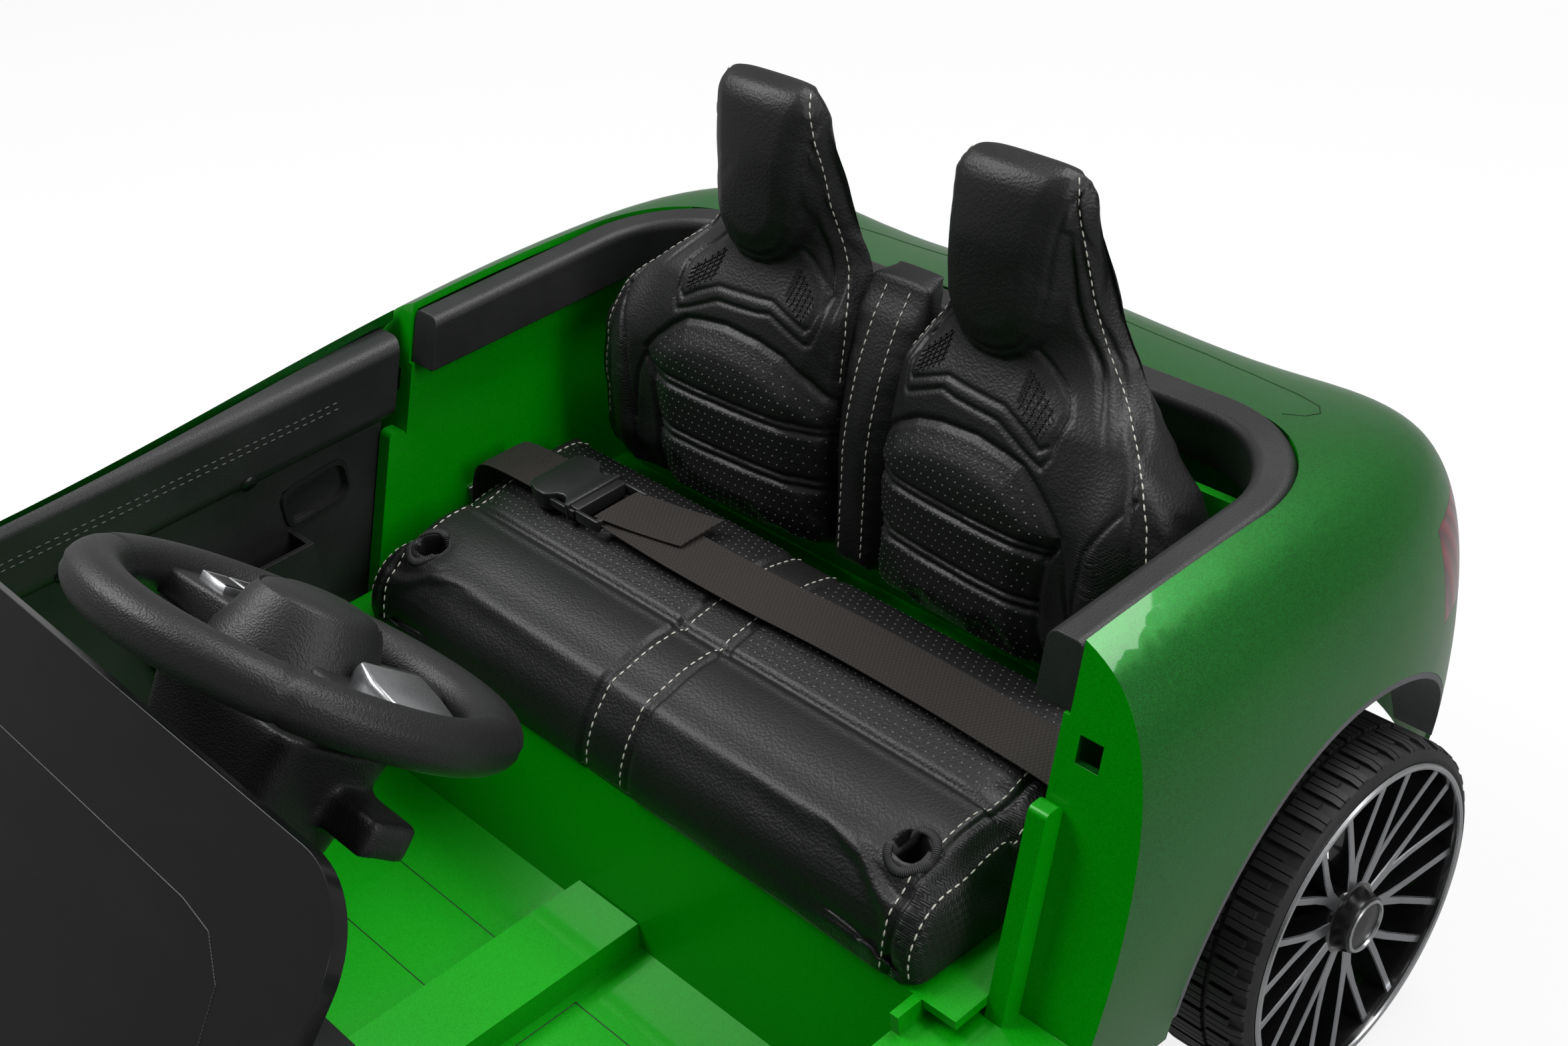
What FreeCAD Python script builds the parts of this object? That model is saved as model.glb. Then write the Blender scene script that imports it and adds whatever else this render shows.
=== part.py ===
import FreeCAD, Part
import math
import os

# Electric ride-on car with two seats. Millimetres, +X the car's left, -Y its front, +Z up, z = 0 the ground.

# Body shell
BODY_LENGTH = 1320.0
BODY_WIDTH = 700.0
BELT_HEIGHT = 345.0
SHELL_WALL = 4.0
SILL_WIDTH = 88.0
DOOR_DEPTH = 42.0
OPENING_HALF = BODY_WIDTH / 2 - DOOR_DEPTH
FLOOR_HALF = BODY_WIDTH / 2 - SILL_WIDTH
COCKPIT_CORNER = 90.0
OVERRUN = 60.0
SEAT_GAP = 0.3

# Each row: place along half the length, half width, foot, bulge, belt and crown heights
body_station_shares = [
    (-1.000, 0.62, 0.29, 0.50, 0.66, 0.71),
    (-0.930, 0.86, 0.23, 0.58, 0.76, 0.83),
    (-0.740, 0.97, 0.20, 0.66, 0.87, 0.95),
    (-0.515, 1.000, 0.20, 0.72, 0.94, 1.01),
    (-0.250, 0.965, 0.20, 0.74, 0.99, 1.075),
    (0.100, 0.960, 0.20, 0.75, 1.00, 1.10),
    (0.440, 0.995, 0.20, 0.77, 1.02, 1.12),
    (0.700, 1.000, 0.20, 0.76, 1.02, 1.09),
    (0.900, 0.940, 0.23, 0.72, 0.98, 1.02),
    (1.000, 0.700, 0.30, 0.62, 0.84, 0.88),
]
HINGE_WIDTH_SHARE = 0.965
FOOT_WIDTH_SHARE = 0.94
SHOULDER_SHARE = 0.91
DECK_SHARE = 0.60
DECK_RISE_SHARE = 0.72

# Places and reaches along the body, as shares of its length from its middle
place_shares = {
    "cowl": -0.14015152, "cockpit_rear": 0.41515152, "front_axle": -0.25757576, "rear_axle": 0.34848485,
    "firewall": -0.13939394, "front_plate": 0.21969697, "bench_wall": 0.14393939, "door_front": -0.04545455,
    "jamb_foot": 0.18409091, "jamb_top": 0.22954545, "pocket": 0.05303030, "pocket_run": 0.09090909,
    "bench_front": 0.15378788, "grommet": 0.18560606, "belt": 0.25606061, "screen_top": -0.06060606,
    "dash_depth": 0.07727273, "steer": -0.00378788, "battery": 0.17575758, "battery_depth": 0.09848485,
    "pedal": -0.07272727, "headlamp": 0.09848485, "tail_lamp": 0.06969697,
}
COWL_Y = BODY_LENGTH * place_shares["cowl"]
COCKPIT_REAR = BODY_LENGTH * place_shares["cockpit_rear"]

# Wheels and axles
TYRE_RADIUS = 112.0
TYRE_WIDTH = 70.0
TYRE_SHOULDER = 8.0
TREAD_RIB = 8.0
TREAD_GROOVE = 4.0
TREAD_DEPTH = 2.5
WHEEL_PROUD = 16.0
WHEEL_FACE_X = BODY_WIDTH / 2 + WHEEL_PROUD
FRONT_AXLE_Y = BODY_LENGTH * place_shares["front_axle"]
REAR_AXLE_Y = BODY_LENGTH * place_shares["rear_axle"]
RIM_RADIUS = 101.0
RIM_WALL = 5.0
RIM_LIP = 2.0
RIM_SETBACK = 4.0
HUB_RADIUS = 22.0
HUB_SETBACK = 10.0
HUB_LENGTH = 56.0
SPOKE_PAIRS = 10
SPOKE_SPLAY_DEG = 7.0
SPOKE_WIDTH = 5.0
SPOKE_DEPTH = 12.0
SPOKE_SETBACK = 9.0
CAP_RADIUS = 19.0
CAP_LENGTH = 13.0
CAP_ROUND = 4.0
AXLE_RADIUS = 6.0
AXLE_END_GAP = 4.0
RUN_CLEARANCE = 0.05
ARCH_GAP = 36.0
STEERED_ARCH_GAP = 50.0
LINER_WALL = 4.0
LINER_CLEARANCE = 5.0
LINER_DROP = 24.0

# Floor tub
FLOOR_TOP = 72.0
TUB_WALL = 6.0
TUNNEL_HALF = 29.0
TUNNEL_RISE = 18.0
SILL_TOP = 165.0
SILL_INSET = 14.0
SILL_LIP_DROP = 25.0
FIREWALL_Y = BODY_LENGTH * place_shares["firewall"]
BENCH_WALL_FOOT_Y = BODY_LENGTH * place_shares["bench_wall"]
BENCH_WALL_LEAN = 18.0
BENCH_DECK_Z = 178.0
SIDE_WALL_STEP = 28.0
SIDE_WALL_HALF = FLOOR_HALF + SIDE_WALL_STEP
SIDE_WALL_THICK = 4.0
FRONT_PLATE_INSET = 112.0
FRONT_PLATE_HALF = FLOOR_HALF - FRONT_PLATE_INSET
FRONT_PLATE_LENGTH = BODY_LENGTH * place_shares["front_plate"]
BEAM_BRACKET_HALF = 14.0
CARRIER_STANDOFF = 14.0
CARRIER_HALF = 30.0
RIB_WIDTH = 12.0
RIB_DEPTH = 14.0
RIB_HEIGHT = 120.0

# Door jambs and doors
DOOR_FRONT_Y = BODY_LENGTH * place_shares["door_front"]
JAMB_FOOT_Y = BODY_LENGTH * place_shares["jamb_foot"]
JAMB_TOP_Y = BODY_LENGTH * place_shares["jamb_top"]
JAMB_WALL = 4.0
LATCH_HOLE = 15.0
LATCH_STEP = 16.0
LATCH_X = SIDE_WALL_HALF + LATCH_STEP
LATCH_Z = 314.0
DOOR_GAP = 3.0
DOOR_BOTTOM = 150.0
DOOR_OPEN_DEG = 62.0
HINGE_INSET = 7.0
BARREL_RADIUS = 6.0
BARREL_TOP = 290.0
LUG_THICK = 5.0
LUG_CLEARANCE = 4.0
PIN_RADIUS = 2.5
PIN_LENGTH = 14.0
TRIM_WALL = 4.0
TRIM_STEP = 8.0
TRIM_INNER_X = OPENING_HALF - TRIM_STEP
TRIM_PAD = 15.0
TRIM_PAD_X = TRIM_INNER_X - TRIM_PAD
TRIM_PAD_LOW = 300.0
TRIM_TOP = 350.0
TRIM_END_GAP = 12.0
TRIM_ROUND = 10.0
POCKET_DEPTH = 26.0
POCKET_HEIGHT = 52.0
POCKET_LENGTH = BODY_LENGTH * place_shares["pocket_run"]
POCKET_Z = 192.0
POCKET_Y = BODY_LENGTH * place_shares["pocket"]
RECESS_LENGTH = 46.0
RECESS_HEIGHT = 24.0
RECESS_END_GAP = 28.0
RECESS_Z = 262.0
MIRROR_LENGTH = 58.0
MIRROR_HEIGHT = 40.0
MIRROR_DEPTH = 34.0
MIRROR_ROUND = 12.0
MIRROR_OUT = 8.0
STALK_LENGTH = 24.0
STALK_HEIGHT = 12.0

# Cockpit rail
RAIL_WIDTH = 25.0
RAIL_LOW = 328.0
RAIL_TOP = 364.0
RAIL_ROUND = 7.0

# Bench cushion
BENCH_SIDE_GAP = 28.0
BENCH_HALF = SIDE_WALL_HALF - BENCH_SIDE_GAP
BENCH_FRONT = BODY_LENGTH * place_shares["bench_front"]
BENCH_BACK_RUN = 52.5
BENCH_ROLL_TOP = 232.0
BENCH_REAR_TOP = 243.0
BENCH_CROWN = 3.0
BENCH_ROLL = 9.0
SEAM_DEPTH = 4.0
SEAM_HALF = 4.0
STRIPE_HALF = 22.0
STRIPE_SEAM = 3.0
END_DRAW = 14.0
END_SINK = 12.0
SEAM_DEPTH_SHARE = 0.46
ROLL_TOP_SHARE = 0.22
GROMMET_INSET = 38.0
GROMMET_X = BENCH_HALF - GROMMET_INSET
GROMMET_Y = BODY_LENGTH * place_shares["grommet"]
GROMMET_RADIUS = 10.0
SCREW_HEAD_RADIUS = 8.0
SCREW_HEAD_HEIGHT = 6.0

# Backrests
SEAT_CENTRE_SHARE = 0.40076336
SEAT_CENTRE_X = BENCH_HALF * SEAT_CENTRE_SHARE
BACK_HEIGHT = 300.0
BACK_RECLINE_DEG = 16.0
BACK_STANDOFF = 94.5
BACK_FOOT_Y = COCKPIT_REAR - BACK_STANDOFF
BENCH_REAR = BACK_FOOT_Y - BENCH_BACK_RUN
BACK_FOOT_Z = 212.0
BACK_DEPTH = 40.0
BACK_CROWN = 15.0
BACK_SIDE_BOW = 4.0
CHANNEL_DEPTH = 5.0
CHANNEL_HALF = 3.0
VALLEY_HALF = 17.0
VALLEY_GAP = 1.0
VALLEY_HEIGHT = 200.0
VALLEY_DEPTH = 48.0
BACK_GAP = 0.8
BACK_SHELL_THICK = 12.0
INNER_REACH = SEAT_CENTRE_X - VALLEY_HALF - VALLEY_GAP
OUTER_REACH = BENCH_HALF - SEAT_CENTRE_X
# Each row: height, inner reach, outer reach, depth
back_section_shares = [
    (0.000, 1.00, 0.95, 0.92),
    (0.060, 1.00, 0.98, 1.00),
    (0.190, 1.00, 1.00, 1.00),
    (0.330, 1.00, 0.96, 1.00),
    (0.440, 1.00, 0.85, 0.92),
    (0.520, 0.99, 0.68, 0.86),
    (0.620, 0.86, 0.49, 0.86),
    (0.700, 0.72, 0.40, 0.96),
    (0.840, 0.64, 0.355, 1.00),
    (0.950, 0.58, 0.32, 0.94),
    (0.985, 0.50, 0.28, 0.80),
    (1.000, 0.40, 0.22, 0.60),
]
channel_height_shares = (0.150, 0.185, 0.270, 0.305)
valley_profile_shares = [
    (0.0, 0.0), (1.0, 0.0), (1.0, 0.18), (0.94, 0.40), (0.80, 0.68), (0.58, 0.86), (0.30, 0.97), (0.0, 1.0),
]

# Lap belt
BELT_WIDTH = 38.0
BELT_THICK = 1.8
BELT_Y = BODY_LENGTH * place_shares["belt"]
BELT_DROP_Z = 205.0
ANCHOR_THICK = 3.0
ANCHOR_HEIGHT = 26.0
BUCKLE_X = -178.0
BUCKLE_LENGTH = 44.0
BUCKLE_WIDTH = 50.0
BUCKLE_THICK = 13.0
INSERT_LENGTH = 30.0
INSERT_WIDTH_SHARE = 0.8
INSERT_THICK_SHARE = 0.7
BUCKLE_ROUND = 4.0

# Windscreen
SCREEN_TOP_Y = BODY_LENGTH * place_shares["screen_top"]
SCREEN_TOP_Z = 478.0
SCREEN_RAKE_DEG = 42.0
SCREEN_SLOPE = 225.0
SCREEN_TOP_INSET = 20.0
SCREEN_TOP_HALF = OPENING_HALF - SCREEN_TOP_INSET
SCREEN_FLARE = 30.0
SCREEN_FOOT_HALF = SCREEN_TOP_HALF + SCREEN_FLARE
SCREEN_CORNER = 45.0
SCREEN_THICK = 8.0

# Dashboard
DASH_END_GAP = 4.0
DASH_HALF = FLOOR_HALF - DASH_END_GAP
DASH_DEPTH = BODY_LENGTH * place_shares["dash_depth"]
DASH_LOW = 285.0
DASH_HEIGHT = 97.5
DASH_ROUND = 12.0
dash_profile_shares = [(0.0, 0.0), (0.70, 0.0), (1.0, 0.40), (1.0, 0.82), (0.80, 1.0), (0.0, 1.0)]
DISPLAY_LENGTH = 150.0
DISPLAY_HEIGHT = 26.0
DISPLAY_THICK = 3.0
DISPLAY_X = -95.0
CONTROL_Z = 347.0
POWER_INSET = 62.0
POWER_X = POWER_INSET - DASH_HALF
POWER_RADIUS = 9.0
POWER_STAND = 4.0
POWER_DEPTH = 9.0
POWER_TRAVEL = 2.0
ROCKER_INSET = 32.0
ROCKER_X = ROCKER_INSET - DASH_HALF
ROCKER_RADIUS = 9.0
ROCKER_LENGTH = 18.0
CONTROL_GAP = 0.3
SOCKET_Z = 185.0
SOCKET_RADIUS = 8.0
SOCKET_LENGTH = 14.0
SOCKET_BORE_RADIUS = 2.75
SOCKET_BORE_DEPTH = 10.0

# Steering
STEER_X = 105.0
STEER_Y = BODY_LENGTH * place_shares["steer"]
STEER_Z = 455.0
ARM_LENGTH = 47.6992
FINGER_END_Z = 111.7169
RIM_RING_RADIUS = 94.0
GRIP_RADIUS = 13.0
STEER_HUB_RADIUS = 36.0
STEER_HUB_THICK = 26.0
SPOKE_BAR_WIDTH = 34.0
SPOKE_BAR_THICK = 14.0
LOWER_SPOKE_WIDTH = 26.0
PAD_RADIUS = 30.0
PAD_THICK = 9.0
PAD_ROUND = 4.0
KEY_LENGTH = 15.0
KEY_WIDTH = 11.0
KEY_HEIGHT = 7.0
KEY_STAND = 2.5
KEY_TRAVEL = 1.2
KEY_WELL_SHARE = 1.25
KEY_GAP = 0.3
KEY_PITCH = 15.0
KEY_RADIUS = 58.0
PANEL_LENGTH = 34.0
PANEL_WIDTH = 26.0
PANEL_THICK = 3.0
SHAFT_RADIUS = 6.0
SHAFT_HOLE = 12.0
CRANK_RADIUS = 24.0
CRANK_THICK = 8.0
CRANK_WIDTH = 14.0
FINGER_RADIUS = 5.0
FINGER_LENGTH = 22.0
SHROUD_WIDTH = 112.0
SHROUD_DEPTH = 66.0
SHROUD_LENGTH = 116.0
SHROUD_TAPER_SHARE = 0.62
SHROUD_ROUND = 12.0
SHROUD_GAP = 4.0
LEVER_LENGTH = 46.0
LEVER_WIDTH = 26.0
LEVER_THICK = 18.0

# Front axle, knuckles and tie rod
KING_STANDOFF = 34.0
KING_RADIUS = 5.0
KING_HEAD_RADIUS = 8.0
KING_HEAD_HEIGHT = 4.0
EYE_RADIUS = 11.0
EYE_HEIGHT = 26.0
BEAM_DEPTH = 16.0
BEAM_HEIGHT = 16.0
YOKE_THICK = 6.0
YOKE_GAP = 0.3
YOKE_WEB = 9.0
YOKE_CLEARANCE = 3.0
STUB_RADIUS = 6.0
ARM_WIDTH = 14.0
ARM_PIN_RADIUS = 4.0
ARM_PIN_STAND = 9.0
TIE_THICK = 6.0
TIE_WIDTH = 24.0
TIE_END = 11.0
TIE_GAP = 1.0
TIE_SLOT_GAP = 0.7
TIE_SLOT_RUN = 3.4
FORK_GAP = 0.9
FORK_WALL = 4.0
FORK_HEIGHT = 20.5

# Drive units, battery and control box
GEARBOX_GAP = 10.0
GEARBOX_WIDTH = 82.0
GEARBOX_LENGTH = 84.0
GEARBOX_HEIGHT = 70.0
GEARBOX_ROUND = 8.0
MOTOR_RADIUS = 18.0
MOTOR_LENGTH = 62.0
MOTOR_OFFSET = 52.0
BATTERY_LENGTH = 180.0
BATTERY_DEPTH = BODY_LENGTH * place_shares["battery_depth"]
BATTERY_HEIGHT = 92.0
BATTERY_Y = BODY_LENGTH * place_shares["battery"]
BATTERY_X = -60.0
CONTROLLER_LENGTH = 80.0
CONTROLLER_DEPTH = 90.0
CONTROLLER_HEIGHT = 34.0
CONTROLLER_X = 120.0

# Pedal
PEDAL_X = 70.0
PEDAL_PIVOT_Y = BODY_LENGTH * place_shares["pedal"]
PEDAL_PIVOT_RISE = 12.0
PEDAL_LENGTH = 72.0
PEDAL_WIDTH = 56.0
PEDAL_THICK = 7.0
PEDAL_REST_DEG = 34.0
PEDAL_BARREL = 6.0
PEDAL_PIN_RADIUS = 3.0
PEDAL_LUG = 8.0
PEDAL_SIDE_GAP = 0.5

# Lamps and grille
LAMP_DEPTH = 12.0
HEADLAMP_WIDTH = 160.0
HEADLAMP_INSET = 20.0
HEADLAMP_LOW = 188.0
HEADLAMP_HEIGHT = 52.0
HEADLAMP_REACH = BODY_LENGTH * place_shares["headlamp"]
TAIL_LAMP_WIDTH = 155.0
TAIL_LAMP_INSET = 5.0
TAIL_LAMP_LOW = 250.0
TAIL_LAMP_HEIGHT = 62.0
TAIL_LAMP_REACH = BODY_LENGTH * place_shares["tail_lamp"]
LAMP_ROUND = 14.0
GRILLE_HALF = 145.0
GRILLE_LOW = 120.0
GRILLE_HEIGHT = 88.0
GRILLE_FRAME = 9.0
GRILLE_BAR = 5.0
GRILLE_BARS = 6
GRILLE_ROUND = 16.0

AXLE_Z = TYRE_RADIUS
FLOOR_LOW = FLOOR_TOP - TUB_WALL
HALF_LENGTH = BODY_LENGTH / 2
DECK_LOW = BENCH_DECK_Z - TUB_WALL
TIE_Y = FRONT_AXLE_Y + ARM_LENGTH
COLUMN_RUN = FreeCAD.Vector(0, STEER_Y - TIE_Y, STEER_Z - FINGER_END_Z)
TILT = math.atan2(COLUMN_RUN.y, COLUMN_RUN.z) + math.asin(CRANK_RADIUS / COLUMN_RUN.Length)
STEER_TILT_DEG = math.degrees(TILT)
SHAFT_LENGTH = math.sqrt(COLUMN_RUN.Length ** 2 - CRANK_RADIUS ** 2) - FINGER_LENGTH
STEER_AXIS = FreeCAD.Vector(0, math.sin(TILT), math.cos(TILT))
STEER_POINT = FreeCAD.Vector(STEER_X, STEER_Y, STEER_Z)
CRANK_WAY = FreeCAD.Vector(0, math.cos(TILT), -math.sin(TILT))
SHAFT_END = STEER_POINT - STEER_AXIS * SHAFT_LENGTH
FINGER_END = SHAFT_END + CRANK_WAY * CRANK_RADIUS - STEER_AXIS * FINGER_LENGTH
JAMB_SLOPE_SHARE = (JAMB_TOP_Y - JAMB_FOOT_Y) / (BELT_HEIGHT - SILL_TOP)
RAIL_OUTER = SIDE_WALL_HALF
REAR_ARCH = TYRE_RADIUS + ARCH_GAP
FRONT_ARCH = TYRE_RADIUS + STEERED_ARCH_GAP
WHEEL_INNER_X = WHEEL_FACE_X - TYRE_WIDTH
KING_X = WHEEL_INNER_X - KING_STANDOFF
GEARBOX_OUTER_X = WHEEL_INNER_X - GEARBOX_GAP
GEARBOX_INNER_X = GEARBOX_OUTER_X - GEARBOX_WIDTH
CARRIER_X = GEARBOX_INNER_X - CARRIER_STANDOFF
HEADLAMP_OUTER_X = BODY_WIDTH / 2 - HEADLAMP_INSET
HEADLAMP_INNER_X = HEADLAMP_OUTER_X - HEADLAMP_WIDTH
TAIL_LAMP_OUTER_X = BODY_WIDTH / 2 - TAIL_LAMP_INSET
TAIL_LAMP_INNER_X = TAIL_LAMP_OUTER_X - TAIL_LAMP_WIDTH
AXLE_END_X = WHEEL_FACE_X - HUB_SETBACK - AXLE_END_GAP


def vec(x, y, z):
    return FreeCAD.Vector(x, y, z)


def box(x0, x1, y0, y1, z0, z1):
    return Part.makeBox(x1 - x0, y1 - y0, z1 - z0, vec(x0, y0, z0))


def rod(start, end, radius):
    way = end - start
    return Part.makeCylinder(radius, way.Length, start, way)


def join(shapes):
    whole = shapes[0].multiFuse(shapes[1:]) if len(shapes) > 1 else shapes[0]
    return whole.removeSplitter()


def biggest(shape):
    return max(shape.Solids, key=lambda solid: solid.Volume)


def mirrored(shape):
    return shape.mirror(vec(0, 0, 0), vec(1, 0, 0))


def outline(corners):
    """Closed wire through (point, radius) corners. A zero radius keeps the corner sharp."""
    spans = []
    for index, (point, radius) in enumerate(corners):
        back = (corners[index - 1][0] - point).normalize()
        ahead = (corners[(index + 1) % len(corners)][0] - point).normalize()
        if radius == 0:
            spans.append((point, None, point))
            continue
        half = back.getAngle(ahead) / 2
        inward = (back + ahead).normalize()
        centre = point + inward * (radius / math.sin(half))
        run = radius / math.tan(half)
        spans.append((point + back * run, centre - inward * radius, point + ahead * run))
    edges = []
    for index, (start, middle, end) in enumerate(spans):
        if middle is not None:
            edges.append(Part.Arc(start, middle, end).toShape())
        edges.append(Part.makeLine(end, spans[(index + 1) % len(spans)][0]))
    return Part.Wire(edges)


def slab(corners, way):
    return Part.Face(outline(corners)).extrude(way)


def across(profile, x0, x1):
    """Solid with a (y, z, radius) side profile between two X planes."""
    return slab([(vec(x0, y, z), r) for y, z, r in profile], vec(x1 - x0, 0, 0))


def endways(profile, y0, y1):
    """Solid with an (x, z, radius) end profile between two Y planes."""
    return slab([(vec(x, y0, z), r) for x, z, r in profile], vec(0, y1 - y0, 0))


def upright(profile, z0, z1):
    """Solid with an (x, y, radius) plan between two Z planes."""
    return slab([(vec(x, y, z0), r) for x, y, r in profile], vec(0, 0, z1 - z0))


def export(name, shape):
    shape.exportStep("parts/" + name + ".step")


def body_section(station, inset):
    """Closed cross section of the body form, drawn in by the inset and opened downwards where it has one."""
    along, wide, foot, bulge, belt, crown = station
    y = along * (HALF_LENGTH - inset)
    half = wide * BODY_WIDTH / 2 - inset
    drop = OVERRUN if inset > 0 else 0
    belt_z = belt * BELT_HEIGHT - inset
    crown_z = crown * BELT_HEIGHT - inset
    right = [
        (half * FOOT_WIDTH_SHARE, foot * BELT_HEIGHT - drop),
        (half, bulge * BELT_HEIGHT),
        (half * SHOULDER_SHARE, belt_z),
        (half * DECK_SHARE, belt_z + (crown_z - belt_z) * DECK_RISE_SHARE),
    ]
    left = [(-x, z) for x, z in reversed(right)]
    points = [vec(x, y, z) for x, z in right + [(0, crown_z)] + left]
    curve = Part.BSplineCurve()
    curve.interpolate(points)
    return Part.Wire([curve.toShape(), Part.makeLine(points[-1], points[0])])


def body_form(inset):
    return Part.makeLoft([body_section(station, inset) for station in body_station_shares], True, False)


def jamb_y(z):
    return JAMB_FOOT_Y + (z - SILL_TOP) * JAMB_SLOPE_SHARE


def cockpit_plan(rear_half, rear_y, corner, z0, z1):
    """Upright prism of the cockpit behind the jambs, with rounded rear corners."""
    front = JAMB_FOOT_Y - OVERRUN
    return upright([(-rear_half, front, 0), (rear_half, front, 0), (rear_half, rear_y, corner),
                    (-rear_half, rear_y, corner)], z0, z1)


def cockpit_opening():
    top = BELT_HEIGHT + OVERRUN * 2
    doors = box(-OPENING_HALF, OPENING_HALF, COWL_Y, JAMB_TOP_Y, BENCH_DECK_Z, top)
    seats = cockpit_plan(RAIL_OUTER, COCKPIT_REAR, COCKPIT_CORNER, BENCH_DECK_Z, top)
    return join([doors, seats])


def arch_cutter(axle_y, radius, side):
    """Space of one wheel arch, from the wheel well out past the skin."""
    near, far = WHEEL_INNER_X - LINER_CLEARANCE, BODY_WIDTH / 2 + OVERRUN
    round_part = rod(vec(near, axle_y, AXLE_Z), vec(far, axle_y, AXLE_Z), radius)
    legs = box(near, far, axle_y - radius, axle_y + radius, -OVERRUN, AXLE_Z)
    cutter = join([round_part, legs])
    return cutter if side > 0 else mirrored(cutter)


def arch_liner(axle_y, radius, outer_form):
    """Half-round wheel well lining, open below, ending flush with the skin."""
    near, far = WHEEL_INNER_X - LINER_CLEARANCE, BODY_WIDTH / 2 + OVERRUN
    start, end = vec(near, axle_y, AXLE_Z), vec(far, axle_y, AXLE_Z)
    ring = rod(start, end, radius).cut(rod(start, end, radius - LINER_WALL))
    ring = ring.cut(box(near, far, axle_y - radius, axle_y + radius, -OVERRUN, AXLE_Z + LINER_DROP))
    return biggest(ring.common(outer_form))


def all_arches():
    return [arch_cutter(y, r, side) for y, r in ((FRONT_AXLE_Y, FRONT_ARCH), (REAR_AXLE_Y, REAR_ARCH))
            for side in (1, -1)]


def lamp_prism(inner_x, outer_x, low, height, y0, y1, side):
    profile = [(inner_x, low, LAMP_ROUND), (outer_x, low, LAMP_ROUND),
               (outer_x, low + height, LAMP_ROUND), (inner_x, low + height, LAMP_ROUND)]
    prism = endways(profile, y0, y1)
    return prism if side > 0 else mirrored(prism)


def headlamp_prism(side):
    return lamp_prism(HEADLAMP_INNER_X, HEADLAMP_OUTER_X, HEADLAMP_LOW, HEADLAMP_HEIGHT,
                      -HALF_LENGTH - OVERRUN, -HALF_LENGTH + HEADLAMP_REACH, side)


def tail_lamp_prism(side):
    return lamp_prism(TAIL_LAMP_INNER_X, TAIL_LAMP_OUTER_X, TAIL_LAMP_LOW, TAIL_LAMP_HEIGHT,
                      HALF_LENGTH - TAIL_LAMP_REACH, HALF_LENGTH + OVERRUN, side)


def grille_prism():
    profile = [(-GRILLE_HALF, GRILLE_LOW, GRILLE_ROUND), (GRILLE_HALF, GRILLE_LOW, GRILLE_ROUND),
               (GRILLE_HALF, GRILLE_LOW + GRILLE_HEIGHT, GRILLE_ROUND),
               (-GRILLE_HALF, GRILLE_LOW + GRILLE_HEIGHT, GRILLE_ROUND)]
    return endways(profile, -HALF_LENGTH - OVERRUN, -HALF_LENGTH + LAMP_DEPTH)


def grille(outer_form):
    """Flush panel with a frame and upright bars."""
    panel = grille_prism().common(outer_form)
    gap_width = (2 * (GRILLE_HALF - GRILLE_FRAME) - (GRILLE_BARS - 1) * GRILLE_BAR) / GRILLE_BARS
    low, high = GRILLE_LOW + GRILLE_FRAME, GRILLE_LOW + GRILLE_HEIGHT - GRILLE_FRAME
    for index in range(GRILLE_BARS):
        x0 = -GRILLE_HALF + GRILLE_FRAME + index * (gap_width + GRILLE_BAR)
        panel = panel.cut(box(x0, x0 + gap_width, -HALF_LENGTH - OVERRUN, 0, low, high))
    return panel


def lug(side, z0):
    """Hinge lug that reaches back from the front body to the door's axis."""
    axis_x, axis_y = hinge_axis()
    eye = rod(vec(axis_x, axis_y, z0), vec(axis_x, axis_y, z0 + LUG_THICK), BARREL_RADIUS)
    plate = box(axis_x - BARREL_RADIUS, axis_x + BARREL_RADIUS, DOOR_FRONT_Y - DOOR_GAP * 2, axis_y,
                z0, z0 + LUG_THICK)
    whole = join([eye, plate])
    whole = whole.cut(rod(vec(axis_x, axis_y, z0), vec(axis_x, axis_y, z0 + LUG_THICK), PIN_RADIUS))
    return whole if side > 0 else mirrored(whole)


def hinge_axis():
    """X and Y of the left door's upright hinge axis."""
    return HINGE_WIDTH_SHARE * BODY_WIDTH / 2 - HINGE_INSET, DOOR_FRONT_Y + BARREL_RADIUS


def hinge_levels():
    return DOOR_BOTTOM - LUG_THICK - SEAT_GAP, BARREL_TOP + SEAT_GAP


def hinge_pins():
    axis_x, axis_y = hinge_axis()
    pins = []
    for level in hinge_levels():
        middle = level + LUG_THICK / 2
        pin = rod(vec(axis_x, axis_y, middle - PIN_LENGTH / 2), vec(axis_x, axis_y, middle + PIN_LENGTH / 2),
                  PIN_RADIUS)
        pins += [pin, mirrored(pin)]
    return Part.makeCompound(pins)


def front_body(shell):
    """Bonnet, front wings and nose, with hinge lugs at its rear edge."""
    zone = box(-BODY_WIDTH, BODY_WIDTH, -HALF_LENGTH - OVERRUN, DOOR_FRONT_Y - DOOR_GAP, -OVERRUN,
               BELT_HEIGHT * 2)
    part = shell.common(zone)
    for cutter in [headlamp_prism(1), headlamp_prism(-1), grille_prism()]:
        part = part.cut(cutter)
    post_y0, post_y1 = DOOR_FRONT_Y - DOOR_GAP * 2, DOOR_FRONT_Y - DOOR_GAP
    posts = [biggest(box(OPENING_HALF, BODY_WIDTH, post_y0, post_y1,
                         DOOR_BOTTOM - LUG_THICK * 2, BELT_HEIGHT)
                     .common(body_form(0)))]
    lugs = [lug(1, level) for level in hinge_levels()]
    side_parts = posts + lugs
    return join([biggest(part)] + side_parts + [mirrored(piece) for piece in side_parts])


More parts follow.
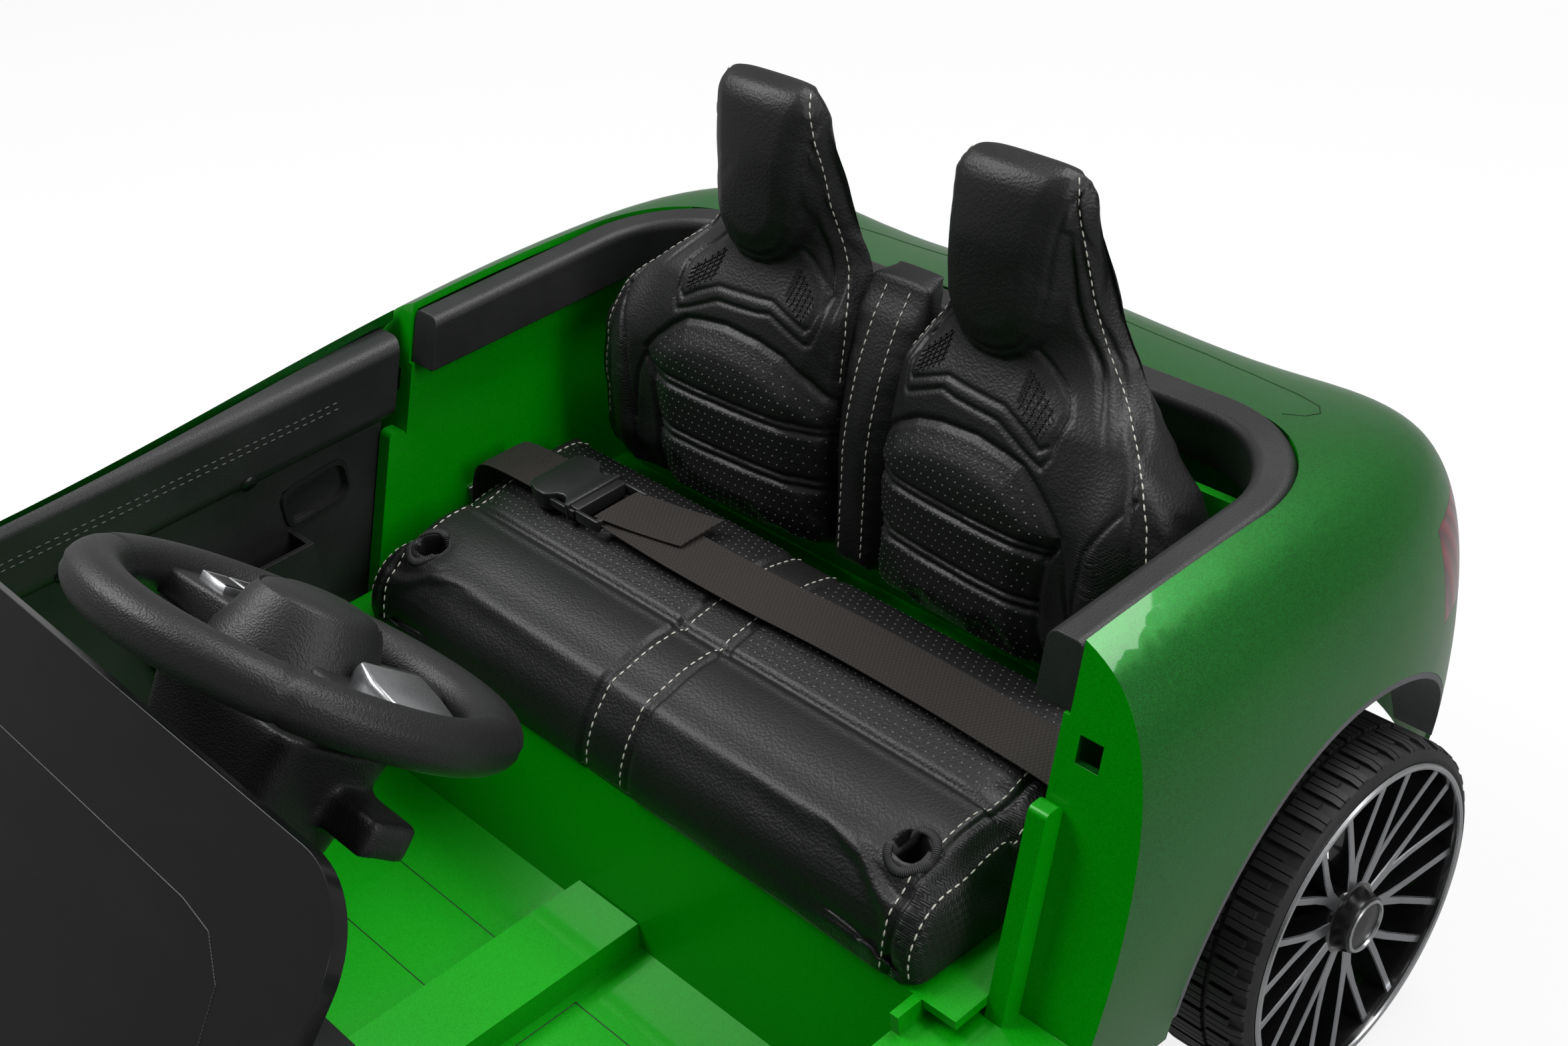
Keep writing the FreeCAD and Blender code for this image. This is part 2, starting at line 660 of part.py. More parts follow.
def jamb_panel():
    """Slanted face behind the left door, with a square latch hole."""
    top = BELT_HEIGHT * 2
    profile = [(JAMB_FOOT_Y, SILL_TOP, 0), (JAMB_FOOT_Y + JAMB_WALL, SILL_TOP, 0),
               (jamb_y(top) + JAMB_WALL, top, 0), (jamb_y(top), top, 0)]
    panel = across(profile, SIDE_WALL_HALF, BODY_WIDTH).common(body_form(0))
    half = LATCH_HOLE / 2
    hole_y = jamb_y(LATCH_Z)
    hole = box(LATCH_X - half, LATCH_X + half, hole_y - OVERRUN, hole_y + OVERRUN,
               LATCH_Z - half, LATCH_Z + half)
    return biggest(panel.cut(hole))


def rear_body(shell):
    """Rear wings, deck and tail with the door jambs."""
    top = BELT_HEIGHT * 2
    rear = HALF_LENGTH + OVERRUN
    profile = [(JAMB_FOOT_Y, -OVERRUN, 0), (JAMB_FOOT_Y, SILL_TOP, 0), (jamb_y(top), top, 0), (rear, top, 0),
               (rear, -OVERRUN, 0)]
    part = shell.common(across(profile, -BODY_WIDTH, BODY_WIDTH))
    part = part.cut(tail_lamp_prism(1)).cut(tail_lamp_prism(-1)).cut(socket_seat(SOCKET_RADIUS, OVERRUN))
    panel = jamb_panel()
    return join([biggest(part), panel, mirrored(panel)])


def sill(shell_form, wall_form):
    """Left sill below the door: outer skin, inset top and open underside."""
    front, rear = DOOR_FRONT_Y - DOOR_GAP, JAMB_FOOT_Y
    inner = FLOOR_HALF - TUB_WALL
    lip = SILL_TOP - SILL_LIP_DROP
    lower = box(inner, BODY_WIDTH, front, rear, FLOOR_LOW, lip).common(shell_form)
    upper = box(inner, BODY_WIDTH, front, rear, lip, SILL_TOP).common(body_form(SILL_INSET))
    whole = join([lower, upper])
    void_x, end = FLOOR_HALF, SHELL_WALL
    low_void = box(void_x, BODY_WIDTH, front + end, rear - end, -OVERRUN, lip - end).common(wall_form)
    high_void = box(void_x, BODY_WIDTH, front + end, rear - end, lip - end * 2, SILL_TOP - end)
    high_void = high_void.common(body_form(SILL_INSET + SHELL_WALL))
    return biggest(whole.cut(low_void).cut(high_void))


def rib():
    """Rounded upright bar on the side wall beside the bench."""
    run = RIB_HEIGHT * JAMB_SLOPE_SHARE
    y0 = JAMB_FOOT_Y - RIB_DEPTH
    profile = [(y0, SILL_TOP, 0), (JAMB_FOOT_Y, SILL_TOP, 0),
               (JAMB_FOOT_Y + run, SILL_TOP + RIB_HEIGHT, RIB_DEPTH / 3),
               (y0 + run, SILL_TOP + RIB_HEIGHT, RIB_DEPTH / 3)]
    return across(profile, SIDE_WALL_HALF - SIDE_WALL_THICK, SIDE_WALL_HALF - SIDE_WALL_THICK + RIB_WIDTH)


def side_wall():
    """Left inner wall beside the seats, up to the rail."""
    profile = [(JAMB_FOOT_Y, DECK_LOW, 0), (jamb_y(DECK_LOW), DECK_LOW, 0), (jamb_y(RAIL_LOW), RAIL_LOW, 0),
               (COCKPIT_REAR - COCKPIT_CORNER, RAIL_LOW, 0), (COCKPIT_REAR - COCKPIT_CORNER, DECK_LOW, 0)]
    return across(profile[1:], SIDE_WALL_HALF - SIDE_WALL_THICK, SIDE_WALL_HALF)


def rear_wall():
    """Rounded wall behind the seats, up to the rail."""
    outer = cockpit_plan(SIDE_WALL_HALF, COCKPIT_REAR, COCKPIT_CORNER, DECK_LOW, RAIL_LOW)
    inner = cockpit_plan(SIDE_WALL_HALF - SIDE_WALL_THICK, COCKPIT_REAR - SIDE_WALL_THICK,
                         COCKPIT_CORNER - SIDE_WALL_THICK, DECK_LOW, RAIL_LOW)
    front = JAMB_FOOT_Y - OVERRUN * 2
    seats = box(-BODY_WIDTH, BODY_WIDTH, front, COCKPIT_REAR - COCKPIT_CORNER, 0, BELT_HEIGHT)
    return biggest(outer.cut(inner).cut(seats))


def bench_base():
    """Leaning wall under the bench's front edge and the deck that carries the seats."""
    foot, head = BENCH_WALL_FOOT_Y, BENCH_WALL_FOOT_Y + BENCH_WALL_LEAN
    wall = across([(foot, FLOOR_LOW, 0), (foot + TUB_WALL, FLOOR_LOW, 0), (head + TUB_WALL, BENCH_DECK_Z, 0),
                   (head, BENCH_DECK_Z, 0)], -FLOOR_HALF, FLOOR_HALF)
    deck = cockpit_plan(SIDE_WALL_HALF, COCKPIT_REAR, COCKPIT_CORNER, DECK_LOW, BENCH_DECK_Z)
    deck = deck.cut(box(-BODY_WIDTH, BODY_WIDTH, -BODY_LENGTH, head, 0, BELT_HEIGHT))
    side = box(SIDE_WALL_HALF - SIDE_WALL_THICK, SIDE_WALL_HALF, head, JAMB_FOOT_Y, 0, BELT_HEIGHT)
    rear = box(FLOOR_HALF - TUB_WALL, FLOOR_HALF, foot, REAR_AXLE_Y, FLOOR_LOW, BENCH_DECK_Z)
    gap_y = REAR_AXLE_Y - CARRIER_HALF * 2 + SEAT_GAP
    rear = rear.cut(box(0, BODY_WIDTH, gap_y, BODY_LENGTH, 0, DECK_LOW))
    return [wall, deck.cut(side).cut(mirrored(side)), rear, mirrored(rear)]


def bulkhead():
    """Leaning panel that carries the seat backs."""
    lean = math.tan(math.radians(BACK_RECLINE_DEG))
    y0 = BACK_FOOT_Y + BACK_SHELL_THICK / math.cos(math.radians(BACK_RECLINE_DEG))
    y0 = y0 - (BACK_FOOT_Z - BENCH_DECK_Z) * lean
    run = (RAIL_LOW - BENCH_DECK_Z) * lean
    return across([(y0, BENCH_DECK_Z, 0), (y0 + TUB_WALL, BENCH_DECK_Z, 0),
                   (y0 + run + TUB_WALL, RAIL_LOW, 0), (y0 + run, RAIL_LOW, 0)], -FLOOR_HALF, FLOOR_HALF)


def axle_carrier():
    rear = REAR_AXLE_Y + MOTOR_OFFSET - MOTOR_RADIUS * 2 - YOKE_CLEARANCE
    plate = box(CARRIER_X - TUB_WALL, CARRIER_X, REAR_AXLE_Y - CARRIER_HALF, rear,
                AXLE_Z - CARRIER_HALF / 2, DECK_LOW)
    return plate.cut(rod(vec(0, REAR_AXLE_Y, AXLE_Z), vec(BODY_WIDTH, REAR_AXLE_Y, AXLE_Z), AXLE_RADIUS))


def front_plate():
    """Plate ahead of the firewall that carries the front axle beam."""
    low = AXLE_Z + EYE_HEIGHT / 2 + YOKE_THICK
    front = FIREWALL_Y - FRONT_PLATE_LENGTH
    plate = box(-FRONT_PLATE_HALF, FRONT_PLATE_HALF, front, FIREWALL_Y, low, low + TUB_WALL)
    parts = [plate]
    for x in (-FRONT_PLATE_HALF + BEAM_BRACKET_HALF * 2, FRONT_PLATE_HALF - BEAM_BRACKET_HALF * 2):
        parts.append(box(x - BEAM_BRACKET_HALF, x + BEAM_BRACKET_HALF, FRONT_AXLE_Y - BEAM_DEPTH / 2,
                         FRONT_AXLE_Y + BEAM_DEPTH / 2, AXLE_Z + BEAM_HEIGHT / 2, low))
    slot = box(STEER_X - CRANK_RADIUS * 2, STEER_X + CRANK_RADIUS * 2, SHAFT_END.y - CRANK_RADIUS * 2,
               SHAFT_END.y + CRANK_RADIUS * 2, 0, BELT_HEIGHT)
    return join(parts).cut(slot)


def pedal_pivot():
    return vec(PEDAL_X, PEDAL_PIVOT_Y, FLOOR_TOP + PEDAL_PIVOT_RISE)


def pedal_lugs():
    """Two floor lugs with the pin that the pedal turns on."""
    pivot = pedal_pivot()
    parts = []
    for side in (-1, 1):
        near = pivot.x + side * (PEDAL_WIDTH / 2 + PEDAL_SIDE_GAP)
        far = near + side * PEDAL_LUG
        parts.append(box(min(near, far), max(near, far), pivot.y - PEDAL_LUG, pivot.y + PEDAL_LUG, FLOOR_TOP,
                         pivot.z + PEDAL_LUG))
    reach = vec(PEDAL_WIDTH / 2 + PEDAL_SIDE_GAP, 0, 0)
    parts.append(rod(pivot - reach, pivot + reach, PEDAL_PIN_RADIUS))
    return parts


def cabin_tub(shell_form, wall_form):
    """Floor, tunnel, sills, firewall, bench base and inner walls in one moulding."""
    rear = REAR_AXLE_Y - CARRIER_HALF * 2
    floor = box(-FLOOR_HALF, FLOOR_HALF, FIREWALL_Y - TUB_WALL, rear, FLOOR_LOW, FLOOR_TOP)
    tunnel = box(-TUNNEL_HALF, TUNNEL_HALF, FIREWALL_Y, BENCH_WALL_FOOT_Y + TUB_WALL / 2, FLOOR_TOP,
                 FLOOR_TOP + TUNNEL_RISE)
    firewall = box(-FLOOR_HALF, FLOOR_HALF, FIREWALL_Y - TUB_WALL, FIREWALL_Y, FLOOR_LOW,
                   DASH_LOW + DASH_HEIGHT / 2)
    foot_side = box(FLOOR_HALF - TUB_WALL, FLOOR_HALF, FIREWALL_Y, DOOR_FRONT_Y, FLOOR_LOW, SILL_TOP)
    left = [sill(shell_form, wall_form), side_wall(), rib(), axle_carrier(), foot_side]
    parts = [floor, tunnel, firewall, rear_wall(), bulkhead(), front_plate()]
    parts += bench_base() + left + [mirrored(piece) for piece in left] + pedal_lugs()
    return biggest(join(parts).cut(rod(STEER_POINT, SHAFT_END, SHAFT_HOLE)))


def cockpit_rail():
    """Dark trim that runs round the cockpit behind the doors."""
    outer = cockpit_plan(RAIL_OUTER, COCKPIT_REAR, COCKPIT_CORNER, RAIL_LOW, RAIL_TOP)
    inner = cockpit_plan(RAIL_OUTER - RAIL_WIDTH, COCKPIT_REAR - RAIL_WIDTH, COCKPIT_CORNER - RAIL_WIDTH,
                         RAIL_LOW, RAIL_TOP)
    ring = outer.cut(inner)
    front = jamb_y(RAIL_TOP) + JAMB_WALL
    ring = biggest(ring.cut(box(-BODY_WIDTH, BODY_WIDTH, -BODY_LENGTH, front, 0, BELT_HEIGHT * 2)))
    top_edges = [edge for edge in ring.Edges
                 if edge.BoundBox.ZMin > RAIL_TOP - SEAT_GAP and edge.BoundBox.YMax > front + SEAT_GAP]
    return ring.makeFillet(RAIL_ROUND, top_edges)


def bench_section(x, draw, sink):
    """Side profile of the bench cushion: front roll, seam channel and crowned rear panel."""
    front, rear = BENCH_FRONT + draw, BENCH_REAR
    depth = BENCH_REAR - BENCH_FRONT
    low = BENCH_DECK_Z
    roll_y = front + depth * ROLL_TOP_SHARE
    seam_y = BENCH_FRONT + depth * SEAM_DEPTH_SHARE
    roll_z, rear_z = BENCH_ROLL_TOP - sink, BENCH_REAR_TOP - sink
    seam_z = roll_z + (rear_z - roll_z) * SEAM_DEPTH_SHARE
    front_mid = vec(x, front - BENCH_ROLL / 3 + (roll_y - front) / 5, low + (roll_z - low) * 2 / 3)
    points = [vec(x, rear, low), vec(x, front, low), vec(x, roll_y, roll_z),
              vec(x, seam_y - SEAM_HALF, seam_z), vec(x, seam_y, seam_z - SEAM_DEPTH),
              vec(x, seam_y + SEAM_HALF, seam_z), vec(x, rear, rear_z)]
    top_mid = (points[2] + points[3]) / 2 + vec(0, 0, BENCH_CROWN)
    rear_mid = (points[5] + points[6]) / 2 + vec(0, 0, BENCH_CROWN)
    return Part.Wire([
        Part.makeLine(points[0], points[1]), Part.Arc(points[1], front_mid, points[2]).toShape(),
        Part.Arc(points[2], top_mid, points[3]).toShape(), Part.makeLine(points[3], points[4]),
        Part.makeLine(points[4], points[5]), Part.Arc(points[5], rear_mid, points[6]).toShape(),
        Part.makeLine(points[6], points[0])])


def bench_cushion():
    """Cushion with drawn-in ends, a seam across and a sewn stripe down the middle."""
    stations = [(BENCH_HALF, END_DRAW, END_SINK), (BENCH_HALF - END_DRAW / 3, END_DRAW / 3, END_SINK / 3),
                (BENCH_HALF - END_DRAW, 0, 0), (STRIPE_HALF + STRIPE_SEAM, 0, 0),
                (STRIPE_HALF, 0, STRIPE_SEAM), (STRIPE_HALF - STRIPE_SEAM, 0, 0)]
    left = [(-x, draw, sink) for x, draw, sink in stations]
    sections = [bench_section(*row) for row in left + stations[::-1]]
    cushion = Part.makeLoft(sections, True, True)
    for side in (-1, 1):
        cushion = cushion.cut(grommet_hole(side))
    return cushion


def grommet_hole(side):
    at = side * GROMMET_X
    return rod(vec(at, GROMMET_Y, BENCH_DECK_Z - OVERRUN), vec(at, GROMMET_Y, BELT_HEIGHT), GROMMET_RADIUS)


def seat_screws():
    screws = []
    for side in (-1, 1):
        at = side * GROMMET_X
        head = BENCH_DECK_Z + SCREW_HEAD_HEIGHT
        screws.append(rod(vec(at, GROMMET_Y, BENCH_DECK_Z), vec(at, GROMMET_Y, head), SCREW_HEAD_RADIUS))
    return Part.makeCompound(screws)


def back_place(shape):
    """Lean a piece drawn upright at the backrest's foot and set it in its place."""
    shape.rotate(vec(0, 0, 0), vec(1, 0, 0), -BACK_RECLINE_DEG)
    shape.translate(vec(0, BACK_FOOT_Y, BACK_FOOT_Z))
    return shape


def back_reach(share):
    """Inner reach, outer reach and depth of the backrest at a share of its height."""
    for lower, upper in zip(back_section_shares, back_section_shares[1:]):
        if lower[0] <= share <= upper[0]:
            part = (share - lower[0]) / (upper[0] - lower[0])
            row = [a + (b - a) * part for a, b in zip(lower, upper)]
            return row[1] * INNER_REACH, row[2] * OUTER_REACH, row[3] * BACK_DEPTH


def back_section(share, sink):
    """Plan section of the left backrest: bowed front and sides, flat rear."""
    inner, outer, depth = back_reach(share)
    z = share * BACK_HEIGHT
    depth = depth - sink
    x0, x1 = SEAT_CENTRE_X - inner, SEAT_CENTRE_X + outer
    bow = BACK_SIDE_BOW * (depth / BACK_DEPTH)
    draw = BACK_SIDE_BOW * 2
    corners = [vec(x0, 0, z), vec(x1, 0, z), vec(x1 - draw, -depth, z), vec(x0 + draw / 2, -depth, z)]
    crown = vec((x0 + x1) / 2, -depth - BACK_CROWN * (x1 - x0) / (INNER_REACH + OUTER_REACH), z)
    return Part.Wire([
        Part.makeLine(corners[0], corners[1]),
        Part.Arc(corners[1], vec(x1 - draw / 2 + bow, -depth / 2, z), corners[2]).toShape(),
        Part.Arc(corners[2], crown, corners[3]).toShape(),
        Part.Arc(corners[3], vec(x0 + draw / 4 - bow / 4, -depth / 2, z), corners[0]).toShape()])


def left_backrest():
    """Bucket backrest pad with two pairs of sewn channels and a tapered head."""
    half = CHANNEL_HALF / BACK_HEIGHT
    rows = [(share, 0) for share, *rest in back_section_shares]
    for share in channel_height_shares:
        rows += [(share - half, 0), (share, CHANNEL_DEPTH), (share + half, 0)]
    return back_place(Part.makeLoft([back_section(*row) for row in sorted(rows)], True, True))


def backrest_valley():
    """Saddle between the two backrests."""
    half = min(VALLEY_HALF, SEAT_CENTRE_X - INNER_REACH - BACK_GAP)
    profile = [(-along * VALLEY_DEPTH, up * VALLEY_HEIGHT, 0) for along, up in valley_profile_shares]
    return back_place(across(profile, -half, half))


def seat_back_shell():
    """Moulded shell behind both pads, in their outline."""
    rows = [back_reach(share) + (share * BACK_HEIGHT,) for share, *rest in back_section_shares]
    outer = [(SEAT_CENTRE_X + reach, z) for inner, reach, depth, z in rows]
    inner = [(SEAT_CENTRE_X - inner, z) for inner, reach, depth, z in reversed(rows)]
    half = endways([(x, z, 0) for x, z in outer + inner], 0, BACK_SHELL_THICK)
    bridge = box(-SEAT_CENTRE_X, SEAT_CENTRE_X, 0, BACK_SHELL_THICK, 0, VALLEY_HEIGHT)
    return back_place(join([half, mirrored(half), bridge]))


def belt_height():
    """Top of the bench's rear panel under the belt, with the seat gap."""
    return BENCH_REAR_TOP + BENCH_CROWN + SEAT_GAP


def belt_strap(start_x, end_x):
    """Strap from an anchor on the wall, up over the bench's end and along its top."""
    side = 1 if start_x > 0 else -1
    low, top = BELT_DROP_Z, belt_height()
    wall = side * (SIDE_WALL_HALF - SIDE_WALL_THICK - ANCHOR_THICK)
    edge = side * (BENCH_HALF + BELT_THICK)
    t = BELT_THICK
    profile = [(wall, low, 0), (wall, low + t * 4, 0), (edge, top + t, t * 2), (end_x, top + t, 0),
               (end_x, top, 0), (edge - side * t, top, t), (wall - side * t, low + t * 2, 0),
               (wall - side * t, low, 0)]
    return endways(profile, BELT_Y - BELT_WIDTH / 2, BELT_Y + BELT_WIDTH / 2)


def belt_anchors():
    x0, x1 = SIDE_WALL_HALF - SIDE_WALL_THICK - ANCHOR_THICK, SIDE_WALL_HALF - SIDE_WALL_THICK
    plate = box(x0, x1, BELT_Y - BELT_WIDTH / 2, BELT_Y + BELT_WIDTH / 2, BELT_DROP_Z - ANCHOR_HEIGHT / 2,
                BELT_DROP_Z + ANCHOR_HEIGHT / 2)
    return Part.makeCompound([plate, mirrored(plate)])


def buckle_block(x0, x1, width, thick):
    half = width / 2
    low = belt_height()
    block = upright([(x0, BELT_Y - half, BUCKLE_ROUND), (x1, BELT_Y - half, BUCKLE_ROUND),
                     (x1, BELT_Y + half, BUCKLE_ROUND), (x0, BELT_Y + half, BUCKLE_ROUND)], low, low + thick)
    return block


def windscreen(outer_form):
    """Raked tinted panel with rounded top corners, standing on the cowl."""
    rake = math.radians(SCREEN_RAKE_DEG)
    down = vec(0, -math.cos(rake), -math.sin(rake)) * SCREEN_SLOPE
    top = vec(0, SCREEN_TOP_Y, SCREEN_TOP_Z)
    foot = top + down
    corners = [(vec(-SCREEN_TOP_HALF, top.y, top.z), SCREEN_CORNER),
               (vec(SCREEN_TOP_HALF, top.y, top.z), SCREEN_CORNER),
               (vec(SCREEN_FOOT_HALF, foot.y, foot.z), 0), (vec(-SCREEN_FOOT_HALF, foot.y, foot.z), 0)]
    panel = slab(corners, vec(0, -math.sin(rake), math.cos(rake)) * SCREEN_THICK)
    panel = panel.cut(outer_form)
    return max(panel.Solids, key=lambda solid: solid.BoundBox.ZMax)


def dash_face_y():
    return FIREWALL_Y + DASH_DEPTH


def power_button():
    face = dash_face_y()
    start = face - POWER_DEPTH + POWER_TRAVEL * 2
    return rod(vec(POWER_X, start, CONTROL_Z), vec(POWER_X, face + POWER_STAND, CONTROL_Z), POWER_RADIUS)


def rocker_centre():
    return vec(ROCKER_X, dash_face_y() - ROCKER_RADIUS / 3, CONTROL_Z)


def drive_rocker():
    """Round-backed rocker with a flattened finger face."""
    centre = rocker_centre()
    reach = vec(ROCKER_LENGTH / 2, 0, 0)
    body = rod(centre - reach, centre + reach, ROCKER_RADIUS)
    flat = centre.y + ROCKER_RADIUS * 2 / 3
    return body.cut(box(-BODY_WIDTH, BODY_WIDTH, flat, flat + OVERRUN, 0, BELT_HEIGHT * 2))


def dashboard():
    """Dash moulding with seats for the button, the rocker and the column."""
    profile = [(FIREWALL_Y + along * DASH_DEPTH, DASH_LOW + up * DASH_HEIGHT, DASH_ROUND if along > 0 else 0)
               for along, up in dash_profile_shares]
    dash = across(profile, -DASH_HALF, DASH_HALF)
    face = dash_face_y()
    button_hole = rod(vec(POWER_X, face - POWER_DEPTH, CONTROL_Z), vec(POWER_X, face + OVERRUN, CONTROL_Z),
                      POWER_RADIUS + CONTROL_GAP)
    centre = rocker_centre()
    reach = vec(ROCKER_LENGTH / 2 + CONTROL_GAP, 0, 0)
    rocker_hole = rod(centre - reach, centre + reach, ROCKER_RADIUS + CONTROL_GAP)
    shaft_hole = rod(STEER_POINT, SHAFT_END, SHAFT_HOLE)
    for cutter in (button_hole, rocker_hole, shaft_hole, shroud_block()):
        dash = dash.cut(cutter)
    return biggest(dash)


def dash_display():
    face = dash_face_y()
    half = DISPLAY_LENGTH / 2
    return box(DISPLAY_X - half, DISPLAY_X + half, face, face + DISPLAY_THICK, CONTROL_Z - DISPLAY_HEIGHT / 2,
               CONTROL_Z + DISPLAY_HEIGHT / 2)


def socket_seat(radius, depth):
    """Round space in the tail's end wall, from its outside in."""
    return rod(vec(0, HALF_LENGTH - depth, SOCKET_Z), vec(0, HALF_LENGTH, SOCKET_Z), radius)


def charge_socket():
    """Round charging socket, flush with the tail."""
    return socket_seat(SOCKET_RADIUS, SOCKET_LENGTH).cut(socket_seat(SOCKET_BORE_RADIUS, SOCKET_BORE_DEPTH))


def steer_place(shape):
    """Set a piece drawn about the Z axis onto the tilted steering column."""
    shape.rotate(vec(0, 0, 0), vec(1, 0, 0), -STEER_TILT_DEG)
    shape.translate(STEER_POINT)
    return shape


def key_places():
    """Centres of the two keys on the far spoke, in the wheel's own plane."""
    return [(-KEY_RADIUS, KEY_PITCH / 2), (-KEY_RADIUS, -KEY_PITCH / 2)]


def key_block(place, grow, z0, z1):
    x, y = place
    half_x, half_y = KEY_LENGTH / 2 + grow, KEY_WIDTH / 2 + grow
    return box(x - half_x, x + half_x, y - half_y, y + half_y, z0, z1)


def steering_wheel():
    """Grip ring, three spokes and hub, with pockets for the keys."""
    face = SPOKE_BAR_THICK / 2
    ring = Part.makeTorus(RIM_RING_RADIUS, GRIP_RADIUS)
    hub = Part.makeCylinder(STEER_HUB_RADIUS, STEER_HUB_THICK, vec(0, 0, -STEER_HUB_THICK + face))
    bar = box(-RIM_RING_RADIUS, RIM_RING_RADIUS, -SPOKE_BAR_WIDTH / 2, SPOKE_BAR_WIDTH / 2, -face, face)
    lower = box(-LOWER_SPOKE_WIDTH / 2, LOWER_SPOKE_WIDTH / 2, 0, RIM_RING_RADIUS, -face, face)
    wheel = join([ring, hub, bar, lower])
    for place in key_places():
        well = face - KEY_HEIGHT + KEY_STAND - KEY_TRAVEL * KEY_WELL_SHARE
        wheel = wheel.cut(key_block(place, KEY_GAP, well, face + OVERRUN))
    wheel = wheel.cut(Part.makeCylinder(SHAFT_RADIUS, OVERRUN, vec(0, 0, -OVERRUN - face)))
    return steer_place(wheel)


def wheel_key(place):
    face = SPOKE_BAR_THICK / 2
    return steer_place(key_block(place, 0, face - KEY_HEIGHT + KEY_STAND, face + KEY_STAND))


def hub_pad():
    """Plain domed pad on the wheel's hub."""
    pad = Part.makeCylinder(PAD_RADIUS, PAD_THICK, vec(0, 0, SPOKE_BAR_THICK / 2))
    edges = [edge for edge in pad.Edges if edge.BoundBox.ZMin > SPOKE_BAR_THICK / 2 + PAD_THICK - SEAT_GAP]
    return steer_place(pad.makeFillet(PAD_ROUND, edges))


def spoke_panel():
    face = SPOKE_BAR_THICK / 2
    x0 = STEER_HUB_RADIUS + PANEL_THICK
    half = PANEL_WIDTH / 2
    return steer_place(box(x0, x0 + PANEL_LENGTH, -half, half, face, face + PANEL_THICK))


def steering_shaft():
    """Column shaft with the crank and finger that move the tie rod."""
    face = SPOKE_BAR_THICK / 2
    shaft = rod(STEER_POINT - STEER_AXIS * face, SHAFT_END, SHAFT_RADIUS)
    half = CRANK_WIDTH / 2
    crank = box(-half, half, -half, CRANK_RADIUS + half, 0, CRANK_THICK)
    crank.rotate(vec(0, 0, 0), vec(1, 0, 0), -STEER_TILT_DEG)
    crank.translate(SHAFT_END)
    start = SHAFT_END + CRANK_WAY * CRANK_RADIUS
    return join([shaft, crank, rod(start + STEER_AXIS * (CRANK_THICK / 2), FINGER_END, FINGER_RADIUS)])


def shroud_block():
    """Tapered block round the column, from behind the hub into the dash."""
    top = -STEER_HUB_THICK + SPOKE_BAR_THICK / 2 - SHROUD_GAP
    wires = []
    for z, scale in ((top, 1.0), (top - SHROUD_LENGTH, SHROUD_TAPER_SHARE), ):
        half_x, half_y = SHROUD_WIDTH / 2 * scale, SHROUD_DEPTH / 2 * scale
        corner = SHROUD_ROUND * scale
        wires.append(outline([(vec(-half_x, -half_y, z), corner), (vec(half_x, -half_y, z), corner),
                              (vec(half_x, half_y, z), corner), (vec(-half_x, half_y, z), corner)]))
    return steer_place(Part.makeLoft(wires, True, True))


def column_shroud():
    """Column cover with a lever block on its side."""
    top = -STEER_HUB_THICK + SPOKE_BAR_THICK / 2 - SHROUD_GAP
    x0 = SHROUD_WIDTH / 2 - LEVER_THICK
    lever = box(x0, x0 + LEVER_LENGTH, SHROUD_DEPTH / 2 - LEVER_WIDTH, SHROUD_DEPTH / 2,
                top - LEVER_THICK * 2, top - LEVER_THICK)
    return join([shroud_block(), steer_place(lever)]).cut(rod(STEER_POINT, SHAFT_END, SHAFT_HOLE))


def front_axle_beam():
    """Steel beam with an upright eye at each end."""
    beam = box(-KING_X, KING_X, FRONT_AXLE_Y - BEAM_DEPTH / 2, FRONT_AXLE_Y + BEAM_DEPTH / 2,
               AXLE_Z - BEAM_HEIGHT / 2, AXLE_Z + BEAM_HEIGHT / 2)
    parts, bores = [beam], []
    for side in (-1, 1):
        low = vec(side * KING_X, FRONT_AXLE_Y, AXLE_Z - EYE_HEIGHT / 2)
        high = low + vec(0, 0, EYE_HEIGHT)
        parts.append(rod(low, high, EYE_RADIUS))
        bores.append(rod(low, high, KING_RADIUS))
    whole = join(parts)
    for bore in bores:
        whole = whole.cut(bore)
    return whole


def yoke_levels():
    """Bottom of the lower and of the upper yoke plate."""
    return AXLE_Z - EYE_HEIGHT / 2 - YOKE_GAP - YOKE_THICK, AXLE_Z + EYE_HEIGHT / 2 + YOKE_GAP


def kingpins():
    low, high = yoke_levels()
    pins = []
    for side in (-1, 1):
        x = side * KING_X
        head = high + YOKE_THICK + YOKE_GAP
        pins.append(join([rod(vec(x, FRONT_AXLE_Y, low), vec(x, FRONT_AXLE_Y, head), KING_RADIUS),
                          rod(vec(x, FRONT_AXLE_Y, head), vec(x, FRONT_AXLE_Y, head + KING_HEAD_HEIGHT),
                              KING_HEAD_RADIUS)]))
    return Part.makeCompound(pins)


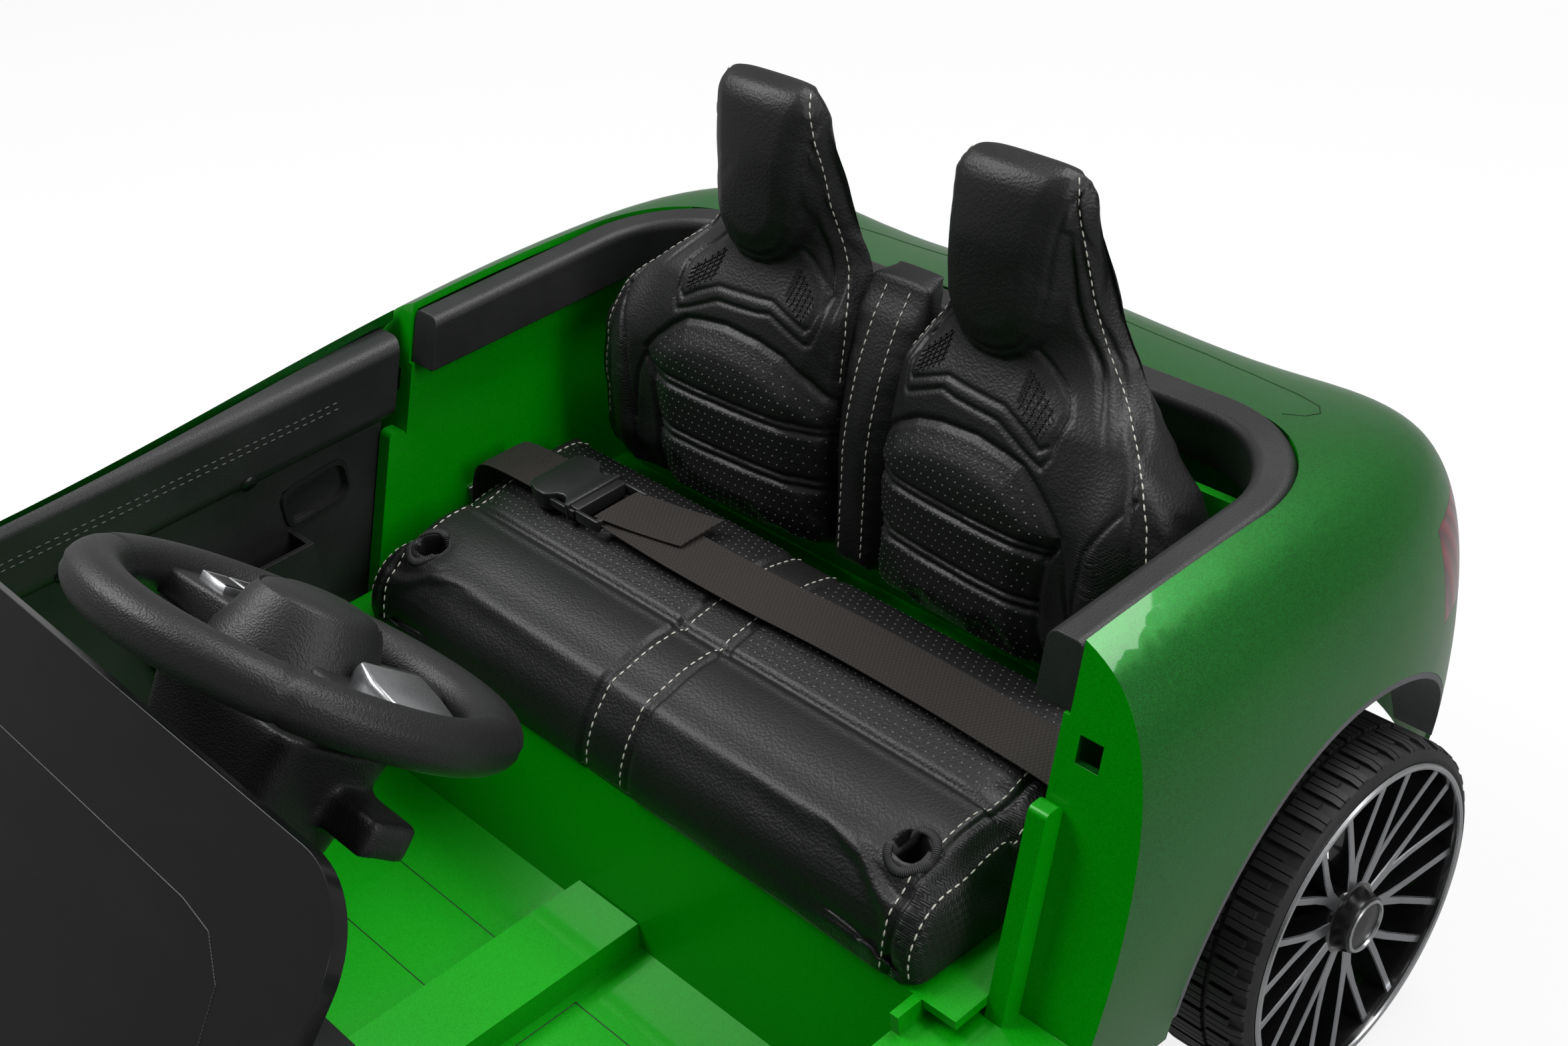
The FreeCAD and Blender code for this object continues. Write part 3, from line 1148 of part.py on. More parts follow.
def left_knuckle():
    """Yoke round the beam's eye, with the stub axle and the steering arm."""
    low, high = yoke_levels()
    web_x = KING_X + EYE_RADIUS + YOKE_CLEARANCE
    parts = []
    for level in (low, high):
        eye = vec(KING_X, FRONT_AXLE_Y, level)
        parts.append(rod(eye, eye + vec(0, 0, YOKE_THICK), EYE_RADIUS))
        parts.append(box(KING_X, web_x + YOKE_WEB, FRONT_AXLE_Y - EYE_RADIUS, FRONT_AXLE_Y + EYE_RADIUS,
                         level, level + YOKE_THICK))
    parts.append(box(web_x, web_x + YOKE_WEB, FRONT_AXLE_Y - EYE_RADIUS, FRONT_AXLE_Y + EYE_RADIUS, low,
                     high + YOKE_THICK))
    parts.append(rod(vec(web_x, FRONT_AXLE_Y, AXLE_Z), vec(AXLE_END_X, FRONT_AXLE_Y, AXLE_Z), STUB_RADIUS))
    half = ARM_WIDTH / 2
    parts.append(box(KING_X - half, KING_X + half, FRONT_AXLE_Y, TIE_Y, low, low + YOKE_THICK))
    end = vec(KING_X, TIE_Y, low)
    parts.append(rod(end, end + vec(0, 0, YOKE_THICK), half))
    parts.append(rod(end, end + vec(0, 0, YOKE_THICK + ARM_PIN_STAND), ARM_PIN_RADIUS))
    top = vec(KING_X, FRONT_AXLE_Y, high + YOKE_THICK)
    bore = rod(vec(KING_X, FRONT_AXLE_Y, low), top, KING_RADIUS + RUN_CLEARANCE)
    return join(parts).cut(bore)


def tie_rod():
    """Flat bar over the steering arms, with slotted ends and a fork for the crank's finger."""
    low = yoke_levels()[0] + YOKE_THICK + TIE_GAP
    high = low + TIE_THICK
    end = KING_X + TIE_END
    bar = box(-end, end, TIE_Y - TIE_WIDTH / 2, TIE_Y + TIE_WIDTH / 2, low, high)
    half = ARM_PIN_RADIUS + TIE_SLOT_GAP
    for side in (-1, 1):
        x = side * KING_X
        slot = [box(x - half, x + half, TIE_Y - TIE_SLOT_RUN, TIE_Y, low, high)]
        for y in (TIE_Y - TIE_SLOT_RUN, TIE_Y):
            slot.append(rod(vec(x, y, low), vec(x, y, high), half))
        bar = bar.cut(join(slot))
    parts = [bar]
    for side in (-1, 1):
        near = STEER_X + side * (FINGER_RADIUS + FORK_GAP)
        far = near + side * FORK_WALL
        parts.append(box(min(near, far), max(near, far), TIE_Y - TIE_WIDTH / 2, TIE_Y + TIE_WIDTH / 2, low,
                         high + FORK_HEIGHT))
    return join(parts)


def tyre():
    """Tyre about the X axis, from x = 0 at its inner face, with a rib between two grooves."""
    w, r, depth = TYRE_WIDTH, TYRE_RADIUS, TREAD_DEPTH
    mid, rib_half = w / 2, TREAD_RIB / 2
    groove = rib_half + TREAD_GROOVE
    points = [(0, RIM_RADIUS, 0), (0, r, TYRE_SHOULDER), (mid - groove, r, 0), (mid - groove, r - depth, 0),
              (mid - rib_half, r - depth, 0), (mid - rib_half, r, 0), (mid + rib_half, r, 0),
              (mid + rib_half, r - depth, 0), (mid + groove, r - depth, 0), (mid + groove, r, 0),
              (w, r, TYRE_SHOULDER), (w, RIM_RADIUS, 0)]
    face = Part.Face(outline([(vec(x, 0, z), radius) for x, z, radius in points]))
    return face.revolve(vec(0, 0, 0), vec(1, 0, 0), 360)


def ring_about_x(x0, x1, outer, inner):
    return rod(vec(x0, 0, 0), vec(x1, 0, 0), outer).cut(rod(vec(x0, 0, 0), vec(x1, 0, 0), inner))


def wheel_rim(bore):
    """Rim barrel, hub and paired spokes about the X axis, with a separate hub cap."""
    w = TYRE_WIDTH
    barrel = ring_about_x(RIM_SETBACK, w, RIM_RADIUS, RIM_RADIUS - RIM_WALL)
    lip = ring_about_x(w, w + RIM_LIP, RIM_RADIUS, RIM_RADIUS - RIM_WALL)
    hub_end = w - HUB_SETBACK
    hub = rod(vec(hub_end - HUB_LENGTH, 0, 0), vec(hub_end, 0, 0), HUB_RADIUS)
    parts = [barrel, lip, hub]
    spoke_end = w - SPOKE_SETBACK
    for index in range(SPOKE_PAIRS):
        for splay in (-SPOKE_SPLAY_DEG, SPOKE_SPLAY_DEG):
            spoke = box(spoke_end - SPOKE_DEPTH, spoke_end, -SPOKE_WIDTH / 2, SPOKE_WIDTH / 2,
                        HUB_RADIUS - SPOKE_WIDTH, RIM_RADIUS - RIM_WALL / 2)
            spoke.rotate(vec(0, 0, 0), vec(1, 0, 0), index * 360.0 / SPOKE_PAIRS + splay)
            parts.append(spoke)
    rim = join(parts).cut(rod(vec(-w, 0, 0), vec(w + w, 0, 0), bore))
    cap = rod(vec(hub_end, 0, 0), vec(hub_end + CAP_LENGTH, 0, 0), CAP_RADIUS)
    edges = [edge for edge in cap.Edges if edge.BoundBox.XMin > hub_end + CAP_LENGTH - SEAT_GAP]
    cap = cap.makeFillet(CAP_ROUND, edges)
    blocker = rod(vec(hub_end - SPOKE_SETBACK, 0, 0), vec(w, 0, 0), CAP_RADIUS + SEAT_GAP)
    rim = rim.cut(blocker.cut(rod(vec(-w, 0, 0), vec(hub_end, 0, 0), w)))
    return Part.makeCompound([rim, cap])


def at_corner(shape, axle_y, side):
    """Copy of a wheel piece at one corner of the car."""
    piece = shape.copy()
    if side < 0:
        piece.rotate(vec(0, 0, 0), vec(0, 0, 1), 180)
    piece.translate(vec(side * WHEEL_INNER_X, axle_y, AXLE_Z))
    return piece


def export_wheels():
    tread, rim = tyre(), wheel_rim(AXLE_RADIUS + RUN_CLEARANCE)
    for end, axle_y in (("front", FRONT_AXLE_Y), ("rear", REAR_AXLE_Y)):
        for name, side in (("left", 1), ("right", -1)):
            export(end + "_" + name + "_tyre", at_corner(tread, axle_y, side))
            export(end + "_" + name + "_rim", at_corner(rim, axle_y, side))


def rear_axle():
    return rod(vec(-AXLE_END_X, REAR_AXLE_Y, AXLE_Z), vec(AXLE_END_X, REAR_AXLE_Y, AXLE_Z), AXLE_RADIUS)


def left_gearbox():
    """Gear case on the axle with its motor beside it."""
    half = GEARBOX_LENGTH / 2
    low = AXLE_Z - GEARBOX_HEIGHT / 2
    corner = GEARBOX_ROUND
    case = across([(REAR_AXLE_Y - half, low, corner), (REAR_AXLE_Y + half, low, corner),
                   (REAR_AXLE_Y + half, low + GEARBOX_HEIGHT, corner),
                   (REAR_AXLE_Y - half, low + GEARBOX_HEIGHT, corner)],
                  GEARBOX_INNER_X, GEARBOX_OUTER_X)
    motor_y = REAR_AXLE_Y + MOTOR_OFFSET - MOTOR_RADIUS
    motor_end = vec(GEARBOX_INNER_X, motor_y, AXLE_Z)
    motor = rod(motor_end - vec(MOTOR_LENGTH, 0, 0), motor_end, MOTOR_RADIUS)
    bore = rod(vec(0, REAR_AXLE_Y, AXLE_Z), vec(BODY_WIDTH, REAR_AXLE_Y, AXLE_Z), AXLE_RADIUS)
    return join([case, motor]).cut(bore)


def battery():
    half = BATTERY_LENGTH / 2
    return box(BATTERY_X - half, BATTERY_X + half, BATTERY_Y, BATTERY_Y + BATTERY_DEPTH, FLOOR_TOP,
               FLOOR_TOP + BATTERY_HEIGHT)


def controller():
    half = CONTROLLER_LENGTH / 2
    return box(CONTROLLER_X - half, CONTROLLER_X + half, BATTERY_Y, BATTERY_Y + CONTROLLER_DEPTH, FLOOR_TOP,
               FLOOR_TOP + CONTROLLER_HEIGHT)


def accelerator_pedal():
    """Foot plate on a barrel at its heel, raised at rest."""
    half = PEDAL_WIDTH / 2
    barrel = rod(vec(-half, 0, 0), vec(half, 0, 0), PEDAL_BARREL)
    plate = box(-half, half, -PEDAL_LENGTH, 0, -PEDAL_THICK / 2, PEDAL_THICK / 2)
    bore = rod(vec(-half, 0, 0), vec(half, 0, 0), PEDAL_PIN_RADIUS + RUN_CLEARANCE)
    pedal = join([barrel, plate]).cut(bore)
    pedal.rotate(vec(0, 0, 0), vec(1, 0, 0), -PEDAL_REST_DEG)
    pedal.translate(pedal_pivot())
    return pedal


def door_profile(front, low, gap, x0, x1):
    """Side profile of a door, leaning with the jamb at its rear."""
    top = BELT_HEIGHT * 2
    rear_low, rear_top = jamb_y(low) - gap, jamb_y(top) - gap
    return across([(front, low, 0), (rear_low, low, 0), (rear_top, top, 0), (front, top, 0)], x0, x1)


def hinge_relief(z0, z1):
    """Corner of the door ahead of its axis that would swing into the front body."""
    axis_x, axis_y = hinge_axis()
    corner = box(axis_x, axis_x + OVERRUN, axis_y - OVERRUN, axis_y, z0, z1)
    return corner.cut(rod(vec(axis_x, axis_y, z0), vec(axis_x, axis_y, z1), BARREL_RADIUS))


def door_cutters():
    """Hinge pin bores and the notch for the upper lug."""
    axis_x, axis_y = hinge_axis()
    low, high = hinge_levels()
    bore = rod(vec(axis_x, axis_y, low), vec(axis_x, axis_y, high), PIN_RADIUS + RUN_CLEARANCE)
    notch = rod(vec(axis_x, axis_y, high - SEAT_GAP), vec(axis_x, axis_y, high + PIN_LENGTH + LUG_THICK),
                BARREL_RADIUS + LUG_CLEARANCE)
    ahead = box(axis_x - BARREL_RADIUS - LUG_CLEARANCE, axis_x + OVERRUN, axis_y - OVERRUN, axis_y,
                high - SEAT_GAP, high + PIN_LENGTH + LUG_THICK)
    return [bore, notch, ahead, hinge_relief(0, BELT_HEIGHT * 2)]


def left_door_skin(shell):
    """Outer door panel with its hinge barrel."""
    panel = biggest(shell.common(door_profile(DOOR_FRONT_Y, DOOR_BOTTOM, DOOR_GAP, OPENING_HALF, BODY_WIDTH)))
    axis_x, axis_y = hinge_axis()
    barrel = rod(vec(axis_x, axis_y, DOOR_BOTTOM), vec(axis_x, axis_y, BARREL_TOP), BARREL_RADIUS)
    for cutter in [hinge_relief(0, BELT_HEIGHT * 2)]:
        panel = panel.cut(cutter)
    skin = join([panel, barrel])
    for cutter in door_cutters():
        skin = skin.cut(cutter)
    return biggest(skin)


def trim_profile(grow):
    """End profile of the door trim, padded at the top. A positive grow thins it from inside."""
    low, top = SILL_TOP + DOOR_GAP + grow, TRIM_TOP - grow
    corner = TRIM_ROUND - grow
    return [(TRIM_INNER_X + grow, low, 0), (TRIM_INNER_X + grow, TRIM_PAD_LOW - corner, 0),
            (TRIM_PAD_X + grow, TRIM_PAD_LOW, corner), (TRIM_PAD_X + grow, top, corner), (BODY_WIDTH, top, 0),
            (BODY_WIDTH, low, 0)]


def left_door_trim():
    """Inner door lining with a padded top, a handle recess and a pocket."""
    lining = body_form(SHELL_WALL + SEAT_GAP)
    axis_x, axis_y = hinge_axis()
    front = axis_y + BARREL_RADIUS + LUG_CLEARANCE
    solid = endways(trim_profile(0), front, BODY_LENGTH)
    solid = solid.common(door_profile(front, SILL_TOP, TRIM_END_GAP, TRIM_PAD_X, BODY_WIDTH))
    void = endways(trim_profile(TRIM_WALL), front + TRIM_WALL, BODY_LENGTH)
    void = void.common(door_profile(front + TRIM_WALL, SILL_TOP, TRIM_END_GAP + TRIM_WALL, TRIM_PAD_X,
                                    BODY_WIDTH))
    x0 = TRIM_INNER_X - POCKET_DEPTH
    pocket = box(x0, TRIM_INNER_X + TRIM_WALL, POCKET_Y, POCKET_Y + POCKET_LENGTH,
                 POCKET_Z, POCKET_Z + POCKET_HEIGHT)
    hollow = box(x0 + TRIM_WALL, TRIM_INNER_X, POCKET_Y + TRIM_WALL, POCKET_Y + POCKET_LENGTH - TRIM_WALL,
                 POCKET_Z + TRIM_WALL, POCKET_Z + POCKET_HEIGHT)
    recess_rear = jamb_y(RECESS_Z) - TRIM_END_GAP - RECESS_END_GAP
    recess = box(TRIM_INNER_X - OVERRUN, TRIM_INNER_X + TRIM_WALL, recess_rear - RECESS_LENGTH, recess_rear,
                 RECESS_Z - RECESS_HEIGHT / 2, RECESS_Z + RECESS_HEIGHT / 2)
    trim = join([solid.cut(void), pocket]).cut(hollow).cut(recess)
    return biggest(trim.common(lining))


def left_mirror():
    """Door mirror housing on a short stalk."""
    axis_x, axis_y = hinge_axis()
    y0 = axis_y + MIRROR_ROUND
    z0 = BELT_HEIGHT
    x0 = BODY_WIDTH / 2 + MIRROR_OUT - MIRROR_ROUND
    housing = box(x0, x0 + MIRROR_LENGTH, y0, y0 + MIRROR_DEPTH, z0, z0 + MIRROR_HEIGHT)
    housing = housing.makeFillet(MIRROR_ROUND, housing.Edges)
    stalk = box(OPENING_HALF, x0 + MIRROR_ROUND, y0 + MIRROR_ROUND, y0 + MIRROR_ROUND + STALK_LENGTH / 2,
                BELT_HEIGHT - STALK_HEIGHT * 2, BELT_HEIGHT + STALK_HEIGHT * 2)
    stalk = stalk.cut(body_form(0))
    stalk = max(stalk.Solids, key=lambda solid: solid.BoundBox.ZMax)
    return join([housing, stalk])


def open_left(shape):
    """Swing a left door piece from closed to its open rest place."""
    axis_x, axis_y = hinge_axis()
    piece = shape.copy()
    piece.rotate(vec(axis_x, axis_y, 0), vec(0, 0, 1), -DOOR_OPEN_DEG)
    return piece


def export_doors(shell):
    pieces = {"door_skin": left_door_skin(shell), "door_trim": left_door_trim(), "mirror": left_mirror()}
    for name, piece in pieces.items():
        export("left_" + name, open_left(piece))
        export("right_" + name, mirrored(piece))


def export_body():
    """Write the shells, lamps, grille, wheel wells and windscreen."""
    outer_form, wall_form, lamp_form = body_form(0), body_form(SHELL_WALL), body_form(LAMP_DEPTH)
    shell = outer_form.cut(wall_form).cut(cockpit_opening())
    for cutter in all_arches():
        shell = shell.cut(cutter)
    export("front_body", front_body(shell))
    export("rear_body", rear_body(shell))
    export("cabin_tub", cabin_tub(outer_form, wall_form))
    liners = [arch_liner(FRONT_AXLE_Y, FRONT_ARCH, outer_form),
              arch_liner(REAR_AXLE_Y, REAR_ARCH, outer_form)]
    export("wheel_liners", Part.makeCompound(liners + [mirrored(liner) for liner in liners]))
    band = outer_form.cut(lamp_form)
    for name, side in (("left", 1), ("right", -1)):
        export(name + "_headlamp", biggest(band.common(headlamp_prism(side))))
        export(name + "_tail_lamp", biggest(band.common(tail_lamp_prism(side))))
    export("grille", biggest(grille(outer_form)))
    export("windscreen", windscreen(outer_form))
    export_doors(shell)


def export_seats():
    """Write the cushions, their shell and fixings, and the lap belt."""
    left = left_backrest()
    export("bench_cushion", bench_cushion())
    export("left_backrest", left)
    export("right_backrest", mirrored(left))
    export("backrest_valley", backrest_valley())
    export("seat_back_shell", seat_back_shell())
    export("seat_screws", seat_screws())
    socket_end = BUCKLE_X + BUCKLE_LENGTH / 2
    socket_start = BUCKLE_X - BUCKLE_LENGTH / 2
    insert_end = socket_end + INSERT_LENGTH
    export("long_belt", belt_strap(BENCH_HALF, insert_end))
    export("short_belt", belt_strap(-BENCH_HALF, socket_start))
    export("belt_anchors", belt_anchors())
    export("buckle_socket", buckle_block(socket_start, socket_end, BUCKLE_WIDTH, BUCKLE_THICK))
    export("buckle_insert", buckle_block(socket_end, insert_end, BUCKLE_WIDTH * INSERT_WIDTH_SHARE,
                                         BUCKLE_THICK * INSERT_THICK_SHARE))


def export_cockpit():
    """Write the rail, dash and its controls, the pedal and the steering wheel group."""
    export("cockpit_rail", cockpit_rail())
    export("dashboard", dashboard())
    export("dash_display", dash_display())
    export("power_button", power_button())
    export("drive_rocker", drive_rocker())
    export("charge_socket", charge_socket())
    export("accelerator_pedal", accelerator_pedal())
    export("steering_wheel", steering_wheel())
    upper, lower = key_places()
    export("upper_wheel_button", wheel_key(upper))
    export("lower_wheel_button", wheel_key(lower))
    export("hub_pad", hub_pad())
    export("spoke_panel", spoke_panel())
    export("column_shroud", column_shroud())


def export_running_gear():
    """Write the steering linkage, axles, wheels, drive units and electrics."""
    export("steering_shaft", steering_shaft())
    export("tie_rod", tie_rod())
    export("front_axle_beam", front_axle_beam())
    export("kingpins", kingpins())
    knuckle = left_knuckle()
    export("left_knuckle", knuckle)
    export("right_knuckle", mirrored(knuckle))
    export("rear_axle", rear_axle())
    gearbox = left_gearbox()
    export("left_gearbox", gearbox)
    export("right_gearbox", mirrored(gearbox))
    export("battery", battery())
    export("controller", controller())
    export("hinge_pins", hinge_pins())
    export_wheels()


os.makedirs("parts", exist_ok=True)
export_body()
export_seats()
export_cockpit()
export_running_gear()
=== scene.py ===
"""Looks of the electric ride-on car: finishes, sewn seats, belt, wheels, trim, light and camera."""

import logging
import math
from collections.abc import Iterator
from contextlib import contextmanager
from dataclasses import dataclass
from enum import Enum

import bmesh
import bpy
import numpy as np
from mathutils import Matrix, Vector
from mathutils.bvhtree import BVHTree


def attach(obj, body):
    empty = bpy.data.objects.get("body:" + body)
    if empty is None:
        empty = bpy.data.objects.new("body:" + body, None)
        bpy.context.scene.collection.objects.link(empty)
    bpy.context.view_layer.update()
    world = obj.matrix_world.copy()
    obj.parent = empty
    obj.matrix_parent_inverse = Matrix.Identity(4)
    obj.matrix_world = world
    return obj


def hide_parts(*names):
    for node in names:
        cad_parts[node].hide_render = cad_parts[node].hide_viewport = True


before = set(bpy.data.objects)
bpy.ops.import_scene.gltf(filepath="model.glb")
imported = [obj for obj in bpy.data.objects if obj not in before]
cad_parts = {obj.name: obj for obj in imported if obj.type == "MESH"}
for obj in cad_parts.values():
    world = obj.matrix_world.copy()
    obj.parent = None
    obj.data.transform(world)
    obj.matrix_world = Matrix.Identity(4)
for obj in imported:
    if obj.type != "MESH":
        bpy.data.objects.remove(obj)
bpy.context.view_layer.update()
MM = 0.001
log = logging.getLogger("ride_on_car")

Point = tuple[float, ...]
Line = tuple[Point, ...] | list[Point]
Faces = list[tuple[int, ...]]
Seam = tuple[list[Vector], list[Vector]]
Mesh = bpy.types.Mesh
Node = bpy.types.Node
Piece = bpy.types.Object
Socket = bpy.types.NodeSocket
Sockets = bpy.types.bpy_prop_collection
DOWN = Vector((0.0, 0.0, -1.0))
AXLES = {"front": -340.0, "rear": 460.0}


class Carrier(Enum):
    """The moving bodies that pieces ride on."""
    CHASSIS = "chassis"
    LEFT_DOOR = "left_door"
    RIGHT_DOOR = "right_door"
    STEERING = "steering"
    UPPER_KEY = "upper_key"
    LOWER_KEY = "lower_key"
    TIE_ROD = "tie_rod"
    LEFT_KNUCKLE = "left_knuckle"
    RIGHT_KNUCKLE = "right_knuckle"
    PEDAL = "pedal"
    POWER_BUTTON = "power_button"
    DRIVE_ROCKER = "drive_rocker"
    FRONT_LEFT_WHEEL = "front_left_wheel"
    FRONT_RIGHT_WHEEL = "front_right_wheel"
    REAR_LEFT_WHEEL = "rear_left_wheel"
    REAR_RIGHT_WHEEL = "rear_right_wheel"


class Side(Enum):
    """The two sides of the car, with the sign of X on each."""
    LEFT = 1
    RIGHT = -1


class Signal:
    """A node socket that takes part in Python arithmetic by adding Math nodes."""

    def __init__(self, kit: "NodeKit", socket: Socket) -> None:
        self.kit = kit
        self.socket = socket

    def math(self, operation: str, *others: object) -> "Signal":
        """Adds one Math node.

        Args:
            operation: the Math node's operation.
            others: further values, numbers or signals.

        Returns:
            The node's result.
        """
        values = dict(enumerate((self,) + others))
        node = self.kit.node("ShaderNodeMath", {"operation": operation}, values)
        return Signal(self.kit, node.outputs[0])

    def __add__(self, other: object) -> "Signal":
        """Sum."""
        return self.math("ADD", other)

    __radd__ = __add__

    def __mul__(self, other: object) -> "Signal":
        """Product."""
        return self.math("MULTIPLY", other)

    __rmul__ = __mul__

    def __sub__(self, other: object) -> "Signal":
        """Difference."""
        return self.math("SUBTRACT", other)

    def __rsub__(self, other: float) -> "Signal":
        """Difference from a number."""
        return self.math("MULTIPLY_ADD", -1.0, other)

    def __truediv__(self, other: object) -> "Signal":
        """Quotient."""
        return self.math("DIVIDE", other)

    def step(self, low: float, high: float) -> "Signal":
        """Smooth step from 0 at low to 1 at high.

        Args:
            low: the value that gives 0.
            high: the value that gives 1.

        Returns:
            The step.
        """
        settings = {"interpolation_type": "SMOOTHSTEP"}
        inputs = {"Value": self, "From Min": low, "From Max": high}
        return Signal(self.kit, self.kit.node("ShaderNodeMapRange", settings, inputs).outputs[0])


class NodeKit:
    """Adds nodes of any kind to one tree."""

    def __init__(self, tree: bpy.types.NodeTree) -> None:
        """Starts with an empty tree."""
        self.tree = tree
        tree.nodes.clear()

    def node(self, kind: str, settings: dict[str, object] | None = None,
             inputs: dict[str | int, object] | None = None) -> Node:
        """Adds a node.

        Args:
            kind: the node's type.
            settings: properties that are set first.
            inputs: values, signals, sockets or nodes by input name or number.

        Returns:
            The new node.
        """
        node = self.tree.nodes.new(kind)
        for key, value in (settings or {}).items():
            setattr(node, key, value)
        for key, value in (inputs or {}).items():
            self.feed(node.inputs[key], value)
        return node

    def feed(self, socket: Socket, value: object) -> None:
        """Links a signal, a socket or a node's first output to an input, or sets the input's value.

        Args:
            socket: the input.
            value: what it takes.
        """
        if isinstance(value, Node):
            value = value.outputs[0]
        elif isinstance(value, Signal):
            value = value.socket
        if isinstance(value, Socket):
            self.tree.links.new(value, socket)
        else:
            socket.default_value = value


class ShaderKit(NodeKit):
    """A material's tree with one Principled shader and Object coordinates."""

    def __init__(self, name: str) -> None:
        """Makes the material and its shader.

        Args:
            name: the material's name.
        """
        self.material = bpy.data.materials.new(name)
        self.material.use_nodes = True
        super().__init__(self.material.node_tree)
        self.shader = self.node("ShaderNodeBsdfPrincipled")
        self.node("ShaderNodeOutputMaterial", None, {"Surface": self.shader})
        self.place = self.node("ShaderNodeTexCoord").outputs["Object"]

    def set(self, **inputs: object) -> None:
        """Feeds the shader's inputs, with underscores for spaces."""
        for key, value in inputs.items():
            self.feed(self.shader.inputs[key.replace("_", " ")], value)

    def stretched(self, scale: Point) -> Socket:
        """Object coordinates times a scale for each axis."""
        settings = {"vector_type": "POINT"}
        return self.node("ShaderNodeMapping", settings, {"Vector": self.place, "Scale": scale}).outputs[0]

    def axes(self, vector: Socket | None = None) -> tuple[Signal, Signal, Signal]:
        """The three parts of a vector, or of the Object coordinates."""
        node = self.node("ShaderNodeSeparateXYZ", None, {0: vector or self.place})
        return tuple(Signal(self, socket) for socket in node.outputs)

    def noise(self, scale: float, detail: float = 2.0, vector: Socket | None = None) -> Signal:
        """Noise from 0 to 1 at a scale per metre."""
        inputs = {"Vector": vector or self.place, "Scale": scale, "Detail": detail}
        return Signal(self, self.node("ShaderNodeTexNoise", None, inputs).outputs[0])

    def cells(self, scale: float, feature: str = "F1", out: str = "Distance") -> Signal:
        """Voronoi cells at a scale per metre.

        Args:
            scale: cells per metre.
            feature: the Voronoi feature.
            out: the output that is used.

        Returns:
            The cells as a value.
        """
        inputs = {"Vector": self.place, "Scale": scale}
        node = self.node("ShaderNodeTexVoronoi", {"feature": feature}, inputs)
        return Signal(self, node.outputs[out])

    def mix(self, factor: object, first: object, second: object) -> Socket:
        """A colour between two, given as four numbers or sockets."""
        node = self.node("ShaderNodeMix", {"data_type": "RGBA"}, {0: factor, 6: first, 7: second})
        return node.outputs[2]

    def attribute(self, name: str) -> Signal:
        """A mesh attribute as a value."""
        node = self.node("ShaderNodeAttribute", {"attribute_name": name})
        return Signal(self, node.outputs["Fac"])

    def bump(self, height: Signal, distance: float, strength: float = 1.0) -> None:
        """Feeds the shader's normal with a bump of a height in metres."""
        inputs = {"Height": height, "Distance": distance, "Strength": strength}
        self.set(Normal=self.node("ShaderNodeBump", None, inputs))


def mirrored(half: Line) -> Line:
    """A line across the middle, from its half that starts there."""
    return tuple((-x, y) for x, y in reversed(half)) + tuple(half[1:])


def tone(red: float, green: float, blue: float) -> tuple[float, float, float, float]:
    """A colour with full alpha."""
    return (red, green, blue, 1.0)


@dataclass(frozen=True)
class Finish:
    """A named finish of one record slot. Each kind writes its own nodes."""
    name: str
    slot: str

    def write(self, kit: ShaderKit) -> None:
        """Writes the finish's nodes into a kit."""
        raise NotImplementedError

    def material(self) -> bpy.types.Material:
        """The finish's material, made on first use.

        Returns:
            The material.
        """
        known = bpy.data.materials.get(self.name)
        if known is None:
            kit = ShaderKit(self.name)
            self.write(kit)
            known = kit.material
        return known


@dataclass(frozen=True)
class Paint(Finish):
    """Metallic paint with flakes under a clear coat."""
    deep: Point = tone(0.0, 0.085, 0.004)
    bright: Point = tone(0.0, 0.190, 0.010)
    metallic: float = 0.55
    roughness: float = 0.34
    coat: float = 0.5
    shine: float = 0.5
    flake: float = 2600.0

    def write(self, kit: ShaderKit) -> None:
        """Flakes vary the colour and gloss, with orange peel in the bump.
        """
        flake = kit.cells(self.flake, "F1", "Color")
        cloud = kit.noise(6.0, 3.0)
        shade = flake * 0.75 + cloud * 0.25
        kit.set(Base_Color=kit.mix(shade.step(0.15, 0.85), self.deep, self.bright))
        kit.set(Metallic=self.metallic, Roughness=flake * 0.10 + (self.roughness - 0.05))
        kit.set(Coat_Weight=self.coat, Coat_Roughness=0.035, Specular_IOR_Level=self.shine)
        kit.bump(kit.noise(260.0, 1.0), 0.00005, 0.5)


@dataclass(frozen=True)
class Leather(Finish):
    """Black pebbled leatherette, with a woven emboss where the mesh says so."""
    colour: Point = tone(0.0070, 0.0070, 0.0076)
    worn: Point = tone(0.0125, 0.0125, 0.0131)
    pebble: float = 620.0
    weave: float = 0.0042

    def write(self, kit: ShaderKit) -> None:
        """Pebbles from warped cells, twill from crossed ribs.
        """
        grain = kit.cells(self.pebble, "SMOOTH_F1").step(0.05, 0.75)
        fine = kit.noise(2600.0, 2.0)
        broad = kit.noise(9.0, 3.0)
        along, up = kit.axes()[1:]
        slant = (along + up) * (math.tau / self.weave)
        counter = (along - up) * (math.tau / self.weave)
        ribs = slant.math("SINE").math("ABSOLUTE")
        crossed = counter.math("SINE").math("ABSOLUTE")
        chosen = ((slant * 0.5).math("SINE") * (counter * 0.5).math("SINE")).step(-0.05, 0.05)
        twill = ribs * chosen + crossed * (1 - chosen)
        carbon = kit.attribute("carbon")
        pebbled = (1 - grain) * 0.8 + fine * 0.2
        height = pebbled * (1 - carbon) + twill * carbon * 1.6
        kit.set(Base_Color=kit.mix(broad.step(0.35, 0.75) * 0.5 + grain * 0.2, self.colour, self.worn))
        kit.set(Roughness=broad * 0.10 + grain * 0.06 + 0.36, Specular_IOR_Level=0.38)
        kit.bump(height, 0.00022, 0.75)


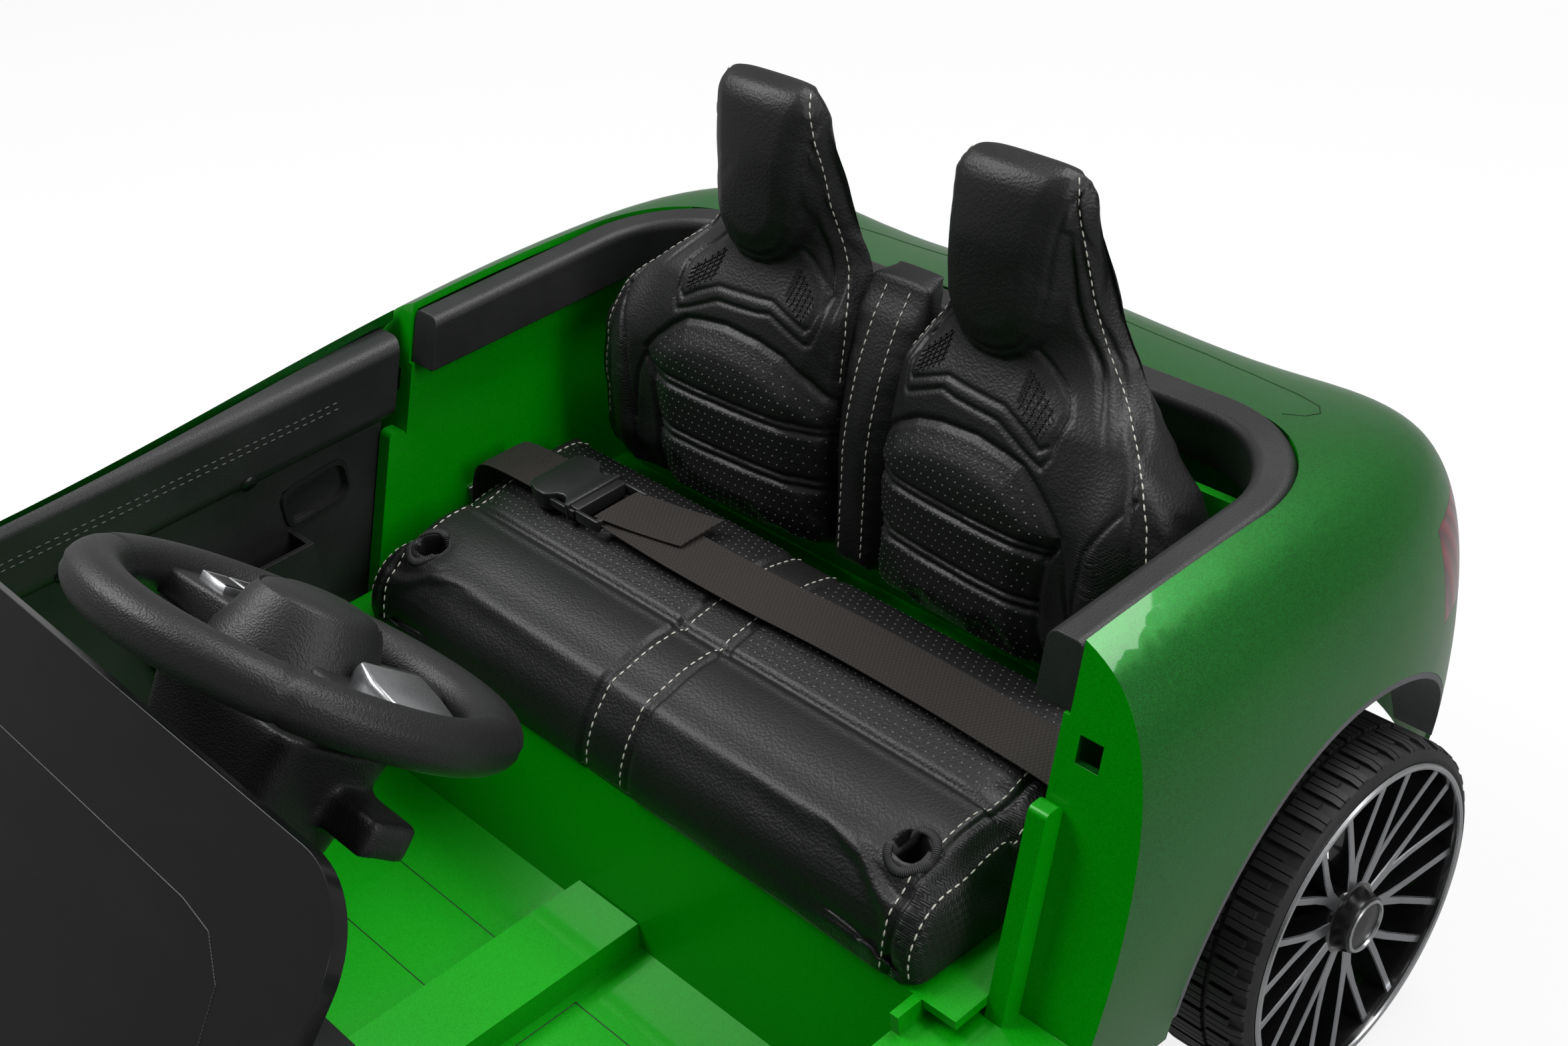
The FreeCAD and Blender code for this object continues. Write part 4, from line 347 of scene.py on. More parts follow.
@dataclass(frozen=True)
class Grained(Finish):
    """Moulded plastic with an etched grain."""
    colour: Point = tone(0.014, 0.014, 0.015)
    pale: Point = tone(0.024, 0.024, 0.025)
    grain: float = 1100.0
    depth: float = 0.00012
    roughness: float = 0.46

    def write(self, kit: ShaderKit) -> None:
        """Cells for the etched grain, clouds for handling marks.
        """
        grain = kit.cells(self.grain, "SMOOTH_F1").step(0.1, 0.8)
        cloud = kit.noise(14.0, 4.0)
        kit.set(Base_Color=kit.mix(cloud.step(0.3, 0.8), self.colour, self.pale))
        kit.set(Roughness=cloud * 0.12 + grain * 0.06 + (self.roughness - 0.08), Specular_IOR_Level=0.45)
        kit.bump(grain, self.depth, 0.6)


@dataclass(frozen=True)
class Gloss(Finish):
    """Polished plastic under a clear coat."""
    colour: Point = tone(0.004, 0.004, 0.0045)
    pale: Point = tone(0.007, 0.007, 0.008)
    roughness: float = 0.10
    coat: float = 0.8
    shine: float = 0.5

    def write(self, kit: ShaderKit) -> None:
        """Faint wipe marks in the gloss.
        """
        wipe = kit.noise(20.0, 4.0, kit.stretched((1.0, 4.0, 1.0)))
        kit.set(Base_Color=kit.mix(wipe, self.colour, self.pale))
        kit.set(Roughness=wipe.step(0.4, 0.9) * 0.06 + self.roughness, Specular_IOR_Level=self.shine)
        kit.set(Coat_Weight=self.coat, Coat_Roughness=0.03)


@dataclass(frozen=True)
class Metal(Finish):
    """Metal or metallised plastic with a fine drawn grain."""
    colour: Point = tone(0.52, 0.53, 0.54)
    dull: Point = tone(0.42, 0.43, 0.44)
    roughness: float = 0.28
    grain: Point = (900.0, 60.0, 900.0)

    def write(self, kit: ShaderKit) -> None:
        """Noise drawn out along one axis.
        """
        drawn = kit.noise(1.0, 2.0, kit.stretched(self.grain))
        cloud = kit.noise(30.0, 3.0)
        kit.set(Base_Color=kit.mix(cloud.step(0.3, 0.8), self.colour, self.dull), Metallic=0.92)
        kit.set(Roughness=drawn * 0.14 + (self.roughness - 0.06))
        kit.bump(drawn, 0.00003, 0.4)


@dataclass(frozen=True)
class Rubber(Finish):
    """Blow-moulded tyre plastic, matt with faint scuffs."""
    colour: Point = tone(0.011, 0.011, 0.0115)
    scuffed: Point = tone(0.030, 0.030, 0.029)
    roughness: float = 0.58

    def write(self, kit: ShaderKit) -> None:
        """Dust in clouds over a fine moulded grain.
        """
        dust = kit.noise(26.0, 5.0).step(0.45, 0.8)
        grain = kit.noise(1500.0, 2.0)
        kit.set(Base_Color=kit.mix(dust * 0.6, self.colour, self.scuffed))
        kit.set(Roughness=dust * 0.16 + grain * 0.08 + (self.roughness - 0.06))
        kit.bump(grain, 0.00008, 0.5)


@dataclass(frozen=True)
class Lens(Finish):
    """A coloured lamp lens with moulded flutes."""
    colour: Point = tone(0.16, 0.0, 0.010)
    deep: Point = tone(0.05, 0.0, 0.004)
    flute: float = 0.006
    coat: float = 0.35

    def write(self, kit: ShaderKit) -> None:
        """Flutes across the lens under a clear coat.
        """
        across = kit.axes()[0]
        flutes = (across * (math.tau / self.flute)).math("SINE") * 0.5 + 0.5
        kit.set(Base_Color=kit.mix(flutes, self.deep, self.colour), Roughness=kit.noise(40.0) * 0.06 + 0.08)
        kit.set(Coat_Weight=self.coat, Coat_Roughness=0.02)
        kit.bump(flutes, 0.0004, 0.35)


@dataclass(frozen=True)
class Webbing(Finish):
    """Coarse woven strap, laid out on the ribbon's own UV in metres."""
    colour: Point = tone(0.0120, 0.0098, 0.0084)
    pale: Point = tone(0.034, 0.027, 0.0225)
    rib: float = 0.0023
    pick: float = 0.0030

    def write(self, kit: ShaderKit) -> None:
        """Ribs across and picks along, set off from row to row.
        """
        along, across = kit.axes(kit.node("ShaderNodeUVMap").outputs[0])[:2]
        row = (across / self.rib).math("FLOOR")
        shift = (row * 0.5).math("FRACT") * math.tau
        pick = ((along * (math.tau / self.pick)) + shift).math("SINE") * 0.5 + 0.5
        rib = (across * (math.pi / self.rib)).math("SINE").math("ABSOLUTE")
        height = pick * rib
        fuzz = kit.noise(900.0, 3.0)
        kit.set(Base_Color=kit.mix(height * 0.75 + fuzz * 0.25, self.colour, self.pale))
        kit.set(Roughness=0.66 + fuzz * 0.2, Sheen_Weight=0.06, Specular_IOR_Level=0.3)
        kit.bump(height * 0.85 + fuzz * 0.15, 0.0006, 0.9)


@dataclass(frozen=True)
class Thread(Finish):
    """Twisted sewing thread or a pin-pricked backing."""
    colour: Point = tone(0.74, 0.71, 0.65)
    shade: Point = tone(0.48, 0.46, 0.41)

    def write(self, kit: ShaderKit) -> None:
        """Fine twist in the colour and bump.
        """
        twist = kit.noise(2200.0, 2.0)
        kit.set(Base_Color=kit.mix(twist, self.shade, self.colour), Roughness=twist * 0.2 + 0.55)
        kit.bump(twist, 0.0001, 0.5)


class Finishes(Enum):
    """Every finish on the car."""
    BODY = Paint("paint_deep_green", "green_paint")
    # Unpainted, less metallic cabin plastic, set brighter than the outer paint partly as painted light: the extra
    # brightness stands in for light bouncing round inside the tub and falling on the up-tilted door jambs.
    CABIN = Paint("paint_cabin_green", "green_paint", tone(0.0, 0.270, 0.0), tone(0.0, 0.400, 0.002),
                  0.10, 0.34, 0.22, 0.3)
    LEATHER = Leather("leather_black", "black_leather")
    TRIM = Grained("trim_grained_black", "black_trim")
    SMOOTH_TRIM = Grained("trim_satin_black", "black_trim", tone(0.010, 0.010, 0.011), tone(0.016, 0.016, 0.017),
                          1800.0, 0.00005, 0.36)
    BUCKLE = Grained("buckle_satin_black", "gloss_black", tone(0.010, 0.010, 0.011), tone(0.018, 0.018, 0.019),
                     1500.0, 0.00006, 0.38)
    GLOSS = Gloss("gloss_black", "gloss_black")
    SCREEN = Gloss("screen_smoked", "tinted_screen", tone(0.004, 0.004, 0.0045), tone(0.007, 0.007, 0.008), 0.20, 0.10,
                  0.35)
    RIM = Gloss("rim_gloss_black", "rim_black", tone(0.005, 0.005, 0.0055), tone(0.010, 0.010, 0.011), 0.14)
    SILVER = Metal("silver_satin", "silver")
    RIM_FACE = Metal("rim_silver_face", "silver", tone(0.40, 0.41, 0.43), tone(0.32, 0.33, 0.35), 0.24)
    STEEL = Metal("steel_zinc", "steel", tone(0.44, 0.44, 0.45), tone(0.34, 0.34, 0.34), 0.34)
    TYRE = Rubber("tyre_black", "tyre")
    LINER = Grained("liner_grey", "grey_liner", tone(0.085, 0.087, 0.092), tone(0.120, 0.122, 0.128), 500.0,
                    0.0002, 0.62)
    CASE = Grained("case_charcoal", "battery_case", tone(0.030, 0.030, 0.033), tone(0.048, 0.048, 0.052), 900.0,
                   0.0001, 0.5)
    RED_LENS = Lens("lens_red", "red_lamp")
    CLEAR_LENS = Lens("lens_clear", "clear_lamp", tone(0.62, 0.64, 0.66), tone(0.42, 0.44, 0.46))
    WEBBING = Webbing("webbing_brown_grey", "webbing")
    WRAP = Leather("wheel_wrap_black", "black_trim", tone(0.0120, 0.0120, 0.0128), tone(0.0200, 0.0200, 0.0210), 1100.0)
    TRIM_THREAD = Thread("thread_grey", "black_trim", tone(0.16, 0.16, 0.16), tone(0.09, 0.09, 0.09))
    THREAD = Thread("thread_off_white", "black_leather")
    # Painted shade: near-black green laid on the surface along the floor's recess outlines and the deck's boot gap,
    # standing in for the shade inside those grooves.
    PANEL_GAP = Grained("panel_gap_green", "green_paint", tone(0.0, 0.020, 0.0), tone(0.0, 0.034, 0.0))
    DARK_THREAD = Thread("thread_charcoal", "black_leather", tone(0.030, 0.030, 0.031), tone(0.014, 0.014, 0.0145))
    PRICK = Thread("prick_grey", "black_leather", tone(0.20, 0.20, 0.21), tone(0.11, 0.11, 0.115))

    def material(self) -> bpy.types.Material:
        """The finish's material."""
        return self.value.material()


class Forge:
    """Common ways to make, change and hand over meshes, with merge distances in metres and angles in degrees."""
    double = 1e-6
    node_double = 2e-5
    flat_angle = 0.4
    crease_angle = 38.0

    @staticmethod
    def piece(name: str, mesh: Mesh) -> Piece:
        """An object of a mesh, linked to the scene.

        Args:
            name: the piece's name.
            mesh: its mesh, or its curve.

        Returns:
            The piece.
        """
        piece = bpy.data.objects.new(name, mesh)
        bpy.context.scene.collection.objects.link(piece)
        return piece

    @staticmethod
    def mesh(name: str, points: Line, faces: Faces) -> Mesh:
        """A mesh of points in millimetres and faces.

        Args:
            name: the mesh's name.
            points: places in millimetres.
            faces: numbers of points.

        Returns:
            The mesh.
        """
        mesh = bpy.data.meshes.new(name)
        mesh.from_pydata([tuple(c * MM for c in p) for p in points], [], faces)
        mesh.update()
        return mesh

    @staticmethod
    def loft(sections: list[Line], around: bool = False, closed: bool = True,
             caps: tuple[int, ...] = ()) -> tuple[Line, Faces]:
        """A skin through sections that have the same number of points.

        Args:
            sections: the sections in order.
            around: whether the last section joins the first.
            closed: whether a section's end joins its start.
            caps: numbers of the sections that a face fills.

        Returns:
            The points, and the faces as numbers of points.
        """
        rows, count = len(sections), len(sections[0])
        faces = []
        for i in range(rows if around else rows - 1):
            near, far = i * count, (i + 1) % rows * count
            for j in range(count if closed else count - 1):
                k = (j + 1) % count
                faces.append((near + j, near + k, far + k, far + j))
        faces += [tuple(range(i % rows * count, (i % rows + 1) * count)) for i in caps]
        return [point for section in sections for point in section], faces

    @staticmethod
    def evaluated(piece: Piece) -> None:
        """Turns a piece's modifiers into plain mesh.

        Args:
            piece: the piece that is changed.
        """
        graph = bpy.context.evaluated_depsgraph_get()
        mesh = bpy.data.meshes.new_from_object(piece.evaluated_get(graph), preserve_all_data_layers=True,
                                               depsgraph=graph)
        old = piece.data
        piece.modifiers.clear()
        piece.data = mesh
        bpy.data.meshes.remove(old)

    @classmethod
    def modified(cls, piece: Piece, kind: str, **settings: object) -> None:
        """Runs one modifier on a piece and keeps the result as plain mesh.

        Args:
            piece: the piece that is changed.
            kind: the modifier's type.
            settings: its settings by name.
        """
        modifier = piece.modifiers.new(kind.lower(), kind)
        for key, value in settings.items():
            setattr(modifier, key, value)
        cls.evaluated(piece)

    @staticmethod
    @contextmanager
    def opened(mesh: Mesh) -> Iterator[bmesh.types.BMesh]:
        """A mesh opened for bmesh operations, stored back at the end.

        Args:
            mesh: the mesh.

        Returns:
            The mesh as a BMesh, inside a with block.
        """
        work = bmesh.new()
        work.from_mesh(mesh)
        yield work
        work.to_mesh(mesh)
        work.free()

    @classmethod
    def outward(cls, mesh: Mesh) -> None:
        """Merges doubles and turns every face outwards.

        Args:
            mesh: the mesh.
        """
        with cls.opened(mesh) as work:
            bmesh.ops.remove_doubles(work, verts=work.verts, dist=cls.double)
            bmesh.ops.recalc_face_normals(work, faces=work.faces)

    @staticmethod
    def smooth(mesh: Mesh, angle: float) -> None:
        """Smooth shading with sharp edges above an angle in degrees."""
        mesh.shade_smooth()
        mesh.set_sharp_from_angle(angle=math.radians(angle))

    @staticmethod
    def hand_over(piece: Piece, carrier: Carrier, finish: Finishes, *nodes: str) -> Piece:
        """Gives a piece its finish and carrier, and hides the CAD nodes that it stands for.

        Args:
            piece: the finished piece, at the origin.
            carrier: the body that it rides on.
            finish: its main finish, set only where the mesh has no material yet.
            nodes: CAD nodes that it stands for.

        Returns:
            The piece.
        """
        if not [m for m in piece.data.materials if m]:
            piece.data.materials.clear()
            piece.data.materials.append(finish.material())
        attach(piece, carrier.value)
        if nodes:
            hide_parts(*nodes)
        log.info("%s rides %s, %d faces", piece.name, carrier.value, len(piece.data.polygons))
        return piece

    @classmethod
    def solid(cls, name: str, shape: tuple[Line, Faces], angle: float = 40.0, finish: Finishes | None = None,
              edge: float = 0.0, segments: int = 3) -> Piece:
        """A closed piece with smooth shading.

        Args:
            name: the piece's name.
            shape: its points in millimetres and its faces.
            angle: edges above this angle in degrees stay sharp.
            finish: its finish, or none yet.
            edge: the width of its softened edges in millimetres, 0 for none.
            segments: steps across a softened edge.

        Returns:
            The piece.
        """
        mesh = cls.mesh(name, *shape)
        cls.outward(mesh)
        piece = cls.piece(name, mesh)
        if edge:
            cls.modified(piece, "BEVEL", width=edge * MM, segments=segments)
        cls.smooth(piece.data, angle)
        if finish:
            piece.data.materials.append(finish.material())
        return piece

    @classmethod
    def slab(cls, name: str, outline: Line, low: float, high: float, edge: float) -> Piece:
        """A flat outline drawn from one height to another, with softened edges."""
        ends = [[(x, y, z) for x, y in outline] for z in (low, high)]
        return cls.solid(name, cls.loft(ends, caps=(0, -1)), edge=edge)

    @classmethod
    def copy_node(cls, node: str) -> Mesh:
        """A merged copy of a CAD node's mesh.

        Args:
            node: the CAD node.

        Returns:
            The copy, with no materials.
        """
        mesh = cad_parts[node].data.copy()
        mesh.materials.clear()
        with cls.opened(mesh) as work:
            bmesh.ops.remove_doubles(work, verts=work.verts, dist=cls.node_double)
        return mesh

    @classmethod
    def rounded(cls, name: str, node: str, voxel: float, passes: int) -> Piece:
        """A CAD node remeshed at a size in millimetres and smoothed over.

        Args:
            name: the piece's name.
            node: the CAD node.
            voxel: the remesh size in millimetres.
            passes: how often it is smoothed.

        Returns:
            The piece.
        """
        piece = cls.piece(name, cls.copy_node(node))
        cls.modified(piece, "REMESH", mode="VOXEL", voxel_size=voxel * MM)
        cls.modified(piece, "SMOOTH", iterations=passes)
        return piece

    @classmethod
    def dressed(cls, node: str, edge: float, carrier: Carrier, finish: Finishes) -> Piece:
        """A CAD node with softened edges and a finish.

        Args:
            node: the CAD node.
            edge: the width of the softened edges in millimetres, 0 for none.
            carrier: the body that it rides on.
            finish: its finish.

        Returns:
            The piece that stands for the node.
        """
        mesh = cls.copy_node(node)
        piece = cls.piece(node + "_dressed", mesh)
        if edge:
            with cls.opened(mesh) as work:
                bmesh.ops.dissolve_limit(work, angle_limit=math.radians(cls.flat_angle), verts=work.verts,
                                         edges=work.edges)
            mesh.shade_smooth()
            cls.modified(piece, "BEVEL", width=edge * MM, segments=2, limit_method="ANGLE",
                         angle_limit=math.radians(cls.crease_angle))
        cls.smooth(piece.data, 32.0)
        cls.modified(piece, "WEIGHTED_NORMAL", keep_sharp=True)
        return cls.hand_over(piece, carrier, finish, node)


class Growth:
    """Geometry Nodes trees that make what repeats."""
    widest = 14.0

    def __init__(self) -> None:
        """Builds the three trees once."""
        self.stitches = self.stitch_tree()
        self.scatter = self.scatter_tree()
        self.ring = self.ring_tree()

    @staticmethod
    def start(name: str, sizes: dict[str, str]) -> tuple[NodeKit, Sockets]:
        """A tree with a geometry, a material and named sizes as inputs.

        Args:
            name: the tree's name.
            sizes: socket types by input name.
        """
        tree = bpy.data.node_groups.new(name, "GeometryNodeTree")
        tree.interface.new_socket("Geometry", in_out="OUTPUT", socket_type="NodeSocketGeometry")
        fixed = {"Geometry": "NodeSocketGeometry", "Material": "NodeSocketMaterial"}
        for size, kind in {**fixed, **sizes}.items():
            tree.interface.new_socket(size, in_out="INPUT", socket_type=kind)
        kit = NodeKit(tree)
        return kit, kit.node("NodeGroupInput").outputs

    @staticmethod
    def end(kit: NodeKit, given: Sockets, shape: Node) -> bpy.types.NodeTree:
        """Realizes the shape, sets its material and closes the tree.

        Args:
            kit: the tree's kit.
            given: the sockets of its inputs.
            shape: the node that gives the shape.

        Returns:
            The tree.
        """
        real = kit.node("GeometryNodeRealizeInstances", None, {0: shape})
        soft = kit.node("GeometryNodeSetShadeSmooth", None, {0: real})
        done = kit.node("GeometryNodeSetMaterial", None, {0: soft, "Material": given["Material"]})
        kit.node("NodeGroupOutput", None, {0: done})
        return kit.tree

    def stitch_tree(self) -> bpy.types.NodeTree:
        """Stitches laid along the edges of a polyline, lying on its 'up' attribute.

        Returns:
            The tree.
        """
        sizes = {"Pitch": "NodeSocketFloat", "Size": "NodeSocketVector"}
        kit, given = self.start("stitches_along_seam", sizes)
        curve = kit.node("GeometryNodeMeshToCurve", None, {0: given["Geometry"]})
        even = kit.node("GeometryNodeResampleCurve", {"mode": "LENGTH"},
                        {"Curve": curve, "Length": given["Pitch"]})
        up = kit.node("GeometryNodeInputNamedAttribute", {"data_type": "FLOAT_VECTOR"}, {"Name": "up"})
        turn = kit.node("FunctionNodeAxesToRotation", {"primary_axis": "X", "secondary_axis": "Z"},
                        {0: kit.node("GeometryNodeInputTangent"), 1: up})
        bead = kit.node("GeometryNodeMeshUVSphere", None, {"Segments": 6, "Rings": 4, "Radius": 0.5})
        laid = kit.node("GeometryNodeInstanceOnPoints", None,
                        {"Points": even, "Instance": bead, "Rotation": turn,
                         "Scale": given["Size"]})
        return self.end(kit, given, laid)

    def scatter_tree(self) -> bpy.types.NodeTree:
        """Short studs at points, standing along their 'up' attribute.

        Returns:
            The tree.
        """
        sizes = {"Radius": "NodeSocketFloat", "Depth": "NodeSocketFloat", "Sides": "NodeSocketInt"}
        kit, given = self.start("studs_at_points", sizes)
        up = kit.node("GeometryNodeInputNamedAttribute", {"data_type": "FLOAT_VECTOR"}, {"Name": "up"})
        turn = kit.node("FunctionNodeAlignRotationToVector", {"axis": "Z"}, {"Vector": up})
        stud = kit.node("GeometryNodeMeshCylinder", None,
                        {"Vertices": given["Sides"], "Radius": given["Radius"],
                         "Depth": given["Depth"]})
        laid = kit.node("GeometryNodeInstanceOnPoints", None,
                        {"Points": given["Geometry"], "Instance": stud,
                         "Rotation": turn})
        return self.end(kit, given, laid)

    def ring_tree(self) -> bpy.types.NodeTree:
        """Copies of a shape turned about the X axis, then moved to a centre.

        Returns:
            The tree.
        """
        sizes = {"Count": "NodeSocketInt", "Centre": "NodeSocketVector"}
        kit, given = self.start("copies_round_axle", sizes)
        points = kit.node("GeometryNodePoints", None, {"Count": given["Count"]})
        index = Signal(kit, kit.node("GeometryNodeInputIndex").outputs[0])
        angle = index * math.tau / Signal(kit, given["Count"])
        turn = kit.node("FunctionNodeEulerToRotation", None,
                        {0: kit.node("ShaderNodeCombineXYZ", None, {"X": angle})})
        laid = kit.node("GeometryNodeInstanceOnPoints", None,
                        {"Points": points, "Instance": given["Geometry"],
                         "Rotation": turn})
        moved = kit.node("GeometryNodeTransform", None,
                         {"Geometry": laid, "Translation": given["Centre"]})
        return self.end(kit, given, moved)

    @staticmethod
    def grow(name: str, mesh: Mesh, tree: bpy.types.NodeTree, finish: Finishes,
             **sizes: object) -> Piece:
        """Runs a tree on a mesh and keeps the result as plain mesh.

        Args:
            name: the piece's name.
            mesh: the polyline, points or shape that the tree takes.
            tree: the tree.
            finish: the finish of what grows.
            sizes: the tree's inputs by name.

        Returns:
            The piece.
        """
        piece = Forge.piece(name, mesh)
        modifier = piece.modifiers.new("growth", "NODES")
        modifier.node_group = tree
        values = {"Material": finish.material(), **sizes}
        for item in tree.interface.items_tree:
            if item.item_type == "SOCKET" and item.in_out == "INPUT" and item.name in values:
                modifier[item.identifier] = values[item.name]
        Forge.evaluated(piece)
        return piece

    def sew(self, name: str, lines: list[Seam], finish: Finishes,
            pitch: float = 6.0, size: Point = (4.8, 1.15, 1.0)) -> Piece:
        """Stitches along seams.

        Args:
            name: the piece's name.
            lines: points and normals of each seam, in metres.
            finish: the thread.
            pitch: from stitch to stitch in millimetres.
            size: a stitch's length, width and height in millimetres.

        Returns:
            The piece.
        """
        points, ups, edges = [], [], []
        for places, normals in lines:
            first = len(points)
            points += [p + n * (size[2] * 0.22 * MM) for p, n in zip(places, normals)]
            ups += normals
            edges += [(first + i, first + i + 1) for i in range(len(places) - 1)
                      if (places[i + 1] - places[i]).length < self.widest * MM]
        mesh = self.seeded(name, points, ups, edges)
        return self.grow(name, mesh, self.stitches, finish, Pitch=pitch * MM, Size=Vector(size) * MM)

    def stud(self, name: str, points: list[Vector], ups: list[Vector], finish: Finishes, radius: float,
             depth: float, sides: int = 7) -> Piece:
        """Studs or pricks at points, with sizes in millimetres."""
        mesh = self.seeded(name, points, ups, [])
        return self.grow(name, mesh, self.scatter, finish, Radius=radius * MM, Depth=depth * MM, Sides=sides)

    @staticmethod
    def seeded(name: str, points: list[Vector], ups: list[Vector], edges: list[tuple[int, int]]) -> Mesh:
        """Points and edges with the normals that a tree reads as 'up'.

        Args:
            name: the mesh's name.
            points: places in metres.
            ups: a normal for each point.
            edges: pairs of points that are joined.

        Returns:
            The mesh.
        """
        mesh = bpy.data.meshes.new(name)
        mesh.from_pydata(points, edges, [])
        layer = mesh.attributes.new("up", "FLOAT_VECTOR", "POINT")
        layer.data.foreach_set("vector", [c for n in ups for c in n])
        return mesh


class Cushioning:
    """Swells a solid's mesh with cloth and carves seams into it."""
    relaxing = 7
    pressure = 4.0
    frames = 20
    held_from = 0.75

    @staticmethod
    def places(mesh: Mesh) -> np.ndarray:
        """Vertex places in millimetres.

        Args:
            mesh: the mesh.

        Returns:
            A row of x, y and z for each vertex.
        """
        flat = np.empty(len(mesh.vertices) * 3)
        mesh.vertices.foreach_get("co", flat)
        return flat.reshape(-1, 3) / MM

    @staticmethod
    def normals(mesh: Mesh) -> np.ndarray:
        """Vertex normals.

        Args:
            mesh: the mesh.

        Returns:
            A row of x, y and z for each vertex.
        """
        flat = np.empty(len(mesh.vertices) * 3)
        mesh.vertex_normals.foreach_get("vector", flat)
        return flat.reshape(-1, 3)

    @staticmethod
    def put(mesh: Mesh, places: np.ndarray) -> None:
        """Stores vertex places given in millimetres."""
        mesh.vertices.foreach_set("co", (places * MM).ravel())
        mesh.update()

    @staticmethod
    def away(points: np.ndarray, line: Line) -> np.ndarray:
        """Distance of flat points from a polyline.

        Args:
            points: rows of two coordinates.
            line: the polyline.

        Returns:
            The distance of each point.
        """
        best = np.full(len(points), 1e9)
        for a, b in zip(line, line[1:]):
            start, run = np.array(a), np.array(b) - np.array(a)
            share = np.clip(((points - start) @ run) / max(run @ run, 1e-9), 0.0, 1.0)
            best = np.minimum(best, np.linalg.norm(points - start - share[:, None] * run, axis=1))
        return best

    @staticmethod
    def within(points: np.ndarray, outline: Line) -> np.ndarray:
        """Whether flat points lie in a closed outline.

        Args:
            points: rows of two coordinates.
            outline: the outline's corners.

        Returns:
            True for each point inside.
        """
        inside = np.zeros(len(points), bool)
        for (x0, y0), (x1, y1) in zip(outline, outline[1:] + outline[:1]):
            crosses = (y0 > points[:, 1]) != (y1 > points[:, 1])
            rise = y1 - y0 if y1 != y0 else 1e-9
            inside ^= crosses & (points[:, 0] < (x1 - x0) * (points[:, 1] - y0) / rise + x0)
        return inside

    @staticmethod
    def ease(value: np.ndarray, low: float, high: float) -> np.ndarray:
        """Smooth step of an array from low to high."""
        share = np.clip((value - low) / (high - low), 0.0, 1.0)
        return share * share * (3.0 - 2.0 * share)

    @staticmethod
    def crease(away: np.ndarray, width: float) -> np.ndarray:
        """A rounded groove of depth 1, by distance from its line."""
        return np.exp(-(away / width) ** 2)

    @classmethod
    def swollen(cls, name: str, node: str, back: Vector, voxel: float, cap: float, levels: int,
                wrap: float = 0.0) -> Piece:
        """A CAD soft solid remeshed, swelled by cloth and subdivided.

        Args:
            name: the piece's name.
            node: the CAD node.
            back: the way its held back faces.
            voxel: the remesh size in millimetres.
            cap: the most that a point may move in millimetres.
            levels: subdivisions afterwards.
            wrap: how far the cover reaches back over what it is drawn on, in millimetres.

        Returns:
            The piece.
        """
        piece = Forge.rounded(name, node, voxel, cls.relaxing)
        normals = cls.normals(piece.data)
        loose = 1.0 - cls.ease(normals @ np.array(back), 0.3, cls.held_from)
        slack = normals * (loose * cap * 0.55)[:, None]
        start = cls.places(piece.data) - slack
        cls.put(piece.data, start)
        cls.swell(piece, start, back, cap)
        if wrap:
            cls.wrapped(piece, back, wrap)
        Forge.modified(piece, "SUBSURF", levels=levels, render_levels=levels)
        piece.data.shade_smooth()
        return piece

    @classmethod
    def swell(cls, piece: Piece, start: np.ndarray, back: Vector, cap: float) -> None:
        """Runs the cloth with pressure inside, holding the back, and caps the movement.

        Args:
            piece: the piece, at its start.
            start: its vertex places in millimetres.
            back: the way its held back faces.
            cap: the most that a point may move in millimetres.
        """
        held = piece.vertex_groups.new(name="held")
        facing = cls.normals(piece.data) @ np.array(back)
        held.add([int(i) for i in np.nonzero(facing > cls.held_from)[0]], 1.0, "REPLACE")
        cloth = piece.modifiers.new("filling", "CLOTH")
        cloth.settings.use_pressure = True
        cloth.settings.uniform_pressure_force = cls.pressure
        cloth.settings.vertex_group_mass = "held"
        cloth.settings.effector_weights.gravity = 0.0
        cloth.settings.quality = 4
        scene = bpy.context.scene
        for step in range(1, cls.frames + 1):
            scene.frame_set(step)
        Forge.evaluated(piece)
        scene.frame_set(1)
        moved = cls.places(piece.data) - start
        length = np.linalg.norm(moved, axis=1, keepdims=True)
        cls.put(piece.data, start + moved * np.minimum(1.0, cap / np.maximum(length, 1e-6)))

    @classmethod
    def wrapped(cls, piece: Piece, back: Vector, depth: float) -> None:
        """Draws the flat back rearwards over the shell that it covers, and rounds its rim.

        Args:
            piece: the piece that is changed.
            back: the way its held back faces.
            depth: how far the back is drawn, in millimetres.
        """
        places = cls.places(piece.data)
        rear = places @ np.array(back)
        share = 1.0 - cls.ease(rear.max() - rear, 1.0, 15.0)
        cls.put(piece.data, places + share[:, None] * np.array(back) * depth)
        rim = piece.vertex_groups.new(name="rim")
        for index in np.nonzero(share > 0.05)[0]:
            rim.add([int(index)], float(share[index]), "REPLACE")
        Forge.modified(piece, "SMOOTH", vertex_group="rim", iterations=30)

    @staticmethod
    def mark(mesh: Mesh, name: str, values: np.ndarray) -> None:
        """Stores a value for each vertex."""
        layer = mesh.attributes.new(name, "FLOAT", "POINT")
        layer.data.foreach_set("value", values.astype(np.float32))

    @staticmethod
    def tree(mesh: Mesh) -> BVHTree:
        """A search tree of a mesh's faces."""
        return BVHTree.FromPolygons([v.co.copy() for v in mesh.vertices], [tuple(p.vertices) for p in mesh.polygons])

    @staticmethod
    def even(line: Line, pitch: float) -> Line:
        """Points at an even pitch along a polyline.

        Args:
            line: the polyline.
            pitch: from point to point.

        Returns:
            The points, with the polyline's end.
        """
        out = []
        for a, b in zip(line, line[1:]):
            run = math.dist(a, b)
            count = max(1, round(run / pitch))
            out += [tuple(p + (q - p) * i / count for p, q in zip(a, b)) for i in range(count)]
        return out + [line[-1]]

